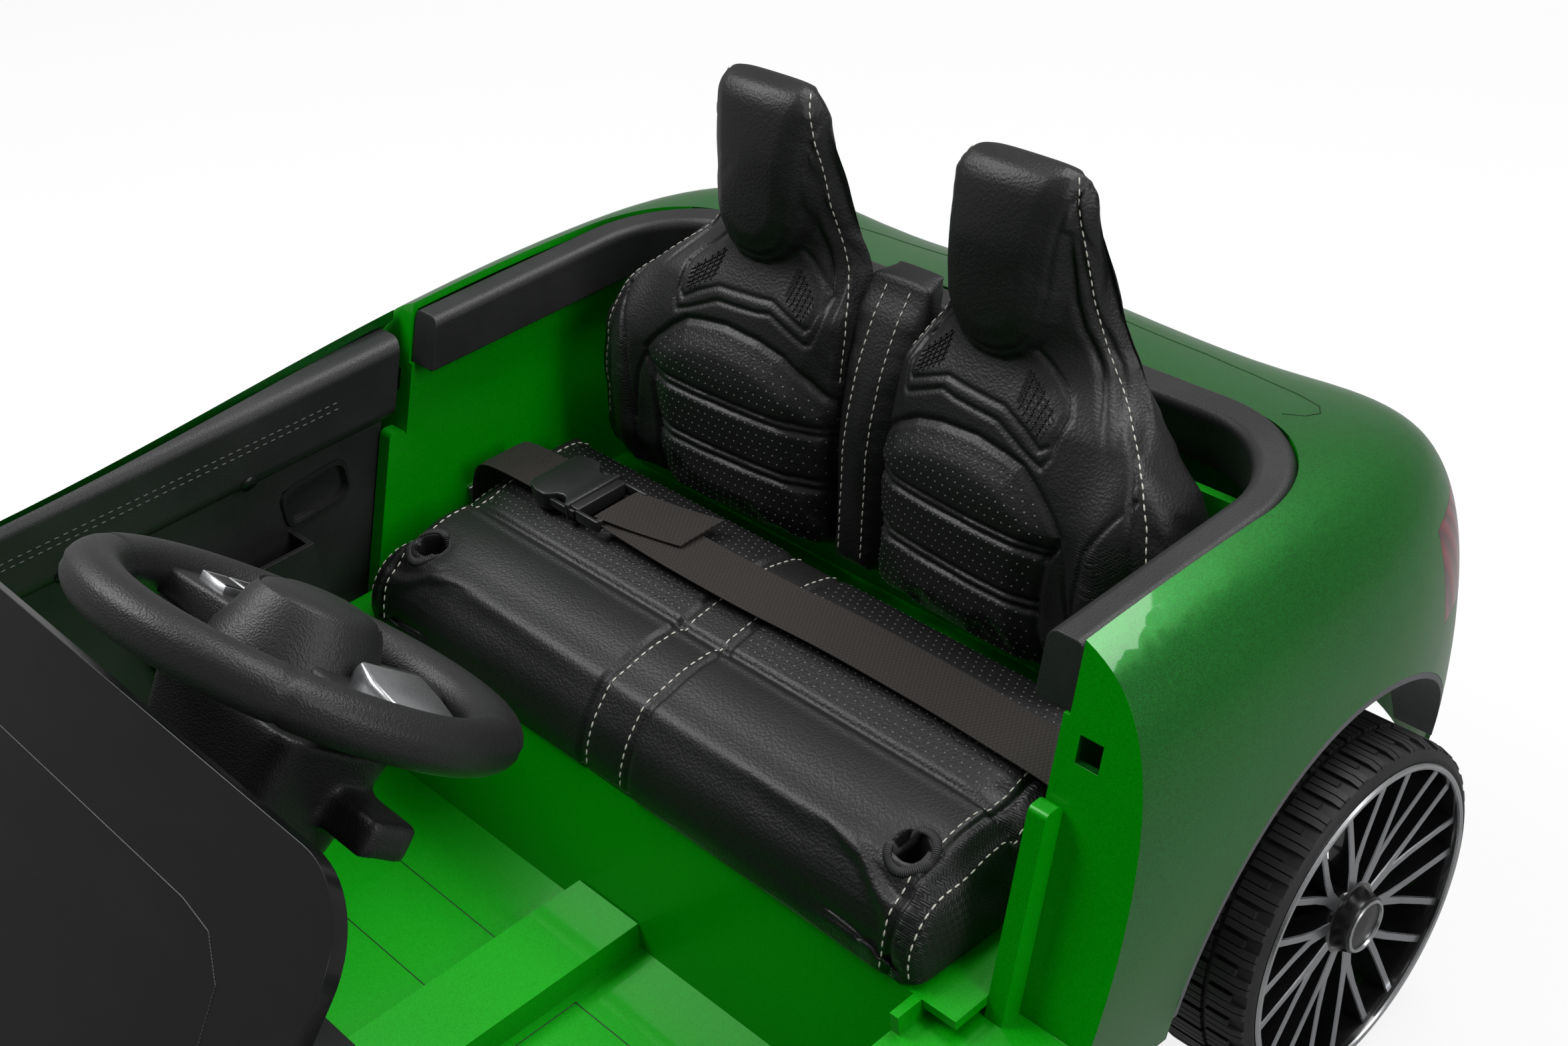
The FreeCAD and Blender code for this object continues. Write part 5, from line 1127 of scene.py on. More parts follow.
    @staticmethod
    def cast(tree: BVHTree, points: list[Vector], way: Vector) -> Seam:
        """Where rays from points meet a surface.

        Args:
            tree: the surface.
            points: starts of the rays, in metres.
            way: their direction.

        Returns:
            The places that were met, and the normals there.
        """
        places, normals = [], []
        for point in points:
            place, normal = tree.ray_cast(point, way)[:2]
            if place is not None:
                places.append(place)
                normals.append(normal)
        return places, normals


@dataclass
class SeatBack:
    """One bucket backrest, drawn in its own plane: u outwards from its centre, h up the back."""
    side: Side
    growth: Growth
    centre: float = 105.0
    foot: Point = (453.5, 212.0)
    tilt: Point = (0.9613, 0.2756)
    pad_shift: float = -4.5
    pad_drop: float = 9.0
    shell: float = 11.5
    thin: float = 24.0
    voxel: float = 5.0
    cap: float = 3.5
    pad: Line = mirrored((
        (0.0, 184.0), (11.0, 185.0), (22.0, 190.0), (31.0, 200.0), (35.0, 210.0), (37.5, 225.0), (38.0, 245.0),
        (40.0, 265.0), (44.0, 285.0), (49.0, 300.0), (56.0, 330.0)))
    head_seam: Line = (
        (37.0, 296.0), (39.5, 283.0), (43.0, 268.0), (47.0, 255.0), (51.0, 240.0), (55.0, 225.0), (60.0, 212.0),
        (66.0, 199.0))
    outer_seam: Line = (
        (74.0, 187.0), (88.0, 170.0), (100.0, 152.0), (108.0, 138.0), (116.0, 118.0), (122.0, 90.0), (124.0, 60.0),
        (124.0, 30.0))
    inner_seam: Line = ((-71.0, 187.0), (-76.0, 170.0), (-79.0, 150.0), (-80.0, 120.0))
    grooves: tuple[Line, ...] = (
        ((40.0, 284.0), (41.5, 270.0), (43.5, 255.0), (46.0, 240.0), (49.0, 225.0), (53.0, 211.0), (60.0, 197.0),
         (68.0, 184.0), (82.0, 166.0), (93.0, 149.0), (99.0, 138.0)),
        ((39.0, 262.0), (39.5, 250.0), (40.5, 236.0), (42.5, 222.0), (46.5, 208.0), (53.5, 194.0), (62.0, 180.0),
         (75.0, 162.0), (86.0, 146.0)),
        ((-40.0, 284.0), (-41.5, 270.0), (-43.5, 255.0), (-46.0, 240.0), (-49.0, 225.0), (-53.0, 211.0),
         (-59.0, 197.0), (-64.0, 184.0), (-69.0, 166.0), (-72.0, 148.0)),
        ((-39.0, 262.0), (-39.5, 250.0), (-40.5, 236.0), (-42.5, 222.0), (-46.5, 208.0), (-52.0, 194.0),
         (-58.0, 180.0), (-63.0, 162.0)))
    chevron: Line = (
        (-40.0, 194.0), (-64.0, 170.0), (-66.0, 154.0), (-63.0, 140.0), (-59.0, 139.0), (-30.0, 151.0),
        (-19.0, 149.0), (16.0, 147.0), (42.0, 135.0), (53.0, 131.0), (57.0, 138.0), (57.0, 163.0), (52.0, 170.0),
        (25.0, 191.0))
    inner_chevron: Line = (
        (-63.0, 169.0), (-61.0, 151.0), (-58.0, 148.0), (-29.0, 159.0), (-15.0, 158.0), (18.0, 156.0),
        (36.0, 148.0), (49.0, 140.0), (55.0, 144.0), (59.0, 160.0))
    vents: tuple[Line, ...] = (
        ((-57.0, 166.0), (-38.0, 184.0), (-37.0, 164.0), (-56.0, 152.0)),
        ((24.0, 180.0), (50.0, 160.0), (47.0, 146.0), (25.0, 160.0)))
    arch: Line = (
        (-88.0, 6.0), (-89.0, 40.0), (-89.0, 75.0), (-86.0, 102.0), (-65.0, 117.0), (-46.0, 127.0), (-25.0, 132.0),
        (4.0, 134.0), (27.0, 131.0), (41.0, 128.0), (54.0, 119.0), (68.0, 107.0), (77.0, 97.0), (68.0, 80.0),
        (64.0, 55.0), (64.0, 35.0), (69.0, 6.0))
    channels: Point = (87.0, 82.0, 50.0, 44.0)
    ahead: float = 140.0
    bolster: float = 104.0
    lean_most: Point = (14.0, 12.0)
    stitch_off: float = 3.2
    leaf: Line = ((67.0, 79.0), (77.0, 92.0), (83.0, 78.0), (89.0, 42.0), (90.0, 10.0))
    stem: Line = ((89.0, 42.0), (96.0, 96.0), (113.0, 130.0))

    def flat(self, places: np.ndarray) -> tuple[np.ndarray, np.ndarray, np.ndarray]:
        """Seat coordinates of world places, all in millimetres.

        Args:
            places: rows of x, y and z.

        Returns:
            u, the depth in front of the shell, and h.
        """
        forward, up = self.tilt
        run, rise = places[:, 1] - self.foot[0], places[:, 2] - self.foot[1]
        u = places[:, 0] * self.side.value - self.centre
        return u, -run * forward + rise * up, run * up + rise * forward

    def world(self, u: float, d: float, h: float) -> Vector:
        """World place, in metres, of seat coordinates.

        Args:
            u: outwards from the seat's centre.
            d: in front of the shell.
            h: up the back.

        Returns:
            The place.
        """
        forward, up = self.tilt
        y = self.foot[0] - forward * d + up * h
        return Vector((self.side.value * (self.centre + u), y, self.foot[1] + up * d + forward * h)) * MM

    def seams(self) -> list[Line]:
        """The two stitched seams, from the head's top down each side."""
        inner_head = tuple((-u, h) for u, h in self.head_seam)
        return [self.head_seam + self.outer_seam, inner_head + self.inner_seam]

    def front(self) -> Vector:
        """The way that the backrest faces."""
        return Vector((0.0, -self.tilt[0], self.tilt[1]))

    def lean(self, h: np.ndarray) -> np.ndarray:
        """How far the stuffed cover leans forward at a height, in millimetres."""
        low, high = self.lean_most
        return low * Cushioning.ease(h, 0.0, 110.0) + high * Cushioning.ease(h, 180.0, 300.0)

    def relief(self, u: np.ndarray, h: np.ndarray) -> np.ndarray:
        """How far the sewn cover stands forward of the swollen form, in millimetres.

        Args:
            u: outwards from the seat's centre.
            h: up the back.

        Returns:
            The relief at each point.
        """
        soft = Cushioning
        points = np.stack([u, h], axis=1)
        shifted = points - np.array([self.pad_shift, 0.0])
        edge = soft.away(shifted, self.pad)
        in_pad = soft.within(shifted, self.pad)
        outside = np.where(in_pad, 0.0, edge)
        level = soft.ease(h, 150.0, 200.0) * (1.0 - 0.65 * soft.ease(h, 235.0, 280.0))
        relief = -(self.pad_drop * soft.ease(outside, 0.0, 6.0) + 0.3 * outside) * level
        relief += np.where(in_pad, 4.0 * soft.ease(edge, 0.0, 16.0), 0.0)
        relief -= 2.8 * soft.crease(edge, 2.0)
        for line in self.grooves:
            fade = np.where(in_pad, 0.0, 2.4) * soft.ease(h, 140.0, 182.0)
            relief -= fade * soft.crease(soft.away(points, line), 1.8)
        for line in self.seams():
            relief -= np.where(in_pad, 0.0, 1.8) * soft.crease(soft.away(points, line), 1.7)
        for line, depth in ((self.chevron, 1.5), (self.inner_chevron, 1.3)):
            relief -= depth * soft.crease(soft.away(points, line), 1.7)
        for vent in self.vents:
            relief -= np.where(soft.within(points, vent), 1.0 * soft.ease(soft.away(points, vent + vent[:1]), 0, 2), 0)
        rim = soft.away(points, self.arch)
        in_arch = soft.within(points, self.arch)
        relief += np.where(in_arch, 5.0 * soft.ease(rim, 0.0, 22.0), 0.0)
        relief -= 2.6 * soft.crease(rim, 2.4)
        for channel in self.channels:
            relief -= np.where(in_arch, 2.8, 0.0) * soft.crease(h - channel, 2.1)
        for line in (self.leaf, self.stem):
            relief -= 1.6 * soft.crease(soft.away(points, line), 1.8)
        roll = soft.crease(u - self.bolster, 17.0) * (1.0 - soft.ease(h, 105.0, 160.0))
        return relief + 7.0 * roll

    def grid(self, vent: Line) -> list[Line]:
        """The raised lines of one vent, five each way.

        Args:
            vent: its four corners.

        Returns:
            The lines, in seat coordinates.
        """
        a, b, c, d = [Vector(p) for p in vent]
        lines = []
        for share in (0.12, 0.31, 0.5, 0.69, 0.88):
            lines.append([tuple(a.lerp(b, share)), tuple(d.lerp(c, share))])
            lines.append([tuple(a.lerp(d, share)), tuple(b.lerp(c, share))])
        return lines

    def build(self) -> list[Piece]:
        """The sewn backrest with its seams, pricks, vents and stitches.

        Returns:
            The pieces.
        """
        name = self.side.name.lower()
        node = name + "_backrest"
        piece = Cushioning.swollen(node + "_sewn", node, -self.front(), self.voxel, self.cap, 2, self.shell)
        places, normals = Cushioning.places(piece.data), Cushioning.normals(piece.data)
        u, d, h = self.flat(places)
        ease = Cushioning.ease
        weight = np.maximum(ease(normals @ np.array(self.front()), 0.05, 0.55), ease(d, -9.0, 24.0))
        thinned = self.thin * ease(h, 165.0, 300.0) * (1.0 - ease(d, -self.shell, 32.0))
        moved = self.relief(u, h) * weight + thinned + self.lean(h)
        Cushioning.put(piece.data, places + moved[:, None] * np.array(self.front()))
        Cushioning.mark(piece.data, "carbon", ease(u, 88.0, 92.0) * (1.0 - ease(h, 96.0, 112.0)))
        Forge.hand_over(piece, Carrier.CHASSIS, Finishes.LEATHER, node, "seat_back_shell")
        return [piece] + self.sewing(piece, name)

    def sewing(self, piece: Piece, name: str) -> list[Piece]:
        """Stitches, pricks and vent lines on the finished backrest.

        Args:
            piece: the finished backrest.
            name: the side's name.

        Returns:
            The pieces.
        """
        tree = Cushioning.tree(piece.data)
        back = -self.front()
        seams = []
        for line in self.seams():
            lean = math.copysign(0.6, line[0][0])
            way = (self.world(-lean, -1.0, 0.0) - self.world(0.0, 0.0, 0.0)).normalized()
            offset = [(u + math.copysign(self.stitch_off, u), h) for u, h in line]
            starts = [self.world(u, 32.0 + self.lean(h), h) - way * 0.12 for u, h in Cushioning.even(offset, 4.0)]
            seams.append(Cushioning.cast(tree, starts, way))
        thread = self.growth.sew(name + "_back_stitches", seams, Finishes.THREAD)
        flat = np.array([(column * 6.4 + (row % 2) * 3.2 - 5.0, 8.0 + row * 5.4)
                         for row in range(24) for column in range(-18, 19)])
        keep = Cushioning.within(flat, self.arch) & (Cushioning.away(flat, self.arch) > 5.0)
        for channel in self.channels:
            keep &= abs(flat[:, 1] - channel) > 3.4
        starts = [self.world(u, self.ahead, h) for u, h in flat[keep]]
        dots, ups = Cushioning.cast(tree, starts, back)
        pricks = self.growth.stud(name + "_back_pricks", dots, ups, Finishes.PRICK, 0.62, 0.25)
        rods = []
        for vent in self.vents:
            for line in self.grid(vent):
                starts = [self.world(u, self.ahead, h) for u, h in Cushioning.even(line, 2.0)]
                rods.append(Cushioning.cast(tree, starts, back))
        lattice = self.growth.sew(name + "_back_vents", rods, Finishes.LEATHER, 1.5, (2.2, 1.2, 1.3))
        for part in (thread, pricks, lattice):
            Forge.hand_over(part, Carrier.CHASSIS, Finishes.LEATHER)
        return [thread, pricks, lattice]


@dataclass
class Bench:
    """The bench cushion: smooth front roll, pricked rear panel, middle stripe and woven side gussets."""
    growth: Growth
    front: float = 203.0
    rear: float = 401.0
    seam: float = 294.0
    stripe: float = 22.0
    gusset: float = 239.0
    grommet: Point = (224.0, 245.0)
    grommet_radius: float = 10.0
    voxel: float = 6.0
    cap: float = 4.5
    above: float = 320.0

    def build(self) -> list[Piece]:
        """The sewn bench and what is on it.

        Returns:
            The pieces.
        """
        piece = Cushioning.swollen("bench_sewn", "bench_cushion", DOWN, self.voxel, self.cap, 2)
        self.pressed(piece)
        places, normals = Cushioning.places(piece.data), Cushioning.normals(piece.data)
        x, y = places.T[:2]
        ease, crease = Cushioning.ease, Cushioning.crease
        upper, top = ease(normals[:, 2], -0.2, 0.45), ease(normals[:, 2], 0.2, 0.6)
        facing = upper + ease(-normals[:, 1], 0.3, 0.8) * (1 - upper)
        relief = -3.4 * crease(y - self.seam, 2.6) * top
        relief += 1.2 * crease(y - self.seam + 6.0, 3.0) * top
        relief -= 2.2 * crease(abs(x) - self.stripe, 2.0)
        relief -= 1.2 * (1.0 - ease(abs(x), self.stripe - 3.0, self.stripe))
        relief -= 2.2 * crease(abs(x) - self.gusset, 2.0)
        relief -= 0.8 * crease(self.reach(x, y) - self.grommet_radius - 6.0, 6.0) * top
        Cushioning.put(piece.data, places + normals * (relief * facing)[:, None])
        Cushioning.mark(piece.data, "carbon", ease(abs(x), self.gusset, self.gusset + 2.0))
        Forge.hand_over(piece, Carrier.CHASSIS, Finishes.LEATHER, "bench_cushion")
        return [piece] + self.sewing(piece)

    def pressed(self, piece: Piece) -> None:
        """Brings the cover round each grommet hole level with what lies around it.

        Args:
            piece: the swollen bench.
        """
        places, normals = Cushioning.places(piece.data), Cushioning.normals(piece.data)
        x, y, z = places.T
        ease = Cushioning.ease
        base = (abs(x) > 100.0) & (abs(x) < 165.0) & (normals[:, 2] > 0.3)
        slot = np.digitize(y, np.arange(self.front, self.rear, 5.0))
        kept = [base & (slot == i) for i in np.unique(slot[base])]
        level = np.interp(y, [y[rows].mean() for rows in kept], [z[rows].mean() for rows in kept])
        share = ease(normals[:, 2], 0.15, 0.45) * (1.0 - ease(self.reach(x, y), 42.0, 66.0))
        share *= 1.0 - ease(abs(x), 236.0, 250.0)
        places[:, 2] += share * np.clip(level - z, 0.0, 16.0)
        Cushioning.put(piece.data, places)

    def sewing(self, piece: Piece) -> list[Piece]:
        """Stitch rows, pricks and grommets of the bench.

        Args:
            piece: the finished bench.

        Returns:
            The pieces.
        """
        tree = Cushioning.tree(piece.data)
        rows = (-16.0, 16.0, self.gusset - 4.5, -self.gusset + 4.5, self.gusset + 13.0, -self.gusset - 13.0)
        thread = self.growth.sew("bench_stitches", [self.profile(tree, x) for x in rows], Finishes.THREAD)
        starts = []
        for row in range(18):
            for column in range(-38, 39):
                x, y = column * 6.4 + (row % 2) * 3.2, self.seam + 9.0 + row * 5.5
                if self.stripe + 4.0 < abs(x) < self.gusset - 6.0 and y < self.rear - 6.0:
                    starts.append(Vector((x, y, self.above)) * MM)
        dots, ups = Cushioning.cast(tree, starts, DOWN)
        pricks = self.growth.stud("bench_pricks", dots, ups, Finishes.PRICK, 0.62, 0.25)
        pieces = [thread, pricks] + [self.ring(tree, side) for side in Side]
        for part in pieces:
            Forge.hand_over(part, Carrier.CHASSIS, Finishes.LEATHER)
        return pieces

    def reach(self, x: np.ndarray, y: np.ndarray) -> np.ndarray:
        """Distance of places from the nearer grommet's middle."""
        return np.hypot(abs(x) - self.grommet[0], y - self.grommet[1])

    def profile(self, tree: BVHTree, x: float) -> Seam:
        """A line over the bench at one x, from its front foot to its rear edge.

        Args:
            tree: the surface that it lies on.
            x: where it lies, in millimetres.

        Returns:
            Places along it, and the normals there.
        """
        middle = Vector((x, self.front + 62.0, 190.0)) * MM
        places, normals = [], []
        for step in range(61):
            angle = math.radians(183.0 - step * 2.0)
            way = Vector((0.0, math.cos(angle), math.sin(angle)))
            place, normal = tree.ray_cast(middle + way * 0.3, -way)[:2]
            if place is not None and place.y < middle.y and self.reach(x, place.y / MM) > self.grommet_radius + 7.0:
                places.append(place)
                normals.append(normal)
        starts = [Vector((x, y, self.above)) * MM for y in np.arange(self.front + 64.0, self.rear - 4.0, 4.0)]
        more, ups = Cushioning.cast(tree, starts, DOWN)
        return places + more, normals + ups

    def ring(self, tree: BVHTree, side: Side) -> Piece:
        """An embroidered eyelet ring round one grommet hole.

        Args:
            tree: the surface that it lies on.
            side: the side of the car.

        Returns:
            The piece.
        """
        cx, cy = side.value * self.grommet[0], self.grommet[1]
        radius = self.grommet_radius + 3.4
        turns = [math.tau * step / 40 for step in range(41)]
        loop = [Vector((cx + radius * math.cos(a), cy + radius * math.sin(a), self.above)) * MM for a in turns]
        line = Cushioning.cast(tree, loop, DOWN)
        return self.growth.sew("eyelet_" + side.name.lower(), [line], Finishes.DARK_THREAD, 1.15, (1.5, 6.4, 2.2))


@dataclass
class Valley:
    """The strip sewn between the two backrests."""
    growth: Growth
    row: float = 10.0
    sink: float = 9.0
    spread: float = 0.65
    voxel: float = 4.0
    cap: float = 2.0

    def build(self) -> list[Piece]:
        """The strip and its two stitch rows.

        Returns:
            The pieces.
        """
        back = SeatBack(Side.LEFT, self.growth)
        piece = Cushioning.swollen("valley_sewn", "backrest_valley", -back.front(), self.voxel, self.cap, 1,
                                   back.shell)
        places = Cushioning.places(piece.data)
        u, d, h = back.flat(places)
        ease = Cushioning.ease
        shift = back.lean(h) - self.sink * ease(d, 4.0, 32.0) * (1.0 + 0.8 * ease(h, 165.0, 205.0))
        sunk = places + np.array(back.front()) * shift[:, None]
        sunk[:, 0] *= 1.0 + self.spread * (1.0 - ease(d, 24.0, 46.0))
        Cushioning.put(piece.data, sunk)
        Forge.modified(piece, "SMOOTH", iterations=14)
        Forge.hand_over(piece, Carrier.CHASSIS, Finishes.LEATHER, "backrest_valley", "seat_back_shell")
        tree = Cushioning.tree(piece.data)
        heights = np.arange(12.0, 186.0, 4.0)
        rows = [Cushioning.cast(tree, [back.world(u - back.centre, back.ahead, h) for h in heights], -back.front())
                for u in (-self.row, self.row)]
        thread = self.growth.sew("valley_stitches", rows, Finishes.THREAD)
        Forge.hand_over(thread, Carrier.CHASSIS, Finishes.LEATHER)
        return [piece, thread]


@dataclass
class RoadWheel:
    """One wheel: moulded tyre with sipped blocks, dished rim, forked spokes and a plain cap."""
    end: str
    side: Side
    growth: Growth
    axle_y: float
    inner: float = 296.0
    radius: float = 112.0
    rim: float = 101.0
    tread: float = 2.6
    pitches: int = 40
    slot: float = 0.285
    block: float = 0.24
    spokes: int = 10
    hub: float = 24.0
    cap: float = 19.0
    segments: int = 96
    crease: float = 30.0

    def out(self, x: float, r: float, turn: float) -> Point:
        """Place of a point at x from the inner face, about the axle, before the wheel is moved to its corner."""
        return (self.side.value * (self.inner + x), r * math.sin(turn), r * math.cos(turn))

    def centre(self) -> Vector:
        """The middle of the axle at this corner, in metres."""
        return Vector((0.0, self.axle_y, self.radius)) * MM

    def revolved(self, name: str, profile: Line, finish: Finishes) -> Piece:
        """A closed profile of x and radius turned about the axle, at the wheel's corner.

        Args:
            name: the piece's name.
            profile: its points in millimetres.
            finish: its finish.

        Returns:
            The piece.
        """
        turns = [math.tau * step / self.segments for step in range(self.segments)]
        sections = [[self.out(x, r, turn) for x, r in profile] for turn in turns]
        piece = Forge.solid(name, Forge.loft(sections, around=True), self.crease, finish)
        piece.data.transform(Matrix.Translation(self.centre()))
        return piece

    def ringed(self, name: str, shape: tuple[Line, Faces], count: int, finish: Finishes) -> Piece:
        """Copies of a shape about the axle, at the wheel's corner.

        Args:
            name: the piece's name.
            shape: points in millimetres and faces of one copy.
            count: how many copies.
            finish: its finish.

        Returns:
            The piece.
        """
        mesh = Forge.mesh(name, *shape)
        Forge.outward(mesh)
        piece = self.growth.grow(name, mesh, self.growth.ring, finish, Count=count, Centre=self.centre())
        Forge.smooth(piece.data, self.crease)
        return piece

    def pitch(self) -> tuple[Line, Faces]:
        """One pitch of the tread: three sipped ribs on each side of the seam and a notched shoulder.

        Returns:
            Its points in millimetres and its faces.
        """
        r, base = self.radius, self.radius - self.tread
        inner_row = [(1.2, base - 5.0), (3.2, base + 0.6), (8.0, r - 0.2), (40.0, r), (40.4, base - 1.0),
                     (8.0, base - 1.0)]
        outer_row = [(43.0, base - 1.0), (43.4, r), (61.0, r - 0.2), (66.6, base + 0.6), (68.8, base - 5.0),
                     (61.0, base - 1.0)]
        notch_row = [(43.0, base - 1.0), (43.4, r), (58.0, r), (58.4, base - 1.0)]
        pitch = math.tau / self.pitches
        points, faces = [], []
        for row, shift, slots in ((inner_row, 0.0, (0, 1, 2)), (outer_row, 0.35, (0, 1)), (notch_row, 0.35, (2,))):
            for slot in slots:
                start = (slot * self.slot + shift) * pitch
                ends = [[self.out(x, high, turn) for x, high in row] for turn in (start, start + self.block * pitch)]
                more, sides = Forge.loft(ends, caps=(0, -1))
                faces += [tuple(i + len(points) for i in face) for face in sides]
                points += more
        return points, faces

    def leg(self, lean: float, grow: float, lift: float, depth: float) -> tuple[Line, Faces]:
        """One leg of a forked spoke.

        Args:
            lean: -1 or 1 for the side that it leans to.
            grow: what is added to its half width in millimetres.
            lift: what is added to its face's x.
            depth: its thickness.

        Returns:
            Its points and faces.
        """
        out = self.rim - 3.5
        stations = ((self.hub - 2.0, 2.5, 3.0, 60.5), (self.hub + 16.0, 2.8, 2.7, 61.0),
                    (self.hub + 34.0, 6.2, 2.4, 62.5), (out - 14.0, 9.4, 2.3, 65.0), (out, 10.6, 2.5, 66.5))
        sections = []
        for r, angle, width, x in stations:
            turn, half, face = math.radians(lean * angle), width + grow, x + lift
            corners = ((-half, face - depth), (-half * 0.86, face), (half * 0.86, face), (half, face - depth))
            sections.append([self.out(x, r, turn + offset / r) for offset, x in corners])
        return Forge.loft(sections, caps=(0, -1))

    def build(self) -> list[Piece]:
        """The wheel's tyre, tread, rim, spokes, their faces and the cap.

        Returns:
            The pieces.
        """
        tag = f"{self.end}_{self.side.name}".lower()
        base, rim, hub, cap = self.radius - self.tread, self.rim, self.hub, self.cap
        rubber = [
            self.revolved(tag + "_tyre_carcass", [
                (1.0, rim), (0.2, rim + 3.0), (0.6, base - 4.0), (3.0, base - 0.8), (8.0, base), (62.0, base),
                (67.0, base - 0.8), (69.4, base - 4.0), (69.8, rim + 3.0), (69.0, rim), (35.0, rim - 0.6)],
                Finishes.TYRE),
            self.ringed(tag + "_tread", self.pitch(), self.pitches, Finishes.TYRE)]
        hard = [
            self.revolved(tag + "_rim_barrel", [
                (4.0, rim - 0.8), (4.0, rim - 5.0), (50.0, rim - 6.0), (64.0, rim - 4.6), (69.5, rim - 3.4),
                (69.5, rim - 0.8)], Finishes.RIM),
            self.revolved(tag + "_rim_flange", [
                (69.0, rim - 3.4), (70.8, rim - 3.0), (71.6, rim - 1.6), (71.2, rim - 0.2), (69.6, rim + 0.6),
                (69.0, rim - 0.6)], Finishes.SILVER),
            self.revolved(tag + "_hub_ring", [
                (4.0, 5.6), (4.0, hub), (58.0, hub), (61.0, hub - 1.2), (61.6, hub - 3.0), (58.0, 5.6)], Finishes.RIM)]
        for lean, leg in ((-1.0, "a"), (1.0, "b")):
            blade, face = self.leg(lean, 0.7, 0.0, 13.0), self.leg(lean, 0.0, 0.7, 0.7)
            hard += [self.ringed(f"{tag}_spokes_{leg}", blade, self.spokes, Finishes.RIM),
                     self.ringed(f"{tag}_spoke_faces_{leg}", face, self.spokes, Finishes.RIM_FACE)]
        hard += [
            self.revolved(tag + "_cap", [
                (60.0, 0.05), (60.0, cap), (67.0, cap), (70.6, cap - 1.0), (72.0, cap - 2.6), (71.0, cap - 4.2),
                (71.2, cap - 8.0), (72.0, 0.05)], Finishes.GLOSS),
            self.revolved(tag + "_cap_ring", [
                (71.2, cap - 4.4), (72.6, cap - 4.0), (72.9, cap - 3.0), (72.2, cap - 2.2), (71.2, cap - 2.4)],
                Finishes.SILVER)]
        carrier = Carrier[f"{tag}_wheel".upper()]
        for pieces, finish, node in ((rubber, Finishes.TYRE, "_tyre"), (hard, Finishes.RIM, "_rim")):
            for piece in pieces:
                Forge.hand_over(piece, carrier, finish, tag + node)
        return rubber + hard


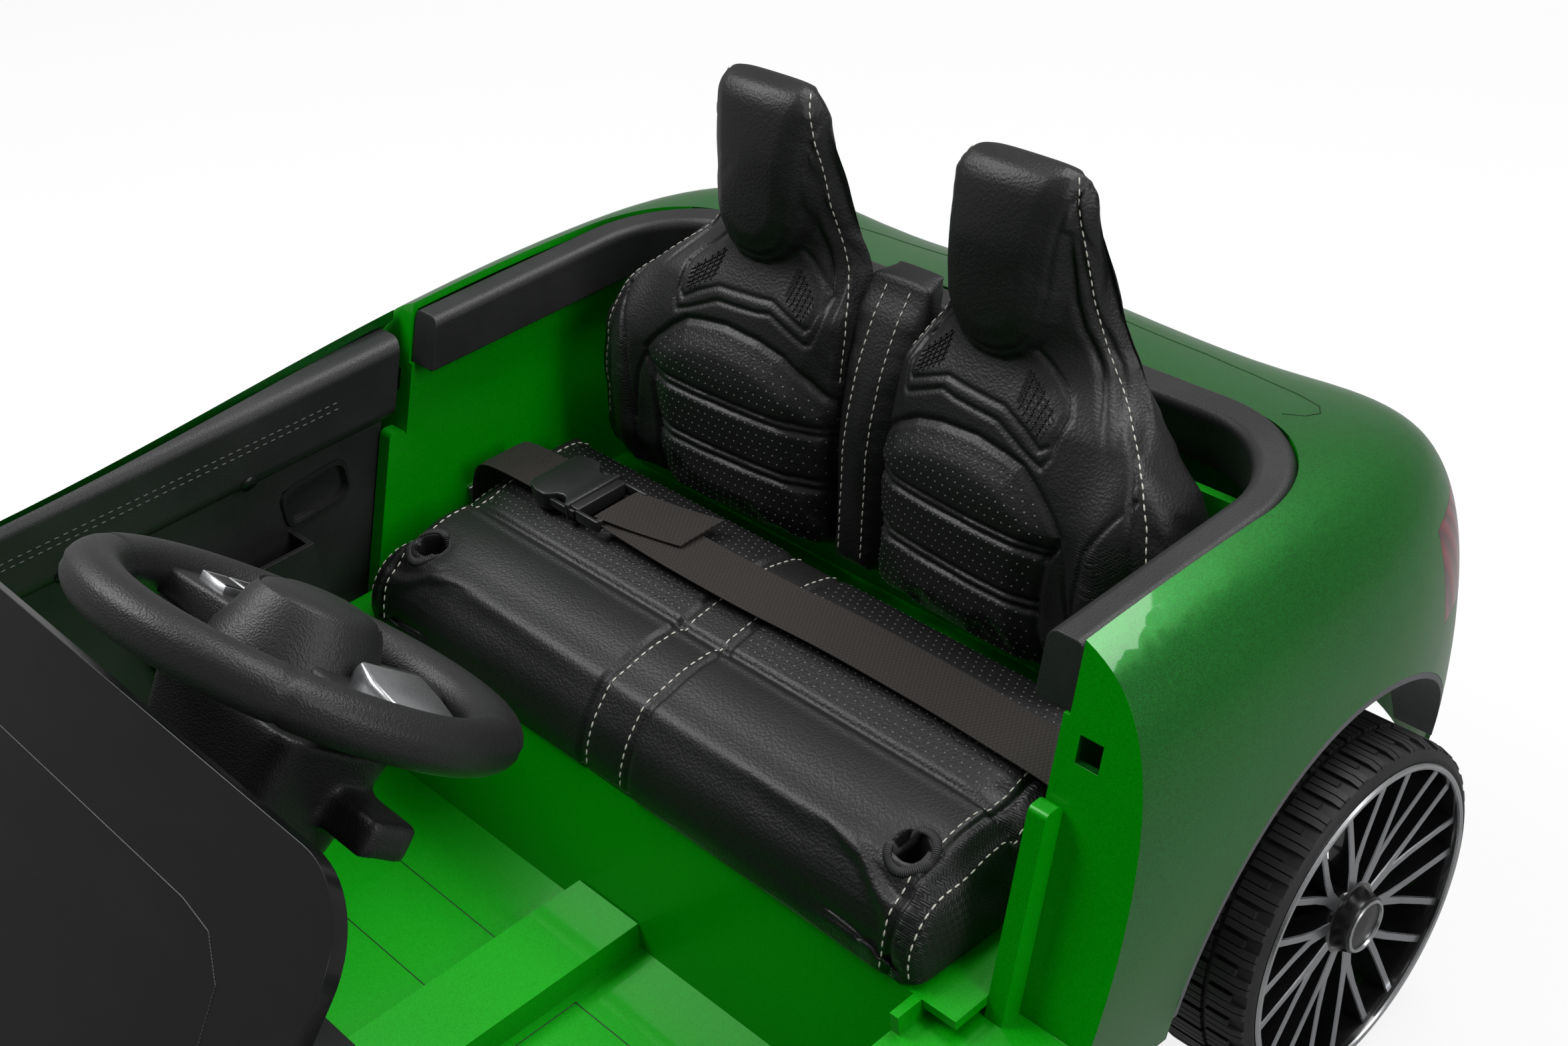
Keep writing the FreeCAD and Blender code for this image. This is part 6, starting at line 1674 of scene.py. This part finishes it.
@dataclass
class LapBelt:
    """The lap belt: two straps laid over the bench, the tail that folds back, and the buckle."""
    middle: float = 338.0
    width: float = 38.0
    thick: float = 1.5
    across: int = 6
    near: Line = (
        (281.6, 338.0, 206.0), (279.6, 338.0, 218.0), (273.0, 338.0, 234.0), (265.0, 338.0, 245.2),
        (250.0, 338.5, 248.4), (215.0, 339.5, 248.2), (170.0, 341.0, 249.6), (120.0, 342.0, 248.8),
        (70.0, 341.0, 250.2), (20.0, 339.0, 248.6), (-30.0, 337.0, 250.0), (-80.0, 336.5, 251.0),
        (-112.0, 337.5, 252.0), (-132.0, 338.0, 252.4))
    far: Line = (
        (-281.6, 338.0, 206.0), (-279.6, 338.0, 218.0), (-273.0, 338.0, 234.0), (-265.0, 338.0, 245.6),
        (-250.0, 338.0, 250.6), (-225.0, 338.0, 252.0), (-196.0, 338.0, 252.4))
    tail: Line = (
        (-134.0, 339.0, 256.0), (-122.0, 341.0, 255.8), (-110.0, 344.0, 254.6), (-98.0, 347.0, 254.0),
        (-86.0, 350.0, 253.6), (-74.0, 353.0, 253.4), (-66.0, 355.0, 253.6))
    waist: Line = (
        (-200.0, 18.0), (-197.0, 22.0), (-188.0, 25.0), (-179.0, 25.0), (-175.0, 22.0), (-172.0, 18.5), (-168.0, 17.0),
        (-164.0, 17.6), (-160.5, 20.5), (-158.0, 24.0), (-155.0, 24.0))
    bars: tuple[tuple[str, float, float, float, float, float], ...] = (
        ("head", -155.4, -147.0, -21.0, 21.0, 1.6), ("rail", -149.0, -126.0, 19.4, 22.6, 2.2),
        ("prong", -176.0, -150.0, 19.8, 23.2, 3.4), ("rung", -131.0, -126.4, -20.0, 20.0, 3.0))

    def strap(self, name: str, path: Line) -> Piece:
        """A woven ribbon along a path of points in millimetres, with a UV map in metres.

        Args:
            name: the piece's name.
            path: points of its middle line in millimetres.

        Returns:
            The piece.
        """
        curve = bpy.data.curves.new(name + "_line", "CURVE")
        curve.dimensions = "3D"
        curve.resolution_u = 8
        spline = curve.splines.new("NURBS")
        spline.points.add(len(path) - 1)
        for point, place in zip(spline.points, path):
            point.co = (*(c * MM for c in place), 1.0)
        spline.order_u = 4
        spline.use_endpoint_u = True
        guide = Forge.piece(name + "_line", curve)
        graph = bpy.context.evaluated_depsgraph_get()
        line = [v.co / MM for v in bpy.data.meshes.new_from_object(guide.evaluated_get(graph)).vertices]
        bpy.data.objects.remove(guide)
        return self.ribbon(name, line)

    def ribbon(self, name: str, line: list[Vector]) -> Piece:
        """The closed mesh of a strap along an even line.

        Args:
            name: the piece's name.
            line: points of its middle line in millimetres.

        Returns:
            The piece.
        """
        sections, layout = [], []
        reach, half = 0.0, self.width / 2
        steps = [-half + self.width * j / self.across for j in range(self.across + 1)]
        ring = [(v, 1.0) for v in steps] + [(v, -1.0) for v in reversed(steps)]
        for i, place in enumerate(line):
            before, after = line[max(i - 1, 0)], line[min(i + 1, len(line) - 1)]
            reach += (place - before).length
            up = (after - before).cross(Vector((0.0, 1.0, 0.0))).normalized()
            up = up if up.z > 0 or abs(up.x) > 0.5 else -up
            section = []
            for v, flip in ring:
                edge = 1.0 - 0.6 * (abs(v) / half) ** 8
                section.append(tuple(place + Vector((0.0, v, 0.0)) + up * (flip * self.thick / 2 * edge)))
                layout.append((reach * MM, (v + half) * MM))
            sections.append(section)
        mesh = Forge.mesh(name, *Forge.loft(sections, caps=(0, -1)))
        uv = mesh.uv_layers.new(name="weave")
        for loop in mesh.loops:
            uv.data[loop.index].uv = layout[loop.vertex_index]
        Forge.outward(mesh)
        Forge.smooth(mesh, 50.0)
        return Forge.piece(name, mesh)

    def build(self) -> list[Piece]:
        """Both straps, the tail and the buckle.

        Returns:
            The pieces.
        """
        rows = (("long_strap", self.near, ["long_belt"]), ("short_strap", self.far, ["short_belt"]),
                ("strap_tail", self.tail, []))
        straps = [Forge.hand_over(self.strap(name, path), Carrier.CHASSIS, Finishes.WEBBING, *nodes)
                  for name, path, nodes in rows]
        return straps + self.buckle()

    def buckle(self) -> list[Piece]:
        """The side-release buckle: a waisted socket, and an insert with two prongs and a ladder for the strap.

        Returns:
            The pieces.
        """
        places = Cushioning.places(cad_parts["buckle_socket"].data)
        low, high = places[:, 2].min(), places[:, 2].max()
        mid = self.middle
        half = [(x, mid + y) for x, y in self.waist]
        outline = half + [(x, 2 * mid - y) for x, y in reversed(half)]
        socket = Forge.slab("buckle_socket_body", outline, low, high, 2.0)
        pieces = [Forge.hand_over(socket, Carrier.CHASSIS, Finishes.BUCKLE, "buckle_socket")]
        for name, x0, x1, y0, y1, drop in self.bars:
            for flip in (1.0, -1.0) if y0 > 0 else (1.0,):
                tag = name if flip > 0 else name + "_far"
                box = [(x0, mid + flip * y0), (x1, mid + flip * y0), (x1, mid + flip * y1), (x0, mid + flip * y1)]
                bar = Forge.slab("buckle_" + tag, box, low + drop, high - drop, 1.0)
                pieces.append(Forge.hand_over(bar, Carrier.CHASSIS, Finishes.BUCKLE, "buckle_insert"))
        return pieces


@dataclass
class SteeringWheel:
    """The steering wheel about its tilted axis: u across, v down its face, n out of it."""
    centre: Point = (105.0, -5.0, 455.0)
    tilt: Point = (0.682, 0.7314)
    ring: float = 94.0
    grip: Point = (14.0, 12.5)
    seams: Point = (38.0, 142.0, 218.0, 322.0)
    hub: float = 38.0
    key_u: float = -58.0
    key_pitch: float = 15.0
    key_half: Point = (7.5, 5.5)
    key_gap: float = 0.5

    def place(self, u: float, v: float, n: float) -> Point:
        """World place of a point of the wheel, in millimetres.

        Args:
            u: across the wheel.
            v: down its face.
            n: out of its face.

        Returns:
            The place.
        """
        sine, cosine = self.tilt
        cx, cy, cz = self.centre
        return (cx + u, cy + v * cosine + n * sine, cz - v * sine + n * cosine)

    def turned(self, profile: Line, turn: float) -> Line:
        """A profile of radius and height at one turn about the steering axis."""
        return [self.place(r * math.cos(turn), r * math.sin(turn), n) for r, n in profile]

    def grip_shape(self) -> tuple[Line, Faces]:
        """The oval rim with its part line and four cross seams.

        Returns:
            Its points in millimetres and its faces.
        """
        turns, sides, sections = 200, 28, []
        for i in range(turns):
            turn = math.tau * i / turns
            dent = sum(1.1 * math.exp(-((turn - math.radians(s)) * self.ring / 2.0) ** 2) for s in self.seams)
            profile = []
            for j in range(sides):
                around = math.tau * j / sides
                line = 0.7 * math.exp(-(((around + math.pi) % math.tau - math.pi) / 0.10) ** 2)
                out, lift = (half - dent - line for half in self.grip)
                profile.append((self.ring + out * math.cos(around), lift * math.sin(around)))
            sections.append(self.turned(profile, turn))
        return Forge.loft(sections, around=True)

    def hub_shape(self) -> tuple[Line, Faces]:
        """The domed hub with a groove round its pad.

        Returns:
            Its points in millimetres and its faces.
        """
        hub, steps = self.hub, 64
        profile = [(0.02, -16.0), (30.0, -16.0), (hub + 4.0, -10.0), (hub + 2.0, 0.0), (hub - 3.0, 10.0),
                   (hub - 6.0, 19.0), (hub - 9.0, 24.0), (hub - 10.0, 23.2), (hub - 11.0, 24.4), (hub - 18.0, 26.8),
                   (0.02, 28.0)]
        sections = [self.turned(profile, math.tau * i / steps) for i in range(steps)]
        return Forge.loft(sections, around=True, closed=False)

    def arm(self, name: str, finish: Finishes, edge: float, *sections: Point) -> Piece:
        """A loft across u through sections.

        Args:
            name: the piece's name.
            finish: its finish.
            edge: the width of its softened edges in millimetres.
            sections: u, v from and to, n from and to of each.

        Returns:
            The piece.
        """
        corners = [[self.place(u, v0, n0), self.place(u, v1, n0), self.place(u, v1, n1), self.place(u, v0, n1)]
                   for u, v0, v1, n0, n1 in sections]
        return Forge.solid(name, Forge.loft(corners, caps=(0, -1)), finish=finish, edge=edge)

    def bezel(self, tag: str, v: float) -> Piece:
        """A bright frame round one key, open for its travel.

        Args:
            tag: the key's name.
            v: the key's middle, down the wheel's face.

        Returns:
            The piece.
        """
        rings = []
        room = self.key_pitch / 2 - self.key_half[1] - 2 * self.key_gap
        for wide, tall, n in ((2.6, 2.0, 2.0), (2.4, 1.7, 9.4), (0.0, 0.0, 8.6), (0.0, 0.0, 2.0)):
            across = self.key_half[0] + self.key_gap + wide
            down = self.key_half[1] + self.key_gap + min(tall, room)
            rings.append([self.place(self.key_u + du * across, v + dv * down, n)
                          for du, dv in ((-1, -1), (1, -1), (1, 1), (-1, 1))])
        shape = Forge.loft(rings, around=True)
        return Forge.solid(f"steering_{tag}_key_frame", shape, edge=0.4, segments=2)

    def build(self) -> list[Piece]:
        """Rim, hub, spokes, keys' frames and the silver panel.

        Returns:
            The pieces.
        """
        grip = Forge.solid("steering_grip", self.grip_shape(), 180.0, Finishes.WRAP)
        hub = Forge.solid("steering_hub", self.hub_shape(), finish=Finishes.WRAP)
        far = self.arm("steering_far_spoke", Finishes.WRAP, 3.0, (-88.0, -26.0, 20.0, -9.0, 4.0),
                       (-72.0, -24.0, 18.0, -10.0, 5.0), (-40.0, -20.0, 16.0, -12.0, 6.0),
                       (-20.0, -18.0, 16.0, -14.0, 6.0))
        near = self.arm("steering_near_spoke", Finishes.WRAP, 3.0, (20.0, -18.0, 22.0, -14.0, 6.0),
                        (44.0, -18.0, 34.0, -11.0, 4.0), (66.0, -20.0, 42.0, -10.0, 4.0),
                        (84.0, -26.0, 36.0, -9.0, 3.0))
        foot = self.arm("steering_foot_spoke", Finishes.WRAP, 3.0, (-15.0, 28.0, 84.0, -11.0, 0.0),
                        (-9.0, 28.0, 86.0, -12.0, 2.0), (9.0, 28.0, 86.0, -12.0, 2.0), (15.0, 28.0, 84.0, -11.0, 0.0))
        panel = self.arm("steering_silver_panel", Finishes.SILVER, 1.8, (38.0, 0.0, 26.0, 2.0, 10.0),
                         (45.0, -4.0, 31.0, 2.0, 15.0), (58.0, -5.0, 35.0, 2.0, 11.0), (72.0, -3.0, 34.0, 2.0, 8.0),
                         (77.0, 3.0, 28.0, 2.0, 6.5))
        for piece in (grip, far, near, foot):
            Forge.hand_over(piece, Carrier.STEERING, Finishes.TRIM, "steering_wheel")
        Forge.hand_over(hub, Carrier.STEERING, Finishes.GLOSS, "hub_pad")
        Forge.hand_over(panel, Carrier.STEERING, Finishes.SILVER, "spoke_panel")
        frames = [Forge.hand_over(self.bezel(tag, v), Carrier.STEERING, Finishes.SILVER)
                  for tag, v in (("upper", -self.key_pitch / 2), ("lower", self.key_pitch / 2))]
        return [grip, hub, far, near, foot, panel] + frames


@dataclass
class DoorTrim:
    """What is sewn and fitted on a door lining, drawn on the closed far door and turned for the open near one."""
    growth: Growth
    hinge: Point = (330.75, -54.0)
    opened: float = 62.0
    rows: Point = (327.0, 322.5)
    front: float = -34.0
    rear: float = 236.0
    inside: float = -200.0
    plugs: Line = ((162.0, 300.0), (30.0, 300.0))

    def shaped(self, piece: Piece, side: Side) -> Piece:
        """Leaves a far door's piece, or mirrors and turns a copy for the near door.

        Args:
            piece: the piece, on the far door.
            side: the side of the car.

        Returns:
            The piece.
        """
        if side is Side.LEFT:
            hinge = Vector((*self.hinge, 0.0)) * MM
            turn = Matrix.Translation(hinge) @ Matrix.Rotation(math.radians(-self.opened), 4, "Z")
            piece.data.transform(turn @ Matrix.Translation(-hinge) @ Matrix.Scale(-1.0, 4, Vector((1.0, 0.0, 0.0))))
            piece.data.flip_normals()
        return piece

    def cup(self, name: str) -> Piece:
        """A rounded handle cup with a lipped edge, set in the lining's recess.

        Args:
            name: the piece's name.

        Returns:
            The piece.
        """
        shells = ((-299.2, 27.0, 15.5), (-297.4, 26.0, 14.5), (-297.4, 24.0, 12.5), (-303.5, 22.0, 10.5),
                  (-304.0, 1.0, 0.6))
        steps, middle_y, middle_z = 48, 212.0, 262.0
        turns = [math.tau * i / steps for i in range(steps)]
        sections = []
        for x, half, tall in shells:
            section = []
            for turn in turns:
                dy = math.copysign(abs(math.cos(turn)) ** 0.45, math.cos(turn)) * half
                dz = math.copysign(abs(math.sin(turn)) ** 0.45, math.sin(turn)) * tall
                section.append((x, middle_y + dy, middle_z + dz + dy * 0.1))
            sections.append(section)
        mesh = Forge.mesh(name, *Forge.loft(sections, caps=(-1,)))
        mesh.flip_normals()
        Forge.smooth(mesh, 45.0)
        mesh.materials.append(Finishes.SMOOTH_TRIM.material())
        return Forge.piece(name, mesh)

    def build(self, side: Side) -> list[Piece]:
        """Stitch rows, screw heads and the handle cup of one door.

        Args:
            side: the side of the car.

        Returns:
            The pieces.
        """
        tag = side.name.lower()
        tree = Cushioning.tree(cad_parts["right_door_trim"].data)
        way = Vector((-1.0, 0.0, 0.0))
        rows = [[(y, height) for y in np.arange(self.front, self.rear, 4.0)] for height in self.rows]
        *rows, (spots, ups) = [Cushioning.cast(tree, [Vector((self.inside, y, z)) * MM for y, z in row], way)
                               for row in rows + [self.plugs]]
        pieces = [self.growth.sew(tag + "_door_stitches", rows, Finishes.TRIM_THREAD, 6.0, (4.4, 1.0, 0.8)),
                  self.growth.stud(tag + "_door_plugs", spots, ups, Finishes.SMOOTH_TRIM, 6.0, 2.4, 24),
                  self.cup(tag + "_handle_cup")]
        door = Carrier.LEFT_DOOR if side is Side.LEFT else Carrier.RIGHT_DOOR
        return [Forge.hand_over(self.shaped(piece, side), door, Finishes.TRIM) for piece in pieces]


@dataclass
class HardParts:
    """The CAD's rigid nodes with softened edges and their finishes."""
    edge: float = 1.2
    sill_z: float = 165.0
    jamb_y: float = 244.5
    rail_y: float = 313.3
    rail_run: Point = (315.0, 345.0)
    jamb_slope: float = 3.0
    jamb_back: float = 0.34
    jamb_way: Point = (0.0, -0.9487, 0.3162)
    inset: float = 3.0
    plate: Point = (0.3, 3.0)

    def table(self) -> list[tuple[str, float, Carrier, Finishes]]:
        """Node, edge, carrier and finish of each rigid node.

        Returns:
            A row for each node.
        """
        body, edge, fine = Carrier.CHASSIS, self.edge, self.edge * 0.5
        groups = [
            (edge, body, Finishes.CABIN, "cabin_tub"), (edge, body, Finishes.BODY, "rear_body front_body"),
            (edge, body, Finishes.TRIM, "cockpit_rail dashboard"), (fine, body, Finishes.GLOSS, "dash_display"),
            (0.0, body, Finishes.GLOSS, "grille"), (fine, body, Finishes.GLOSS, "charge_socket"),
            (edge, body, Finishes.SCREEN, "windscreen"),
            (fine, body, Finishes.STEEL, "belt_anchors seat_screws front_axle_beam rear_axle hinge_pins kingpins"),
            (fine, body, Finishes.CASE, "left_gearbox right_gearbox"), (edge, body, Finishes.CASE, "battery"),
            (fine, body, Finishes.CASE, "controller"),
            (fine, body, Finishes.CLEAR_LENS, "left_headlamp right_headlamp"),
            (fine, body, Finishes.RED_LENS, "left_tail_lamp right_tail_lamp"),
            (fine, body, Finishes.LINER, "wheel_liners"),
            (fine, Carrier.STEERING, Finishes.STEEL, "steering_shaft"),
            (fine, Carrier.UPPER_KEY, Finishes.GLOSS, "upper_wheel_button"),
            (fine, Carrier.LOWER_KEY, Finishes.GLOSS, "lower_wheel_button"),
            (fine, Carrier.TIE_ROD, Finishes.STEEL, "tie_rod"),
            (fine, Carrier.LEFT_KNUCKLE, Finishes.STEEL, "left_knuckle"),
            (fine, Carrier.RIGHT_KNUCKLE, Finishes.STEEL, "right_knuckle"),
            (fine, Carrier.PEDAL, Finishes.SMOOTH_TRIM, "accelerator_pedal"),
            (fine, Carrier.POWER_BUTTON, Finishes.GLOSS, "power_button"),
            (fine, Carrier.DRIVE_ROCKER, Finishes.GLOSS, "drive_rocker")]
        for side, door in (("left", Carrier.LEFT_DOOR), ("right", Carrier.RIGHT_DOOR)):
            groups += [(edge, door, finish, side + end) for finish, end in (
                (Finishes.BODY, "_door_skin"), (Finishes.TRIM, "_door_trim"), (Finishes.GLOSS, "_mirror"))]
        return [(node, *rest) for *rest, nodes in groups for node in nodes.split()]

    def jambs(self, piece: Piece) -> None:
        """Gives the rear body's door jambs and inner faces the brighter cabin green: plain plastic, and partly painted
        light for the light that falls on the up-tilted jambs and bounces inside the body.

        Args:
            piece: the dressed rear body.
        """
        # The brighter green on faces that face forward and up, and on inward faces, is partly painted light.
        piece.data.materials.append(Finishes.CABIN.material())
        facing = Vector(self.jamb_way)
        for face in piece.data.polygons:
            inward = face.normal.x * face.center.x < 0 and abs(face.normal.x) > 0.6
            if face.normal.dot(facing) > 0.8 and face.center.y < self.jamb_back or inward:
                face.material_index = 1

    def shroud(self) -> Piece:
        """The column's moulded shroud, rounded all over.

        Returns:
            The piece.
        """
        piece = Forge.rounded("column_shroud_moulded", "column_shroud", 2.2, 12)
        piece.data.shade_smooth()
        return Forge.hand_over(piece, Carrier.CHASSIS, Finishes.WRAP, "column_shroud")

    def grille_back(self) -> Piece:
        """A dark plate close behind the grille's bars.

        Returns:
            The piece.
        """
        places = Cushioning.places(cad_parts["grille"].data)
        (left, low), (right, high) = places[:, ::2].min(axis=0) + self.inset, places[:, ::2].max(axis=0) - self.inset
        near, far = (places[:, 1].max() + gap for gap in self.plate)
        outline = [(left, near), (right, near), (right, far), (left, far)]
        plate = Forge.slab("grille_back", outline, low, high, 0.8)
        plate.data.shade_flat()
        return Forge.hand_over(plate, Carrier.CHASSIS, Finishes.CASE)

    def rail_ends(self, piece: Piece) -> None:
        """Draws the rail's two ends forward to the sloping door jambs.

        Args:
            piece: the dressed rail.
        """
        places = Cushioning.places(piece.data)
        near = 1.0 - Cushioning.ease(places[:, 1], *self.rail_run)
        jamb = self.jamb_y + (places[:, 2] - self.sill_z) / self.jamb_slope
        places[:, 1] -= near * np.maximum(self.rail_y - jamb, 0.0)
        Cushioning.put(piece.data, places)

    def build(self) -> list[Piece]:
        """Dresses every rigid node.

        Returns:
            The pieces.
        """
        pieces = [Forge.dressed(*row) for row in self.table()]
        self.jambs(next(p for p in pieces if p.name.startswith("rear_body")))
        self.rail_ends(next(p for p in pieces if p.name.startswith("cockpit_rail")))
        return pieces + [self.grille_back(), self.shroud()]


@dataclass
class PanelLines:
    """Narrow lines in the floor, on the rear deck and on the windscreen: painted shade of the grooves on the floor and
    deck, and a printed border on the screen.
    """
    growth: Growth
    floor_panel: Point = (36.0, 204.0, 81.0, 135.0)
    boot: Line = (
        (0.0, 608.0), (101.0, 605.0), (140.0, 605.0), (178.0, 599.0), (218.0, 589.0), (238.0, 581.0), (245.0, 572.0),
        (242.0, 562.0), (232.0, 555.0))
    screen_top: Point = (-80.0, 478.0)
    screen_rake: float = 42.0
    screen_half: Point = (288.0, 318.0)
    screen_slope: float = 225.0
    border: float = 46.0
    above: float = 470.0
    thin: Point = (3.0, 0.9, 0.5)

    def fall(self, node: str, line: Line) -> Seam:
        """A line of x and y dropped on a node from above.

        Args:
            node: the CAD node.
            line: its points in plan, in millimetres.

        Returns:
            Places along it, and the normals there.
        """
        tree = Cushioning.tree(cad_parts[node].data)
        starts = [Vector((x, y, self.above)) * MM for x, y in Cushioning.even(line, 4.0)]
        return Cushioning.cast(tree, starts, DOWN)

    def screen_line(self) -> Seam:
        """The border line of the windscreen, inside its edge.

        Returns:
            Places along it, and the normals there.
        """
        rake = math.radians(self.screen_rake)
        down, out = Vector((0.0, -math.cos(rake), -math.sin(rake))), Vector((0.0, -math.sin(rake), math.cos(rake)))
        wide = [self.screen_half[0] + (self.screen_half[1] - self.screen_half[0]) * s / self.screen_slope - self.border
                for s in (self.screen_slope, self.border * 2.0, self.border * 1.3, self.border)]
        run = [(wide[0], self.screen_slope * 0.8), (wide[1], self.border * 2.0), (wide[2] - 6.0, self.border * 1.35),
               (wide[3] - 22.0, self.border * 1.06), (wide[3] - 44.0, self.border)]
        line = [(-x, along) for x, along in run] + list(reversed(run))
        tree = Cushioning.tree(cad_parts["windscreen"].data)
        top = Vector((0.0, *self.screen_top)) * MM
        starts = [top + Vector((x * MM, 0.0, 0.0)) + down * (along * MM) + out * 0.1
                  for x, along in Cushioning.even(line, 4.0)]
        return Cushioning.cast(tree, starts, -out)

    def build(self) -> list[Piece]:
        """The floor's, the deck's and the screen's lines.

        Returns:
            The pieces.
        """
        x0, x1, y0, y1 = self.floor_panel
        loop = [(x0, y0), (x1, y0), (x1, y1), (x0, y1), (x0, y0)]
        other = [(-x, y) for x, y in loop]
        # The floor's and the deck's lines are painted shade of their grooves; the screen's line is a printed border.
        rows = (
            ("floor_lines", [self.fall("cabin_tub", loop), self.fall("cabin_tub", other)], Finishes.PANEL_GAP),
            ("boot_line", [self.fall("rear_body", mirrored(self.boot))], Finishes.PANEL_GAP),
            ("screen_line", [self.screen_line()], Finishes.GLOSS))
        pieces = []
        for name, lines, finish in rows:
            piece = self.growth.sew(name, lines, finish, 1.5, self.thin)
            pieces.append(Forge.hand_over(piece, Carrier.CHASSIS, finish))
        return pieces


@dataclass
class Studio:
    """White floor and surroundings, soft lamps and the camera."""
    eye: Point = (0.81965, -0.31300, 0.99066)
    yaw: float = 50.2595
    pitch: float = 33.5943
    roll: float = 6.3331
    lens: float = 47.617
    sensor: float = 36.0
    surround: float = 0.24
    mirrored: float = 0.06
    floor_mirrored: float = 0.30
    floor_glow: float = 0.86
    floor_half: float = 9000.0
    lamps: tuple[tuple[str, Point, Point, Point, float], ...] = (
        ("softbox_left", (-1.7, -0.3, 2.5), (0.0, 0.25, 0.3), (1.4, 1.4), 54.0),
        ("softbox_top", (0.3, 1.5, 2.6), (0.0, 0.3, 0.3), (1.8, 1.0), 46.0),
        ("softbox_near", (2.4, 0.5, 1.6), (0.2, 0.4, 0.2), (0.7, 1.4), 24.0))

    def lamp(self, name: str, place: Point, aim: Point, size: Point, power: float) -> None:
        """A rectangular softbox.

        Args:
            name: the lamp's name.
            place: where it stands, in metres.
            aim: what it points at.
            size: its two sides.
            power: its watts.
        """
        light = bpy.data.lights.new(name, "AREA")
        light.shape = "RECTANGLE"
        light.size, light.size_y = size
        light.energy = power
        stand = bpy.data.objects.new(name, light)
        stand.location = place
        stand.rotation_euler = (Vector(aim) - Vector(place)).to_track_quat("-Z", "Y").to_euler()
        bpy.context.scene.collection.objects.link(stand)

    def seen(self, kit: NodeKit) -> Signal:
        """1 for rays that show the background, 0 for rays that light the object.


        Returns:
            The share as a value.
        """
        path = kit.node("ShaderNodeLightPath")
        rays = [Signal(kit, path.outputs[n]) for n in ("Is Camera Ray", "Is Glossy Ray", "Is Transmission Ray")]
        return (rays[0] + rays[1] * self.mirrored + rays[2]).math("MINIMUM", 1.0)

    def surroundings(self) -> None:
        """White world for what is seen, softer for what lights."""
        world = bpy.data.worlds.new("white_studio")
        world.use_nodes = True
        kit = NodeKit(world.node_tree)
        strength = self.seen(kit) * (1.0 - self.surround) + self.surround
        sky = kit.node("ShaderNodeBackground", None, {"Color": tone(1.0, 1.0, 1.0), "Strength": strength})
        kit.node("ShaderNodeOutputWorld", None, {"Surface": sky})
        bpy.context.scene.world = world

    def floor(self) -> None:
        """A white floor that keeps a soft shadow."""
        span = self.floor_half
        mesh = Forge.mesh("studio_floor", [(-span, -span, 0), (span, -span, 0), (span, span, 0), (-span, span, 0)],
                          [(0, 1, 2, 3)])
        material = bpy.data.materials.new("floor_white")
        material.use_nodes = True
        kit = NodeKit(material.node_tree)
        matt = kit.node("ShaderNodeBsdfDiffuse", None, {"Color": tone(0.82, 0.82, 0.82)})
        glossy = Signal(kit, kit.node("ShaderNodeLightPath").outputs["Is Glossy Ray"])
        strength = 1 - glossy * (1.0 - self.floor_mirrored)
        glow = kit.node("ShaderNodeEmission", None, {"Color": tone(1.0, 1.0, 1.0), "Strength": strength})
        shown = (self.seen(kit) + glossy).math("MINIMUM", 1.0) * self.floor_glow
        both = kit.node("ShaderNodeMixShader", None, {0: shown, 1: matt, 2: glow})
        kit.node("ShaderNodeOutputMaterial", None, {"Surface": both})
        mesh.materials.append(material)
        Forge.piece("studio_floor", mesh)

    def camera(self) -> None:
        """The photograph's view."""
        yaw, pitch, roll = (math.radians(a) for a in (self.yaw, self.pitch, self.roll))
        right = Vector((math.cos(yaw), math.sin(yaw), 0.0))
        level = Vector((-math.sin(yaw), math.cos(yaw), 0.0))
        up = Vector((0.0, 0.0, 1.0))
        ahead = math.cos(pitch) * level - math.sin(pitch) * up
        down = -(math.sin(pitch) * level + math.cos(pitch) * up)
        across = math.cos(roll) * right + math.sin(roll) * down
        below = -math.sin(roll) * right + math.cos(roll) * down
        data = bpy.data.cameras.new("camera")
        data.sensor_fit = "HORIZONTAL"
        data.sensor_width = self.sensor
        data.lens = self.lens
        data.clip_start = 0.01
        camera = bpy.data.objects.new("camera", data)
        turn = Matrix((across, -below, -ahead)).transposed().to_4x4()
        camera.matrix_world = Matrix.Translation(self.eye) @ turn
        bpy.context.scene.collection.objects.link(camera)
        bpy.context.scene.camera = camera

    def build(self) -> None:
        """Sets up the studio."""
        bpy.context.scene.view_settings.view_transform = "Standard"
        self.surroundings()
        self.floor()
        self.camera()
        for lamp in self.lamps:
            self.lamp(*lamp)


def main() -> None:
    """Builds the studio and every sub-assembly in order."""
    logging.basicConfig(level=logging.INFO, format="%(name)s: %(message)s")
    Studio().build()
    growth = Growth()
    HardParts().build()
    Bench(growth).build()
    for side in Side:
        SeatBack(side, growth).build()
    Valley(growth).build()
    LapBelt().build()
    SteeringWheel().build()
    PanelLines(growth).build()
    for side in Side:
        DoorTrim(growth).build(side)
    for side in Side:
        for end, y in AXLES.items():
            RoadWheel(end, side, growth, y).build()


if __name__ == "__main__":
    main()
